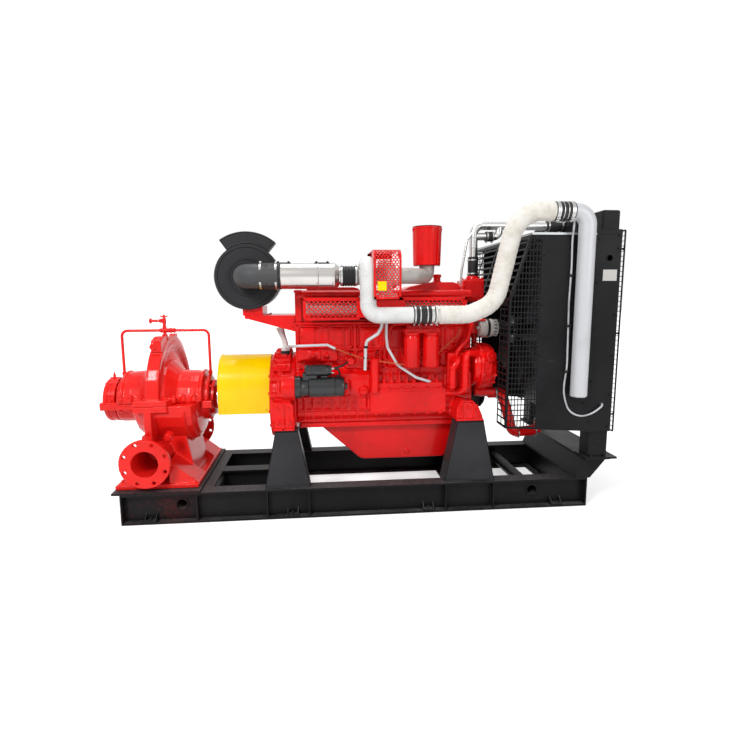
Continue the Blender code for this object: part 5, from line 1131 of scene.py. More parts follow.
def makeHead(s):
    form = Form()
    left, right, half, top = s["left"], s["right"], s["headHalf"], s["headTop"]
    low = s["top"] + 0.0005
    pitch = (right - left - 0.05) / s["cylinders"]
    for n in range(s["cylinders"]):
        x0 = left + 0.03 + n * pitch
        form.block((x0 + 0.0015, -half, low), (x0 + pitch - 0.0015, half, top))
    form.block((left + 0.028, -half + 0.004, low + 0.001), (right - 0.02, half - 0.004, top - 0.003))
    form.block((left + 0.002, -half - 0.02, low), (left + 0.040, half + 0.02, top + 0.05))
    form.block((left + 0.0005, -half - 0.026, top + 0.034), (left + 0.044, half + 0.026, top + 0.0505))
    form.done("cylinderHeads", "engine_red", stands=["cylinder_head"], bevel=0.003)
    covers = Form()
    for x0, x1, rise, step in ((-0.35, 0.02, 0.067, 0.0), (0.29, 0.645, 0.096, 0.12)):
        covers.block((x0 - 0.008, -0.135, top), (x1 + 0.008, 0.135, top + 0.012))
        ridge = [(x0, top + 0.006), (x1, top + 0.006), (x1, top + rise * 0.62), (x1 - 0.02, top + rise * 0.9)]
        ridge += [(x1 - 0.05, top + rise), (x0 + 0.05 + step, top + rise), (x0 + 0.03, top + rise * 0.7)]
        ridge += [(x0, top + rise * 0.55)]
        covers.slab(ridge, -0.122, 0.122, "Y")
    covers.lathe([(0.030, 0), (0.030, 0.008), (0.022, 0.012), (0.022, 0.034), (0.027, 0.037), (0.027, 0.05),
                  (0.023, 0.054), (0, 0.054)], (0.508, -0.05, top + 0.092), (0, 0, 1), 28)
    covers.drum((left + 0.015, -half + 0.005, top + 0.02), (right + 0.004, -half + 0.005, top + 0.02), 0.029, sides=28)
    for n in range(6):
        x = left + 0.095 + n * pitch
        covers.drum((x, -half - 0.02, top + 0.02), (x, -half + 0.03, top + 0.012), 0.016, sides=16)
    covers.block((-0.352, -0.158, top + 0.002), (0.02, -0.128, top + 0.028))
    covers.done("rockerCovers", "engine_red", bevel=0.006, angle=30)
    screws = Form()
    for x0, x1 in ((-0.35, 0.02), (0.29, 0.645)):
        for n in range(6):
            x = x0 + 0.012 + n * (x1 - x0 - 0.024) / 5
            for y in (-0.1285, 0.1285):
                screws.bolt((x, y, top + 0.012), (0, 0, 1), 0.0065)
    for n in range(s["cylinders"]):
        x0 = left + 0.03 + n * pitch
        for x in (x0 + 0.02, x0 + pitch - 0.02):
            for side in (-1, 1):
                screws.bolt((x, side * (half + 0.0003), low + 0.02), (0, side, 0), 0.0075)
                screws.bolt((x, side * (half - 0.018), top), (0, 0, 1), 0.009)
    for y in (-0.15, -0.05, 0.05, 0.15):
        screws.bolt((left + 0.0004, y, top + 0.042), (-1, 0, 0), 0.007)
        screws.bolt((left + 0.002, y, low + 0.02), (-1, 0, 0), 0.007)
    screws.done("headBolts", "engine_red")


def makeOilPan(s):
    form = Form()
    top, low, half = s["low"] - 0.0003, 0.27, 0.17
    sump = [(-0.25, 0.501), (0.0, low + 0.008), (0.03, low), (0.53, low), (0.548, low + 0.012)]
    sump += [(0.606, 0.501), (0.606, top - 0.01), (-0.25, top - 0.01)]
    form.slab(sump, -half, half, "Y")
    form.block((s["left"] + 0.02, -0.22, top - 0.028), (s["right"] - 0.05, 0.22, top))
    form.done("oilPanShell", "engine_red", stands=["oil_pan"], bevel=0.010, angle=25)
    detail = Form()
    detail.block((s["left"] + 0.018, -0.222, top - 0.031), (s["right"] - 0.048, 0.222, top - 0.020))
    detail.lathe([(0.024, 0), (0.024, 0.006), (0.017, 0.008), (0.017, 0.018), (0, 0.018)],
                 (0.04, -0.06, low + 0.0015), (0, 0, -1), 6)
    detail.lathe([(0.020, 0), (0.020, 0.005), (0.014, 0.006), (0.014, 0.014), (0, 0.014)],
                 (0.30, -half + 0.0005, low + 0.045), (0, -1, 0), 6)
    detail.done("oilPanRim", "engine_red", bevel=0.002)


def makeFuelFilters():
    form = Form()
    y, top, radius = -0.335, 1.085, 0.046
    for x in (0.297, 0.411):
        can = [(0, 0), (0.024, 0), (0.034, 0.003), (0.0425, 0.010), (0.0455, 0.020), (0.046, 0.168), (0.0475, 0.171)]
        can += [(0.0475, 0.180), (0.046, 0.183), (0.044, 0.192), (0.040, 0.1995), (0, 0.1995)]
        form.lathe(can, (x, y, top - 0.2145), (0, 0, 1), 48)
        ring = [(0.040, 0), (0.047, 0.002), (0.047, 0.016), (0, 0.016)]
        form.lathe(ring, (x, y, top - 0.018), (0, 0, 1), 40)
        for turn in range(0, 360, 30):
            t = math.radians(turn)
            u, v = x + 0.0455 * math.cos(t), y + 0.0455 * math.sin(t)
            form.drum((u, v, top - 0.20), (u, v, top - 0.168), 0.0025, sides=6)
    form.done("fuelFilterCans", "engine_red", stands=["fuel_filters"], angle=28)
    head = Form()
    head.block((0.251, y - 0.031, top - 0.006), (0.457, -0.2185, top + 0.0215))
    head.block((0.270, y - 0.012, top + 0.018), (0.438, -0.225, top + 0.034))
    head.block((0.30, -0.24, top - 0.08), (0.41, -0.2185, top + 0.02))
    head.done("fuelFilterHead", "engine_red", bevel=0.006)
    screws = Form()
    for x in (0.275, 0.354, 0.433):
        screws.bolt((x, y + 0.004, top + 0.0345), (0, 0, 1), 0.0085)
        screws.bolt((x, y - 0.0312, top + 0.008), (0, -1, 0), 0.0075)
    screws.done("fuelFilterBolts", "engine_red")


def makeStarter():
    form = Form()
    y, z, start, end = -0.34, 0.772, -0.385, -0.095
    body = [(0.066, 0.001), (0.066, 0.030), (0.060, 0.036), (0.052, 0.050), (0.050, 0.075), (0.057, 0.080)]
    body += [(0.0595, 0.083), (0.0595, 0.226), (0.0575, 0.228), (0.0575, 0.232), (0.0595, 0.234), (0.0595, 0.270)]
    body += [(0.056, 0.280), (0.045, 0.286), (0.020, 0.289), (0.018, 0.300), (0.010, 0.303), (0, 0.303)]
    form.lathe(body, (start, y, z), (1, 0, 0), 48)
    upper = z + 0.096
    coil = [(0.022, 0), (0.030, 0.004), (0.0355, 0.010), (0.0355, 0.036), (0.034, 0.038), (0.034, 0.044)]
    coil += [(0.0355, 0.046), (0.0355, 0.130), (0.0335, 0.134), (0.030, 0.140), (0.030, 0.156), (0, 0.156)]
    form.lathe(coil, (start + 0.055, y, upper), (1, 0, 0), 36)
    form.block((start + 0.045, y - 0.024, z + 0.025), (start + 0.125, y + 0.024, upper - 0.01))
    form.block((start + 0.15, y - 0.016, z + 0.03), (start + 0.185, y + 0.016, upper - 0.02))
    form.done("starterBody", "gloss_black", stands=["starter_motor"], angle=30)
    metal = Form()
    for dy, dz in ((-0.014, 0.010), (0.012, 0.010), (0.0, -0.014)):
        place = (start + 0.211, y + dy, upper + dz)
        metal.drum(place, (place[0] + 0.014, place[1], place[2]), 0.004, sides=10)
        metal.bolt(place, (1, 0, 0), 0.006)
    for dy, dz in ((-0.045, 0.0), (0.0, -0.045), (0.03, 0.034)):
        metal.bolt((end - 0.0115, y + dy, z + dz), (1, 0, 0), 0.0055)
    metal.done("starterTerminals", "bare_steel")
    cable = Form()
    lead = [(start + 0.228, y - 0.014, upper + 0.010), (start + 0.25, y - 0.014, upper + 0.008)]
    lead += [(start + 0.262, y + 0.01, upper - 0.028), (start + 0.222, y + 0.03, upper - 0.05)]
    cable.pipe(roundedPath(lead, 0.015, 5), 0.0058, 10)
    back = [(start + 0.228, y + 0.012, upper + 0.010), (start + 0.27, y + 0.02, upper + 0.02)]
    back += [(start + 0.30, -0.262, upper + 0.03), (start + 0.34, -0.225, upper + 0.05)]
    cable.pipe(roundedPath(back, 0.025, 5), 0.0062, 10)
    cable.done("starterCables", "black_rubber")


def makeWaterPump():
    form = Form()
    face, y, z = 0.6903, -0.20, 0.861
    form.copyOf("water_pump")
    form.pipe([(face + 0.04, y + 0.137 * math.cos(t), z + 0.137 * math.sin(t))
               for t in (math.radians(n * 9) for n in range(40))], 0.010, 8, closed=True)
    form.pipe([(face + 0.098, y + 0.132 * math.cos(t), z + 0.132 * math.sin(t))
               for t in (math.radians(n * 9) for n in range(40))], 0.007, 8, closed=True)
    for turn in (200, 225, 250, 275, 300):
        t = math.radians(turn - 90)
        u, v = y - 0.128 * math.sin(t), z + 0.128 * math.cos(t)
        form.drum((face + 0.03, u, v), (face + 0.13, u, v), 0.009, sides=10)
    form.drum((face + 0.05, y - 0.06, z + 0.05), (face + 0.085, y - 0.155, z + 0.075), 0.034, sides=20)
    form.drum((0.86, -0.17, 0.68), (0.82, -0.17, 0.68), 0.034, sides=24)
    form.drum((0.72, -0.20, 0.695), (0.85, -0.20, 0.695), 0.026, sides=20)
    form.done("waterPumpCasting", "engine_red", stands=["water_pump"], cast=(0.0036, 4, 0.4))
    screws = Form()
    for turn in range(0, 360, 40):
        t = math.radians(turn)
        place = (0.836 - 0.0025, y + 0.088 * math.cos(t), z + 0.088 * math.sin(t))
        screws.bolt(place, (1, 0, 0), 0.007)
    for turn in range(15, 360, 30):
        t = math.radians(turn)
        u, v = y + 0.143 * math.cos(t), z + 0.143 * math.sin(t)
        if u < -0.16:
            screws.bolt((face + 0.046, u, v), (-0.2, math.cos(t), math.sin(t)), 0.007)
    screws.bolt((face + 0.085, y - 0.152, z + 0.0745), (0.3, -0.9, 0.25), 0.012)
    screws.done("waterPumpBolts", "engine_red")


def makeFront(s):
    form = Form()
    face = s["right"] + 0.0003
    grooves = [(0.030, 0.0), (0.105, 0.0), (0.105, 0.006), (0.099, 0.010), (0.105, 0.014), (0.099, 0.018)]
    grooves += [(0.105, 0.022), (0.099, 0.026), (0.105, 0.030), (0.105, 0.036), (0.090, 0.038), (0.090, 0.050)]
    grooves += [(0.060, 0.055), (0.034, 0.048), (0.030, 0.048)]
    form.lathe(grooves, (0.78, 0, 0.66), (1, 0, 0), 56, closed=True)
    form.drum((face, 0, 0.66), (0.82, 0, 0.66), 0.035, sides=28)
    form.done("crankDamper", "satin_black", stands=["crank_pulley"])
    y, z = -0.215, 1.096
    case = Form()
    shell = [(0.030, 0.030), (0.046, 0.032), (0.052, 0.038), (0.053, 0.060), (0.0545, 0.062), (0.0545, 0.070)]
    shell += [(0.053, 0.072), (0.053, 0.100), (0.0545, 0.102), (0.0545, 0.110), (0.052, 0.113), (0.050, 0.135)]
    shell += [(0.042, 0.148), (0.016, 0.150), (0.012, 0.150), (0.012, 0.036)]
    case.lathe(shell, (face + 0.01, y, z), (1, 0, 0), 48, closed=True)
    case.drum((face + 0.03, y, z), (face + 0.168, y, z), 0.011, sides=16)
    for turn in range(0, 360, 24):
        t = math.radians(turn)
        u, v = y + 0.0495 * math.cos(t), z + 0.0495 * math.sin(t)
        case.drum((face + 0.122, u, v), (face + 0.154, u, v), 0.0028, sides=6)
    case.done("alternatorCase", "light_cast", stands=["alternator"], angle=30)
    # A black band in the seam between its two castings, and black fillers in the slots round its end: painted shade
    # where seam and slots open into the case
    gap = Form()
    gap.lathe([(0.0500, 0.078), (0.0538, 0.078), (0.0538, 0.094), (0.0500, 0.094)], (face + 0.01, y, z), (1, 0, 0), 48, closed=True)
    for turn in range(0, 360, 24):
        t = math.radians(turn + 12)
        gap.drum((face + 0.128, y + 0.0500 * math.cos(t), z + 0.0500 * math.sin(t)),
                 (face + 0.142, y + 0.0500 * math.cos(t), z + 0.0500 * math.sin(t)), 0.0036, sides=6)
    gap.done("alternatorGapShade", "satin_black")
    wheel = Form()
    rim = [(0.012, 0.0), (0.033, 0.0), (0.034, 0.002), (0.026, 0.010), (0.034, 0.018), (0.033, 0.020), (0.012, 0.020)]
    wheel.lathe(rim, (face + 0.162, y, z), (1, 0, 0), 40, closed=True)
    wheel.done("alternatorPulley", "satin_black")
    # Belts from the crank's damper to the fan and the alternator
    belt = Form()
    for x, spots in ((0.79, ((0, 0.66, 0.099), (0, 1.07, 0.060))), (0.862, ((0, 1.07, 0.050), (y, z, 0.030)))):
        (y0, z0, r0), (y1, z1, r1) = spots
        reach = math.hypot(y1 - y0, z1 - z0)
        tilt = math.atan2(z1 - z0, y1 - y0)
        lean = math.acos((r0 - r1) / reach)
        loop = []
        for n in range(13):
            t = tilt + lean + (2 * math.pi - 2 * lean) * n / 12
            loop.append((x, y0 + r0 * math.cos(t), z0 + r0 * math.sin(t)))
        for n in range(9):
            t = tilt - lean + 2 * lean * n / 8
            loop.append((x, y1 + r1 * math.cos(t), z1 + r1 * math.sin(t)))
        belt.pipe(loop, 0.005, 6, closed=True)
    belt.done("driveBelts", "black_rubber")
    arm = Form()
    arm.slab([(-0.199, 1.06), (-0.168, 1.06), (-0.150, 1.125), (-0.199, 1.125)], face, face + 0.058, "X")
    arm.block((face, -0.262, 1.142), (face + 0.075, -0.175, 1.150))
    arm.done("alternatorArm", "engine_red", bevel=0.003)
    housing = Form()
    x, top = 0.755, 1.40
    housing.block((0.6703, -0.075, top - 0.15), (x + 0.055, 0.075, top - 0.012))
    housing.block((x - 0.062, -0.068, top - 0.03), (x + 0.055, 0.068, top))
    housing.drum((x - 0.01, -0.076, top - 0.08), (x - 0.01, 0.0, top - 0.08), 0.036, sides=28)
    housing.drum((x, 0, top - 0.01), (x, 0, top + 0.018), 0.045, 0.038, sides=36)
    housing.block((0.668, -0.082, top - 0.115), (0.684, 0.082, top - 0.04))
    housing.done("thermostatCasting", "engine_red", stands=["thermostat_housing"], bevel=0.007, angle=30)
    screws = Form()
    for dx, y in ((-0.052, -0.058), (0.045, -0.058), (-0.052, 0.058), (0.045, 0.058)):
        screws.bolt((x + dx, y, top), (0, 0, 1), 0.008)
    for dx, dz in ((-0.036, -0.115), (0.036, -0.115), (0.036, -0.05)):
        screws.bolt((x + dx, -0.0752, top + dz), (0, -1, 0), 0.008)
    screws.done("thermostatBolts", "engine_red")
    elbow = Form()
    route = [(x - 0.02, -0.05, top - 0.1503), (x - 0.02, -0.05, top - 0.185), (x - 0.02, -0.075, top - 0.235)]
    elbow.pipe(roundedPath(route, 0.03, 5), 0.026, 20)
    elbow.done("bypassHose", "black_rubber")


makeFlywheelHousing(engine)
makeBlock(engine)
makeSideCover(engine)
makeSmallPipes()
makeHead(engine)
makeOilPan(engine)
makeFuelFilters()
makeStarter()
makeWaterPump()
makeFront(engine)
print("engine made")


# Air side and exhaust

air = {
    "filter": (-0.656, -0.20, 1.407),
    "can": 0.19,
    "hood": 0.262,
    "turbo": (-0.015, -0.30, 1.408),
    "intake": 0.073,
    "hose": 0.055,
    "charge": 0.045,
    "chargeX": 0.031,
    "chargeY": -0.447,
    "chargeLow": 1.187,
    "wrap": 0.0505,
    "wrapPitch": 0.030,
    "highY": -0.5463,
    "highZ": 1.738,
}


def makeAirFilter(s):
    x, face, z = s["filter"]
    radius = s["can"]
    form = Form()
    can = [(0, 0.006), (0.070, 0.006), (0.082, 0.003), (0.098, 0.003), (0.102, 0.0), (0.110, 0.0), (0.114, 0.005)]
    can += [(0.168, 0.005), (0.172, 0.001), (0.184, 0.001), (0.190, 0.007), (0.190, 0.094), (0.187, 0.098)]
    can += [(0.182, 0.100), (0.182, 0.150), (0.186, 0.153), (0.186, 0.160), (0.182, 0.163), (0.182, 0.335)]
    can += [(0.176, 0.350), (0.160, 0.3598), (0, 0.3598)]
    form.lathe(can, (x, face, z), (0, 1, 0), 72)
    form.done("filterCan", "filter_black", stands=["air_filter"], angle=28)
    hood = Form()
    arcOut = arcOf((x, z), s["hood"] - 0.0005, 50, 126, 30)
    arcIn = arcOf((x, z), radius - 0.004, 126, 50, 30)
    hood.slab(arcOut + arcIn, face + 0.014, face + 0.098, "Y")
    hood.done("filterHood", "filter_black", bevel=0.004, angle=30)
    trim = Form()
    for reach in (s["hood"] - 0.0045, radius + 0.006):
        trim.pipe([(u, face + 0.0135, v) for u, v in arcOf((x, z), reach, 50.6, 125.4, 36)], 0.0038, 8)
    for turn in (50.7, 125.3):
        t = math.radians(turn)
        a = (x + radius * math.cos(t), face + 0.013, z + radius * math.sin(t))
        b = (x + 0.259 * math.cos(t), face + 0.013, z + 0.259 * math.sin(t))
        trim.pipe([a, b], 0.0036, 8)
    t = math.radians(52.5)
    for reach in (0.238, 0.252):
        trim.drum((x + reach * math.cos(t), face + 0.006, z + reach * math.sin(t)),
                  (x + reach * math.cos(t), face + 0.03, z + reach * math.sin(t)), 0.006, sides=12)
    trim.done("filterTrim", "black_rubber")
    strap = Form()
    for along in (0.125, 0.255):
        strap.lathe([(0.1825, 0), (0.1855, 0), (0.1855, 0.022), (0.1825, 0.022)], (x, face + along, z), (0, 1, 0), 64,
                    closed=True)
    for along in (0.136, 0.266):
        strap.drum((x + 0.182, face + along, z - 0.045), (x + 0.182, face + along, z - 0.01), 0.0045, sides=10)
    strap.done("filterStraps", "clamp_steel")
    screws = Form()
    for y in (-0.15, -0.02, 0.07):
        screws.bolt((-0.675, y, 1.1655), (0, 0, -1), 0.008)
        screws.bolt((-0.55, y, 1.1818), (0, 0, 1), 0.008)
    for dz in (1.115, 1.145):
        screws.bolt((-0.40, -0.1905, dz), (0, -1, 0), 0.008)
    screws.done("filterBolts", "engine_red")


def makeIntake(s):
    x, face, z = s["filter"]
    left, y, _ = s["turbo"]
    radius = s["intake"]
    form = Form()
    route = [(x, face + 0.002, z), (x, y - 0.02, z), (-0.4665, y - 0.02, z)]
    form.pipe(roundedPath(route, 0.085, 12), radius - 0.005, 40)
    form.done("intakeElbow", "elbow_grey", stands=["intake_elbow"])
    sleeve = Form()
    soft = [(0.0682, 0), (0.0735, 0.003), (0.0735, 0.045), (0.075, 0.049), (0.0735, 0.053), (0.0735, 0.118)]
    soft += [(0.0725, 0.121), (0.0682, 0.121)]
    sleeve.lathe(soft, (-0.5755, y - 0.012, z), (1, 0, 0), 48, closed=True)
    ribs = [(0.048, 0.0), (s["hose"], 0.002)]
    for n in range(5):
        at = 0.018 + n * 0.016
        ribs += [(s["hose"], at - 0.005), (s["hose"] + 0.003, at - 0.002), (s["hose"] + 0.003, at + 0.002)]
        ribs.append((s["hose"], at + 0.005))
    ribs += [(s["hose"], 0.099), (0.048, 0.101)]
    sleeve.lathe(ribs, (left - 0.1015, y, z), (1, 0, 0), 44, closed=True)
    sleeve.done("intakeSleeves", "black_rubber", angle=40)
    pipe = Form()
    tube = [(0.050, 0.0), (radius, 0.0), (radius, 0.006), (radius + 0.0025, 0.009), (radius, 0.012), (radius, 0.212)]
    tube += [(radius + 0.0028, 0.215), (radius + 0.0028, 0.219), (radius, 0.222), (radius, 0.300)]
    tube += [(radius + 0.003, 0.303), (radius + 0.003, 0.311), (0.060, 0.334), (0.0545, 0.338), (0.050, 0.338)]
    pipe.lathe(tube, (-0.4605, y, z), (1, 0, 0), 64, closed=True)
    pipe.drum((-0.13, y, z), (left - 0.0005, y, z), 0.0485, sides=24)
    pipe.done("intakePipe", "bright_steel", stands=["intake_pipe"], angle=28)
    clamps = Form()
    for at, reach in ((-0.562, 0.0735), (-0.476, 0.0735)):
        clamps.band((at, y - 0.012, z), (1, 0, 0), reach, 0.010, screwAngle=10)
    for at in (left - 0.094, left - 0.010):
        clamps.band((at, y, z), (1, 0, 0), s["hose"], 0.010, screwAngle=5)
    clamps.done("intakeClamps", "clamp_steel")
    brackets = Form()
    for a, b in ((-0.478, -0.395), (-0.262, -0.175)):
        brackets.block((a, y - 0.014, z + radius - 0.001), (b, y + 0.014, z + radius + 0.0035))
        brackets.drum((a + 0.012, y, z + radius), (a + 0.012, y, z + radius + 0.011), 0.007, sides=6)
        brackets.drum((b - 0.012, y, z + radius), (b - 0.012, y, z + radius + 0.011), 0.007, sides=6)
    brackets.done("intakeBrackets", "satin_black", bevel=0.001)


def makeTurbo(s):
    left, y, z = s["turbo"]
    form = Form()
    body = [(0, 0), (0.050, 0), (0.053, 0.002), (0.053, 0.016), (0.064, 0.018), (0.078, 0.026), (0.086, 0.041)]
    body += [(0.078, 0.056), (0.064, 0.066), (0.05, 0.075), (0.044, 0.080), (0.044, 0.106), (0.056, 0.114)]
    body += [(0.078, 0.122), (0.09, 0.145), (0.09, 0.165), (0.078, 0.187), (0.06, 0.212), (0.055, 0.25), (0, 0.25)]
    form.lathe(body, (left, y, z), (1, 0, 0), 56)
    elbow = [(left + 0.215, y, z), (0.30, y, z), (0.42, -0.15, z), (0.42, -0.15, 1.5015)]
    form.pipe(roundedPath(elbow, 0.06, 8), 0.0465, 28)
    form.drum((0.031, y + 0.01, 1.465), (0.031, -0.3888, 1.465), 0.042, sides=28)
    form.block((0.110, y - 0.006, 1.2862), (0.190, y + 0.066, z))
    form.block((0.086, y - 0.019, 1.2857), (0.214, y + 0.084, 1.3010))
    for x in (left + 0.208, left + 0.222):
        form.drum((x - 0.005, y, z), (x + 0.005, y, z), 0.064, sides=32)
    form.done("turboCasting", "light_cast", stands=["turbocharger"], cast=(0.0036, 3, 0.5))
    detail = Form()
    detail.band((left + 0.215, y, z), (1, 0, 0), 0.0645, 0.016, screwAngle=210, thick=0.002)
    for x in (0.098, 0.202):
        detail.bolt((x, y - 0.010, 1.3012), (0, 0, 1), 0.008)
    for turn in range(0, 360, 45):
        t = math.radians(turn)
        detail.bolt((left + 0.066, y + 0.068 * math.cos(t), z + 0.068 * math.sin(t)), (1, 0, 0), 0.006)
    detail.done("turboFasteners", "clamp_steel")
    oil = Form()
    feed = [(0.085, y + 0.01, z - 0.044), (0.085, y + 0.03, 1.33), (0.04, -0.215, 1.30), (0.0, -0.2115, 1.288)]
    oil.pipe(roundedPath(feed, 0.02, 5), 0.006, 12)
    oil.done("turboOilPipe", "pipe_grey")


def makeExhaustCover():
    x, y = 0.42, -0.15
    low, high = 1.472, 1.705
    form = Form()
    inner = 0.0478

    def radiusAt(z):
        return 0.081 + (0.088 - 0.081) * (z - low) / (high - low)

    wall = [(inner, low), (radiusAt(low) - 0.008, low), (radiusAt(low), low + 0.004)]
    wall += [(radiusAt(high - 0.016) - 0.0015, high - 0.016), (0.088, high - 0.014), (0.088, high - 0.001)]
    wall += [(0.0865, high), (0.0825, high), (0.0805, high - 0.003), (0.0805, high - 0.05), (0.075, low + 0.05)]
    wall.append((inner, low + 0.044))
    form.lathe(wall, (x, y, 0), (0, 0, 1), 20, closed=True)
    for turn in range(0, 360, 24):
        t = math.radians(turn)
        a, b = radiusAt(low) - 0.0008, radiusAt(high) - 0.0022
        form.pipe([(x + a * math.cos(t), y + a * math.sin(t), low + 0.006),
                   (x + b * math.cos(t), y + b * math.sin(t), high - 0.014)], 0.0028, 8)
    form.done("exhaustCoverShell", "engine_red", stands=["exhaust_cover"], angle=10)
    rims = Form()
    rims.lathe([(0.0805, high - 0.0045), (0.0879, high - 0.0045), (0.0879, high - 0.0002), (0.0805, high - 0.0002)], (x, y, 0), (0, 0, 1), 40, closed=True)
    rims.lathe([(0.060, low + 0.0002), (0.0795, low + 0.0002), (0.0812, low + 0.003), (0.060, low + 0.003)], (x, y, 0), (0, 0, 1), 40, closed=True)
    rims.done("exhaustCoverRims", "satin_black")
    screws = Form()
    for turn in (222, 318, 42, 138):
        t = math.radians(turn)
        for z in (low + 0.022, high - 0.030):
            r = radiusAt(z) - 0.0012
            screws.bolt((x + r * math.cos(t), y + r * math.sin(t), z), (math.cos(t), math.sin(t), 0), 0.005)
    for side in (-1, 1):
        screws.block((x + side * 0.0875 - 0.003, y - 0.006, high - 0.026), (x + side * 0.0875 + 0.003, y + 0.006, high - 0.006))
    screws.done("exhaustCoverScrews", "engine_red")
    pipe = Form()
    ring = [(0.046, 0.0), (0.046, 0.14), (0.0445, 0.142), (0.043, 0.14), (0.043, 0.0)]
    pipe.lathe(ring, (x, y, 1.5), (0, 0, 1), 40, closed=True)
    pipe.done("exhaustOutlet", "light_cast")


def hexSheet(form, low, high, width, height, hole, place):
    # A sheet of hexagon cells, each a ring round its hole, laid on a surface by place(u, v)
    corners = [(0, 0.5), (0.5, 0.25), (0.5, -0.25), (0, -0.5), (-0.5, -0.25), (-0.5, 0.25)]
    rows = int((high[1] - low[1] - height) / (height * 0.75)) + 1
    columns = int((high[0] - low[0] - width * 1.5) / width) + 1
    startU = (low[0] + high[0] - (columns - 0.5) * width) / 2
    startV = (low[1] + high[1] - (rows - 1) * height * 0.75) / 2
    for row in range(rows):
        for column in range(columns):
            u = startU + (column + 0.5 * (row % 2)) * width
            v = startV + row * height * 0.75
            rim = [form.mesh.verts.new(place(u + a * width, v + b * height)) for a, b in corners]
            gap = [form.mesh.verts.new(place(u + a * width * hole, v + b * height * hole)) for a, b in corners]
            form.skin(rim, gap)
    form.weld(0.0004)
    edge = width * 0.62
    return startU - edge, startU + (columns - 0.5) * width + edge * 0.2, startV, startV + (rows - 1) * height * 0.75


def makeShields():
    face, low, top = -0.3048, 1.1585, 1.284
    for name, x0, x1 in (("rearManifoldShield", -0.326, -0.003), ("frontManifoldShield", 0.2456, 0.618)):
        net = Form()
        hexSheet(net, (x0 + 0.004, low + 0.002), (x1 - 0.004, top - 0.008), 0.0250, 0.0185, 0.70,
                 lambda u, v: (u, face + 0.002, v))
        net.done(name, "engine_red", sheet=0.0018)
    frame = Form()
    frame.block((-0.332, face - 0.0002, 1.155), (0.63, face + 0.0035, low + 0.011))
    frame.block((-0.332, face - 0.0002, top - 0.017), (0.63, face + 0.0035, 1.285))
    frame.block((-0.332, face, 1.2815), (0.63, -0.2055, 1.285))
    for a, b in ((-0.332, -0.314), (-0.0205, 0.262), (0.603, 0.63)):
        frame.block((a, face - 0.0002, 1.156), (b, face + 0.0035, 1.284))
    frame.done("manifoldShieldFrame", "engine_red", stands=["manifold_shield"], bevel=0.0012)
    pipe = Form()
    pipe.copyOf("exhaust_manifold")
    pipe.done("manifoldCasting", "light_cast", stands=["exhaust_manifold"], cast=(0.004, 4, 0.5))
    screws = Form()
    for x in (-0.322, -0.17, -0.012, 0.13, 0.255, 0.43, 0.612):
        for z in (1.163, 1.2775):
            screws.bolt((x, face - 0.0003, z), (0, -1, 0), 0.0062)
    screws.done("manifoldShieldBolts", "engine_red")
    # The turbo's shield: front, a rolled top, and a plain edge all round
    near, bend, base, crown, far = -0.4968, 0.0585, 1.275, 1.5428, -0.125
    straight = crown - bend - base
    curve = bend * math.pi / 2

    def onShield(u, v):
        if v < straight:
            return (u, near, base + v)
        if v < straight + curve:
            t = math.pi - (v - straight) / bend
            return (u, near + bend + bend * math.cos(t), crown - bend + bend * math.sin(t))
        return (u, near + bend + (v - straight - curve), crown)

    x0, x1 = 0.058, 0.208
    reach = straight + curve + (far - near - bend)
    net = Form()
    hexSheet(net, (x0 + 0.004, 0.004), (x1 - 0.004, reach - 0.05), 0.0185, 0.0175, 0.66, onShield)
    net.done("turboShieldNet", "engine_red", stands=["turbo_shield"], sheet=0.0018)
    edge = Form()
    steps = [reach * n / 60 for n in range(61)]
    for a, b in ((x0, x0 + 0.012), (x1 - 0.012, x1)):
        rings = []
        for v in steps:
            place = [onShield(a, v), onShield(b, v)]
            rings.append([edge.mesh.verts.new(p) for p in place])
        for one, two in zip(rings, rings[1:]):
            edge.mesh.faces.new([one[0], one[1], two[1], two[0]])
    for v0, v1 in ((0.0, 0.014), (reach - 0.06, reach)):
        corner = [edge.mesh.verts.new(onShield(u, v)) for u, v in ((x0, v0), (x1, v0), (x1, v1), (x0, v1))]
        edge.mesh.faces.new(corner)
    edge.done("turboShieldEdge", "engine_red", sheet=0.0026)
    rear = Form()
    for z0, z1 in ((1.2805, 1.31), (crown - 0.03, crown - 0.001)):
        rear.block((x0 + 0.0005, far - 0.003, z0), (x1 - 0.0005, far, z1))
    for a in (x0 + 0.0005, x1 - 0.012):
        rear.block((a, far - 0.003, 1.2805), (a + 0.0115, far, crown - 0.001))
    for x in (x0, x1 - 0.0028):
        outline = [(near + 0.001, 1.30), (near + 0.001, crown - bend)]
        outline += arcOf((near + bend, crown - bend), bend - 0.002, 180, 90, 10)
        outline += [(near + 0.11, crown - 0.002), (near + 0.11, crown - 0.030), (near + 0.07, crown - 0.045)]
        outline += [(near + 0.022, crown - 0.08), (near + 0.018, 1.30)]
        rear.slab(outline, x, x + 0.0028, "X")
    for z in (1.292, 1.532):
        for x in (x0 + 0.018, x1 - 0.018):
            if z < 1.4:
                rear.bolt((x, near - 0.001, z), (0, -1, 0), 0.0055)
    rear.done("turboShieldFlanges", "engine_red")
    plate = Form()
    plate.block((0.078, near - 0.0042, 1.322), (0.126, near - 0.0014, 1.372))
    plate.done("shieldPlate", "guard_yellow", bevel=0.0008)


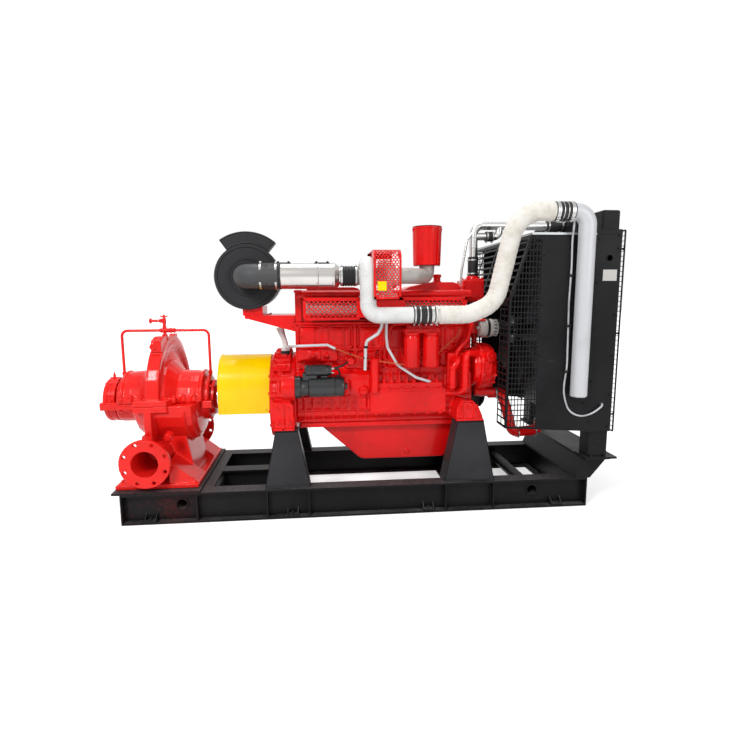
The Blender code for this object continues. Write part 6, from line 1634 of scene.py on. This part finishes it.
def makeCharge(s):
    x, y, low = s["chargeX"], s["chargeY"], s["chargeLow"]
    form = Form()
    riser = [(x, -0.3893, 1.465), (x, y, 1.465), (x, y, low), (0.300, y, low)]
    form.pipe(roundedPath(riser, 0.062, 10), s["charge"], 40)
    form.lathe([(0.030, 0), (0.0445, 0.0005), (0.0465, 0.004), (0.0465, 0.010), (0.0445, 0.013), (0.030, 0.013)],
               (x, -0.394, 1.465), (0, -1, 0), 40, closed=True)
    for z in (1.395, 1.252):
        form.lathe([(0.044, 0), (0.0462, 0.002), (0.0462, 0.005), (0.044, 0.007)], (x, y, z), (0, 0, 1), 40, closed=True)
    form.drum((x + 0.03, y - 0.043, low - 0.004), (x + 0.03, y - 0.052, low - 0.004), 0.007, sides=6)
    form.done("chargePipe", "pipe_cast", stands=["charge_pipe"])
    hose = Form()
    soft = [(0.044, 0), (0.049, 0.001), (0.050, 0.004), (0.050, 0.050), (0.0512, 0.062), (0.050, 0.074), (0.050, 0.119)]
    soft += [(0.049, 0.122), (0.044, 0.123)]
    hose.lathe(soft, (0.2805, y, low), (1, 0, 0), 44, closed=True)
    hose.drum((0.29, y, low), (0.40, y, low), 0.0445, sides=32)
    hose.done("chargeHose", "black_rubber")
    clamps = Form()
    for at, wide in ((0.290, 0.008), (0.318, 0.006), (0.358, 0.006), (0.389, 0.016)):
        clamps.band((at, y, low), (1, 0, 0), 0.0500, wide, screwAngle=200)
    clamps.done("chargeClamps", "clamp_steel")


def windings(points, radius, pitch, sides, form):
    # Runs a pipe in short steps, each winding of the wrap a little over the one before
    route = [Vector(p) for p in points]
    fine, along = [route[0]], [0.0]
    for a, b in zip(route, route[1:]):
        count = max(int((b - a).length / 0.0042), 1)
        for n in range(1, count + 1):
            fine.append(a.lerp(b, n / count))
    for a, b in zip(fine, fine[1:]):
        along.append(along[-1] + (b - a).length)
    widths = [0.984 + 0.044 * (1.0 - (distance % pitch) / pitch) for distance in along]
    form.pipe(fine, radius, sides, widths=widths)


def makeWrappedPipe(s):
    y, low, high = s["chargeY"], s["chargeLow"], s["highZ"]
    route = [(0.4043, y, low), (0.60, y, low), (0.745, y - 0.013, low + 0.063), (0.815, s["highY"] + 0.026, high - 0.078)]
    route += [(0.90, s["highY"], high), (1.0197, s["highY"], high)]
    form = Form()
    windings(roundedPath(route, 0.16, 14), s["wrap"], s["wrapPitch"], 36, form)
    form.done("wrappedPipe", "pipe_wrap", stands=["wrapped_charge_pipe"], angle=50)
    rings = Form()
    rings.band((0.420, y, low), (1, 0, 0), 0.0522, 0.010, screwAngle=200)
    rings.done("wrapClamp", "clamp_steel")


def makeHeader(s):
    y, z, x = s["highY"], s["highZ"], 1.217
    form = Form()
    route = [(1.06, y, z), (x, y, z), (x, y, 0.734)]
    form.pipe(roundedPath(route, 0.075, 12), 0.0458, 40)
    form.lathe([(0.0458, 0), (0.0455, 0.006), (0.040, 0.0115), (0.028, 0.012), (0, 0.012)], (x, y, 0.7345), (0, 0, -1), 40)
    form.done("radiatorHeader", "pipe_grey", stands=["radiator_charge_pipe"])
    hose = Form()
    soft = [(0.046, 0), (0.0505, 0.001), (0.0515, 0.005), (0.0515, 0.105), (0.0505, 0.1085), (0.046, 0.109)]
    hose.lathe(soft, (1.0205, y, z), (1, 0, 0), 44, closed=True)
    hose.drum((1.022, y, z), (1.09, y, z), 0.0462, sides=32)
    hose.done("highHose", "black_rubber")
    clamps = Form()
    for at in (1.0345, 1.1140):
        clamps.band((at, y, z), (1, 0, 0), 0.0508, 0.019, screwAngle=150, thick=0.001)
        clamps.drum((at, y - 0.0478, z - 0.022), (at, y - 0.0478, z + 0.022), 0.0035, sides=10)
    for at in (1.062, 1.086):
        clamps.band((at, y, z), (1, 0, 0), 0.0509, 0.004, screwAngle=190, thick=0.0008)
    clamps.done("highHoseClamps", "clamp_steel")


makeAirFilter(air)
makeIntake(air)
makeTurbo(air)
makeExhaustCover()
makeShields()
makeCharge(air)
makeWrappedPipe(air)
makeHeader(air)
print("air side made")


# Cooling side

cooling = {
    "left": 0.813,
    "bend": 1.265,
    "topLeft": 0.924,
    "right": 1.2985,
    "bottom": 0.535,
    "top": 1.622,
    "half": 0.50,
    "netRight": 0.985,
    "pitchX": 0.0195,
    "pitchZ": 0.031,
    "columnLeft": 1.299,
    "columnRight": 1.448,
    "columnTop": 1.648,
    "fanX": 1.06,
    "fanZ": 1.07,
    "fanRadius": 0.378,
    "fanHub": 0.09,
    "blades": 8,
}


def makeShroudSides(s):
    left, bend, topLeft, right, bottom, top = (s[k] for k in ("left", "bend", "topLeft", "right", "bottom", "top"))

    def edgeAt(z):
        return left if z < bend else left + (topLeft - left) * (z - bend) / (top - bend)

    for name, side, node in (("nearShroudSide", -1, "near_shroud_panel"), ("farShroudSide", 1, "far_shroud_panel")):
        form = Form()
        inner, outer = sorted((side * (s["half"] - 0.003), side * s["half"]))
        low, high = inner, outer
        solid = s["netRight"] + 0.005
        plate = [(solid, bottom - 0.010), (right, bottom - 0.030), (right, top), (solid, top)]
        form.slab(plate, low, high, "Y")
        # The frame round the net, then its bars
        frame = [(left, bottom), (left, bend), (topLeft, top), (solid, top)]
        inside = [(solid, top - 0.014), (topLeft + 0.008, top - 0.014), (left + 0.012, bend - 0.002)]
        inside += [(left + 0.012, bottom + 0.012), (solid, bottom + 0.004), (solid, bottom - 0.010)]
        form.slab(frame + inside, low, high, "Y")
        upright = left + 0.012
        while upright < solid - 0.006:
            upright += s["pitchX"]
            ceiling = top - 0.006
            if upright < topLeft:
                ceiling = bend + (upright - left) / (topLeft - left) * (top - bend) - 0.012
            form.block((upright - 0.0022, low + 0.0004, bottom + 0.004), (upright + 0.0022, high - 0.0004, ceiling))
        level = bottom + 0.012
        while level < top - 0.03:
            level += s["pitchZ"]
            form.block((edgeAt(level) + 0.004, low + 0.0002, level - 0.0028), (solid + 0.002, high - 0.0002, level + 0.0028))
        form.done(name, "satin_black", stands=[node])
        trim = Form()
        lip = side * (s["half"] - (0.0005 if side < 0 else 0.0062))
        for z in (1.512, 1.239, 0.952, 0.674):
            trim.bolt((1.005, lip, z), (0, side, 0), 0.0075)
            trim.bolt((1.280, lip, z), (0, side, 0), 0.0075)
        trim.done(name + "Bolts", "satin_black")


def makeShroudFront(s):
    left, bend, topLeft, bottom, top = (s[k] for k in ("left", "bend", "topLeft", "bottom", "top"))
    form = Form()
    inner = s["half"] - 0.0035
    near, far = -0.36, 0.22
    form.block((left, near - 0.012, bottom), (left + 0.003, near, bend - 0.018))
    form.block((left, far, bottom), (left + 0.003, far + 0.012, bend - 0.018))
    form.block((left, -inner, bottom), (left + 0.003, -inner + 0.012, bend))
    form.block((left, inner - 0.012, bottom), (left + 0.003, inner, bend))
    form.block((left, -inner, bend - 0.03), (left + 0.003, inner, bend))
    form.block((left, -inner, bottom), (left + 0.003, near, bottom + 0.014))
    form.block((left, far, bottom), (left + 0.003, inner, bottom + 0.014))
    for a, b in ((-inner, near), (far, inner)):
        level = bottom + 0.014
        while level < bend - 0.045:
            level += 0.037
            form.block((left + 0.0003, a, level - 0.0042), (left + 0.0027, b, level + 0.0042))
        middle = (a + b) / 2
        form.block((left + 0.0003, middle - 0.003, bottom + 0.01), (left + 0.0027, middle + 0.003, bend - 0.02))
    # The slope up to the top: level slats between five rails
    rise = Vector((topLeft - left, top - bend))
    length = rise.length - 0.006
    along = rise.normalized()
    out = Vector((-along[1], along[0])) * 0.0016
    foot = Vector((left + 0.0018, bend))

    def strip(start, stop, y0, y1):
        a, b = foot + along * start, foot + along * stop
        form.slab([tuple(a + out), tuple(b + out), tuple(b - out), tuple(a - out)], y0, y1, "Y")

    strip(-0.002, 0.014, -inner, inner)
    strip(length - 0.016, length, -inner, inner)
    for y in (-inner + 0.010, -0.24, 0.0, 0.24, inner - 0.010):
        strip(0.0, length, y - 0.010, y + 0.010)
    reach = 0.014
    while reach < length - 0.036:
        reach += 0.040
        strip(reach - 0.0055, reach + 0.0055, -inner, inner)
    form.done("shroudFront", "satin_black", stands=["shroud_front"])
    screws = Form()
    for y in (-0.47, -0.24, 0.0, 0.24, 0.47):
        screws.bolt((left - 0.0003, y, bend - 0.015), (-1, 0, 0), 0.007)
    screws.done("shroudFrontBolts", "satin_black")


def makeFan(s):
    x, z, hub, radius = s["fanX"], s["fanZ"], s["fanHub"], s["fanRadius"]
    form = Form()
    profile = [(0.0, -0.034), (0.028, -0.034), (0.030, -0.030), (0.060, -0.028), (0.066, -0.034), (0.082, -0.034)]
    profile += [(0.090, -0.028), (0.090, 0.028), (0.082, 0.034), (0, 0.034)]
    form.lathe(profile, (x, 0, z), (1, 0, 0), 48)
    form.drum((0.831, 0, z), (x - 0.02, 0, z), 0.0298, sides=24)
    for n in range(s["blades"]):
        spin = Matrix.Rotation(2 * math.pi * n / s["blades"], 3, "X")
        rings = []
        for m in range(9):
            share = m / 8
            reach = hub - 0.02 + (radius - hub + 0.02) * share
            pitch = math.radians(36 - 12 * share)
            chord = 0.100 + 0.020 * math.sin(math.pi * share)
            ring = []
            for side in (1, -1):
                steps = range(9) if side > 0 else range(8, -1, -1)
                for k in steps:
                    across = (k / 8 - 0.5) * chord
                    camber = 0.012 * (1 - (2 * k / 8 - 1) ** 2) + side * 0.0018
                    u = across * math.sin(pitch) + camber * math.cos(pitch)
                    v = across * math.cos(pitch) - camber * math.sin(pitch)
                    ring.append(form.mesh.verts.new(spin @ Vector((u, v, reach)) + Vector((x, 0, z))))
            rings.append(ring)
        for a, b in zip(rings, rings[1:]):
            form.skin(a, b)
        form.mesh.faces.new(rings[0])
        form.mesh.faces.new(rings[-1])
    form.done("fanWheel", "satin_black", body="fan_wheel", stands=["fan"], angle=50)
    screws = Form()
    screws.bolts(circleAt((x - 0.0278, 0, z), 0.047, 6), (-1, 0, 0), 0.009)
    screws.done("fanBolts", "bare_steel", body="fan_wheel")


def makeColumns(s):
    right, top = s["columnRight"], s["columnTop"]
    plain = Form()
    for side in (-1, 1):
        proud = 0.0 if side < 0 else 0.0063
        face = side * (s["half"] + 0.0002 - proud)
        for z in (0.53, 0.72, 0.95, 1.18, 1.55, 1.62):
            plain.bolt((right - 0.016, side * (s["half"] - proud), z), (0, side, 0), 0.0075)
        for z in (0.56, 0.80, 1.10, 1.36, 1.60):
            plain.bolt((s["columnLeft"] + 0.016, side * (s["half"] - proud), z), (0, side, 0), 0.0065)
        low, high = sorted((face, face + side * 0.0035))
        plain.block((s["columnLeft"] + 0.001, low, top - 0.020), (right - 0.001, high, top - 0.001))
        for y in (side * 0.41,):
            plain.block((1.345, min(y, y - side * 0.05), 0.336), (1.443, max(y, y - side * 0.05), 0.3385))
    plain.done("columnTrim", "satin_black")
    plate = Form()
    plate.block((1.346, -0.5022, 1.371), (1.428, -0.5002, 1.433))
    plate.done("blankPlate", "light_cast", bevel=0.0008)
    ring = Form()
    for side in (-1, 1):
        ring.lathe([(0.0165, 0), (0.0195, 0), (0.0195, 0.003), (0.0165, 0.003)], (1.381, side * (s["half"] - (0.0 if side < 0 else 0.003)), 1.497),
                   (0, side, 0), 32, closed=True)
    ring.done("columnHoleRims", "satin_black")


def makeTank():
    form = Form()
    left, right, half, low, top = 1.350, 1.455, 0.46, 1.6485, 1.7645
    form.block((left, -half, low), (right, half, top))
    form.done("topTank", "satin_black", stands=["top_tank"], bevel=0.011, angle=30)
    detail = Form()
    detail.block((left - 0.012, -half - 0.012, low + 0.0005), (right + 0.010, half + 0.012, low + 0.009))
    for y in (-0.40, -0.24, -0.08, 0.08, 0.24, 0.40):
        detail.bolt((left - 0.004, y, low + 0.009), (0, 0, 1), 0.006)
        detail.block((left - 0.0022, y + 0.055, low + 0.02), (left + 0.002, y + 0.063, top - 0.02))
    detail.lathe([(0.030, 0), (0.030, 0.006), (0.036, 0.008), (0.036, 0.018), (0.030, 0.022), (0, 0.022)],
                 (1.402, 0.12, top - 0.001), (0, 0, 1), 32)
    detail.block((1.396, 0.085, top + 0.018), (1.408, 0.155, top + 0.0235))
    detail.done("tankTrim", "satin_black", bevel=0.0015)


def makeRearGuard(s):
    form = Form()
    half, low, top = s["half"] - 0.005, 0.50, s["columnTop"]
    x = 1.467
    outer = [(-half, low), (half, low), (half, top), (-half, top)]
    for a, b in zip(outer, outer[1:] + outer[:1]):
        start, stop = (x, a[0], a[1]), (x, b[0], b[1])
        direction = (Vector(stop) - Vector(start)).normalized()
        form.pipe([Vector(start) + direction * 0.001, Vector(stop) - direction * 0.001], 0.0048, 8)
    level = low
    while level < top - 0.05:
        level += 0.028
        form.pipe([(x, -half, level), (x, half, level)], 0.0019, 6)
    for n in range(1, 8):
        y = -half + n * 2 * half / 8
        form.pipe([(x - 0.002, y, low), (x - 0.002, y, top)], 0.0028, 6)
    for side in (-1, 1):
        for z in (low + 0.1, (low + top) / 2, top - 0.1):
            form.drum((s["columnRight"] + 0.0003, side * (half - 0.008), z), (x, side * (half - 0.008), z), 0.005, sides=10)
            form.bolt((x - 0.001, side * (half - 0.008), z), (1, 0, 0), 0.007)
    form.done("rearGuardWires", "satin_black", stands=["rear_guard"])


def makeCoolantPipes():
    x, high = 0.755, 1.733
    base, tank = 1.4183, 1.3497
    low = high - 0.067
    pipe = Form()
    pipe.pipe(roundedPath([(x, 0, base + 0.06), (x, 0, high), (tank - 0.04, 0, high)], 0.055, 10), 0.0258, 28)
    pipe.pipe(roundedPath([(x, 0, low), (x + 0.165, 0, low), (x + 0.165, 0, high)], 0.05, 10), 0.0238, 24)
    pipe.lathe([(0.0255, 0), (0.029, 0.002), (0.029, 0.006), (0.0255, 0.008)], (x, 0, low - 0.075), (0, 0, 1), 28,
               closed=True)
    vent = [(0.668, -0.03, 1.372), (0.672, -0.03, 1.45), (0.704, -0.03, 1.640), (0.745, -0.012, 1.690)]
    pipe.pipe(roundedPath(vent, 0.04, 6), 0.0075, 14)
    pipe.done("coolantPipes", "bare_steel", stands=["coolant_pipe"])
    hose = Form()
    hose.lathe([(0.025, 0), (0.032, 0.001), (0.033, 0.005), (0.033, 0.115), (0.032, 0.119), (0.025, 0.120)],
               (x, 0, base), (0, 0, 1), 32, closed=True)
    hose.lathe([(0.025, 0), (0.032, 0.001), (0.033, 0.005), (0.033, 0.115), (0.032, 0.119), (0.025, 0.1197)],
               (tank - 0.12, 0, high), (1, 0, 0), 32, closed=True)
    hose.lathe([(0.023, 0), (0.030, 0.001), (0.031, 0.004), (0.031, 0.050), (0.030, 0.054), (0.023, 0.055)],
               (x + 0.075, 0, low), (1, 0, 0), 32, closed=True)
    hose.lathe([(0.021, 0), (0.021, 0.12), (0, 0.12)], (x, 0, base + 0.0001), (0, 0, 1), 20)
    hose.lathe([(0.021, 0), (0.021, 0.1195), (0, 0.1195)], (tank - 0.12, 0, high), (1, 0, 0), 20)
    hose.done("coolantHoses", "black_rubber")
    clamps = Form()
    for z in (base + 0.014, base + 0.10):
        clamps.band((x, 0, z), (0, 0, 1), 0.0330, 0.009, screwAngle=200)
    for at in (tank - 0.105, tank - 0.015):
        clamps.band((at, 0, high), (1, 0, 0), 0.0330, 0.009, screwAngle=200)
    for at in (x + 0.085, x + 0.121):
        clamps.band((at, 0, low), (1, 0, 0), 0.0310, 0.008, screwAngle=200)
    clamps.done("coolantClamps", "clamp_steel")
    lower = Form()
    route = [(0.8513, -0.17, 0.68), (0.9113, -0.17, 0.68), (1.01, -0.12, 0.402), (1.20, -0.08, 0.402)]
    route += [(1.2497, -0.04, 0.56), (1.3047, -0.04, 0.56)]
    lower.pipe(roundedPath(route, 0.06, 10), 0.0328, 28)
    lower.done("lowerHose", "engine_red", stands=["lower_coolant_hose"])
    rings = Form()
    for centre, ahead in (((0.868, -0.17, 0.68), (1, 0, 0)), ((1.04, -0.1137, 0.402), (0.978, 0.206, 0)),
                          ((1.17, -0.0863, 0.402), (0.978, 0.206, 0))):
        rings.band(centre, ahead, 0.0328, 0.009, screwAngle=120)
    rings.done("lowerHoseClamps", "clamp_steel")


def makeLead():
    face, header = -0.5045, 1.6917
    lead = Form()
    route = [(1.140, -0.5463, header + 0.004), (1.140, -0.5463, header - 0.037), (1.155, face - 0.002, header - 0.092)]
    route += [(1.160, face, header - 0.239), (1.155, face, header - 0.438), (1.163, face, 0.894), (1.146, face, 0.737)]
    route += [(1.185, face, 0.626), (1.261, face - 0.001, 0.592), (1.335, face - 0.006, 0.615)]
    route += [(1.385, face - 0.018, 0.665), (1.385, face + 0.024, 0.665)]
    lead.pipe(roundedPath(route, 0.4, 8), 0.0052, 14)
    lead.done("sensorLead", "lead_grey", stands=["sensor_lead"])
    form = Form()
    for z in (1.40, 1.12, 0.86):
        form.block((1.146, -0.5115, z - 0.008), (1.170, -0.4995, z + 0.008))
    form.lathe([(0.0056, 0), (0.0145, 0), (0.0145, 0.003), (0.0090, 0.0055), (0.0056, 0.0055)], (1.385, -0.5003, 0.665),
               (0, -1, 0), 28, closed=True)
    form.done("leadClips", "black_rubber", bevel=0.001)


makeShroudSides(cooling)
makeShroudFront(cooling)
makeFan(cooling)
makeColumns(cooling)
makeTank()
makeRearGuard(cooling)
makeCoolantPipes()
makeLead()
print("cooling side made")


# Skid

skid = {
    "beamY": 0.353,
    "halfFlange": 0.047,
    "flange": 0.011,
    "height": 0.18,
    "stiffeners": (-0.96, -0.56, -0.315, 0.50, 0.795),
    "lugs": (-1.226, -0.414, 0.398, 1.198),
    "crossMembers": (-0.925, -0.44, 0.65),
    "web": 0.004,
}


def bead(form, start, end, size, seed):
    # A run of weld with its ripples
    start, end = Vector(start), Vector(end)
    count = max(int((end - start).length / 0.006), 2)
    points = [start.lerp(end, n / count) for n in range(count + 1)]
    widths = [1.0 + 0.22 * math.sin(2.1 * n + seed) for n in range(count + 1)]
    form.pipe(points, size, 6, widths=widths)


def makeSkidWelds(s):
    form = Form()
    low, high = s["flange"], s["height"] - s["flange"]
    for side in (-1, 1):
        outer = side * (s["beamY"] + s["web"])
        for n, x in enumerate(s["stiffeners"]):
            for edge in (-1, 1):
                at = x + edge * s["web"]
                bead(form, (at, outer, low), (at, outer, high), 0.0032, n)
                bead(form, (at, outer, low), (at, side * 0.392, low), 0.0030, n + 1)
                bead(form, (at, outer, high), (at, side * 0.392, high), 0.0030, n + 2)
        # Where the pedestals and the stand meet the beam's top
        for x, half in ((-0.44, 0.132), (0.65, 0.154)):
            bead(form, (x - half, side * 0.3762, 0.1815), (x + half, side * 0.3762, 0.1815), 0.0035, x)
        bead(form, (1.305, side * 0.3985, 0.1812), (1.384, side * 0.3985, 0.1812), 0.0012, 3)
    for x in s["crossMembers"]:
        for edge in (-1, 1):
            at = x + edge * s["web"]
            for side in (-1, 1):
                bead(form, (at, side * 0.347, low + 0.004), (at, side * 0.347, high - 0.004), 0.0032, x)
    form.done("skidWelds", "skid_black")


def makeSkidLugs(s):
    form = Form()
    for side in (-1, 1):
        for x in s["lugs"]:
            low, high = sorted((side * 0.358, side * 0.3995))
            form.block((x - 0.035, low, s["flange"] - 0.001), (x + 0.035, high, s["flange"] + 0.010))
            for edge in (-0.030, 0.030):
                gusset = [(side * 0.358, s["flange"]), (side * 0.397, s["flange"]), (side * 0.397, 0.024), (side * 0.358, 0.055)]
                form.slab(gusset, x + edge - 0.003, x + edge + 0.003, "X")
    form.done("anchorLugs", "skid_black", bevel=0.0015)
    screws = Form()
    for side in (-1, 1):
        for x in s["lugs"]:
            screws.bolt((x, side * 0.380, s["flange"] + 0.0095), (0, 0, 1), 0.010, stud=0.006)
        for x in (-0.478, -0.402):
            screws.bolt((x, side * 0.335, 0.5250), (0, 0, -1), 0.010)
        for x in (0.600, 0.700):
            screws.bolt((x, side * 0.33, 0.5802), (0, 0, 1), 0.011, stud=0.006)
        for x in (1.352, 1.436):
            screws.bolt((x, side * 0.480, 0.3385), (0, 0, 1), 0.009, stud=0.005)
    screws.done("skidBolts", "skid_black")
    ribs = Form()
    for side in (-1, 1):
        # Each pedestal has a stiffening strip along its edges and a plate under its top
        for x, halves, top in ((-0.44, (0.132, 0.064), 0.525), (0.65, (0.154, 0.078), 0.555)):
            for edge in (-1, 1):
                outline = [(x + edge * halves[0], 0.1805), (x + edge * (halves[0] - 0.004), 0.1805)]
                outline += [(x + edge * (halves[1] - 0.004), top - 0.002), (x + edge * halves[1], top - 0.002)]
                low, high = sorted((side * 0.3745, side * 0.3763))
                ribs.slab(outline, low, high, "Y")
            low, high = sorted((side * 0.28, side * 0.3765))
            ribs.block((x - halves[1] - 0.003, low, top - 0.011), (x + halves[1] + 0.003, high, top - 0.001))
    ribs.done("pedestalEdges", "skid_black", bevel=0.0008)


def makeLiftRims():
    form = Form()
    for side in (-1, 1):
        for x in (-1.053, 1.05):
            ring = [(0.0300, 0), (0.0365, 0), (0.0375, 0.002), (0.0365, 0.0045), (0.0300, 0.0045)]
            form.lathe(ring, (x, side * 0.3575, 0.10), (0, side, 0), 32, closed=True)
            rim = [(x + 0.0385 * math.cos(t), side * 0.3575, 0.10 + 0.0385 * math.sin(t))
                   for t in (math.radians(n * 12) for n in range(30))]
            form.pipe(rim, 0.0028, 6, closed=True)
    form.done("liftingRims", "skid_black")


makeSkidWelds(skid)
makeSkidLugs(skid)
makeLiftRims()
print("skid details made")


# Finishes of the solids that stay

slots = {row["node"]: row["material_slot"] for row in frame["record"]["subparts"]}
ownFinish = {"radiator_core": "radiator_core"}
ownFinish.update({name: "pedestal_grey" for name in nodes if "pedestal" in name})
for name, obj in nodes.items():
    material = finishes[ownFinish.get(name, slots[name])]
    obj.data.materials.clear()
    obj.data.materials.append(material)
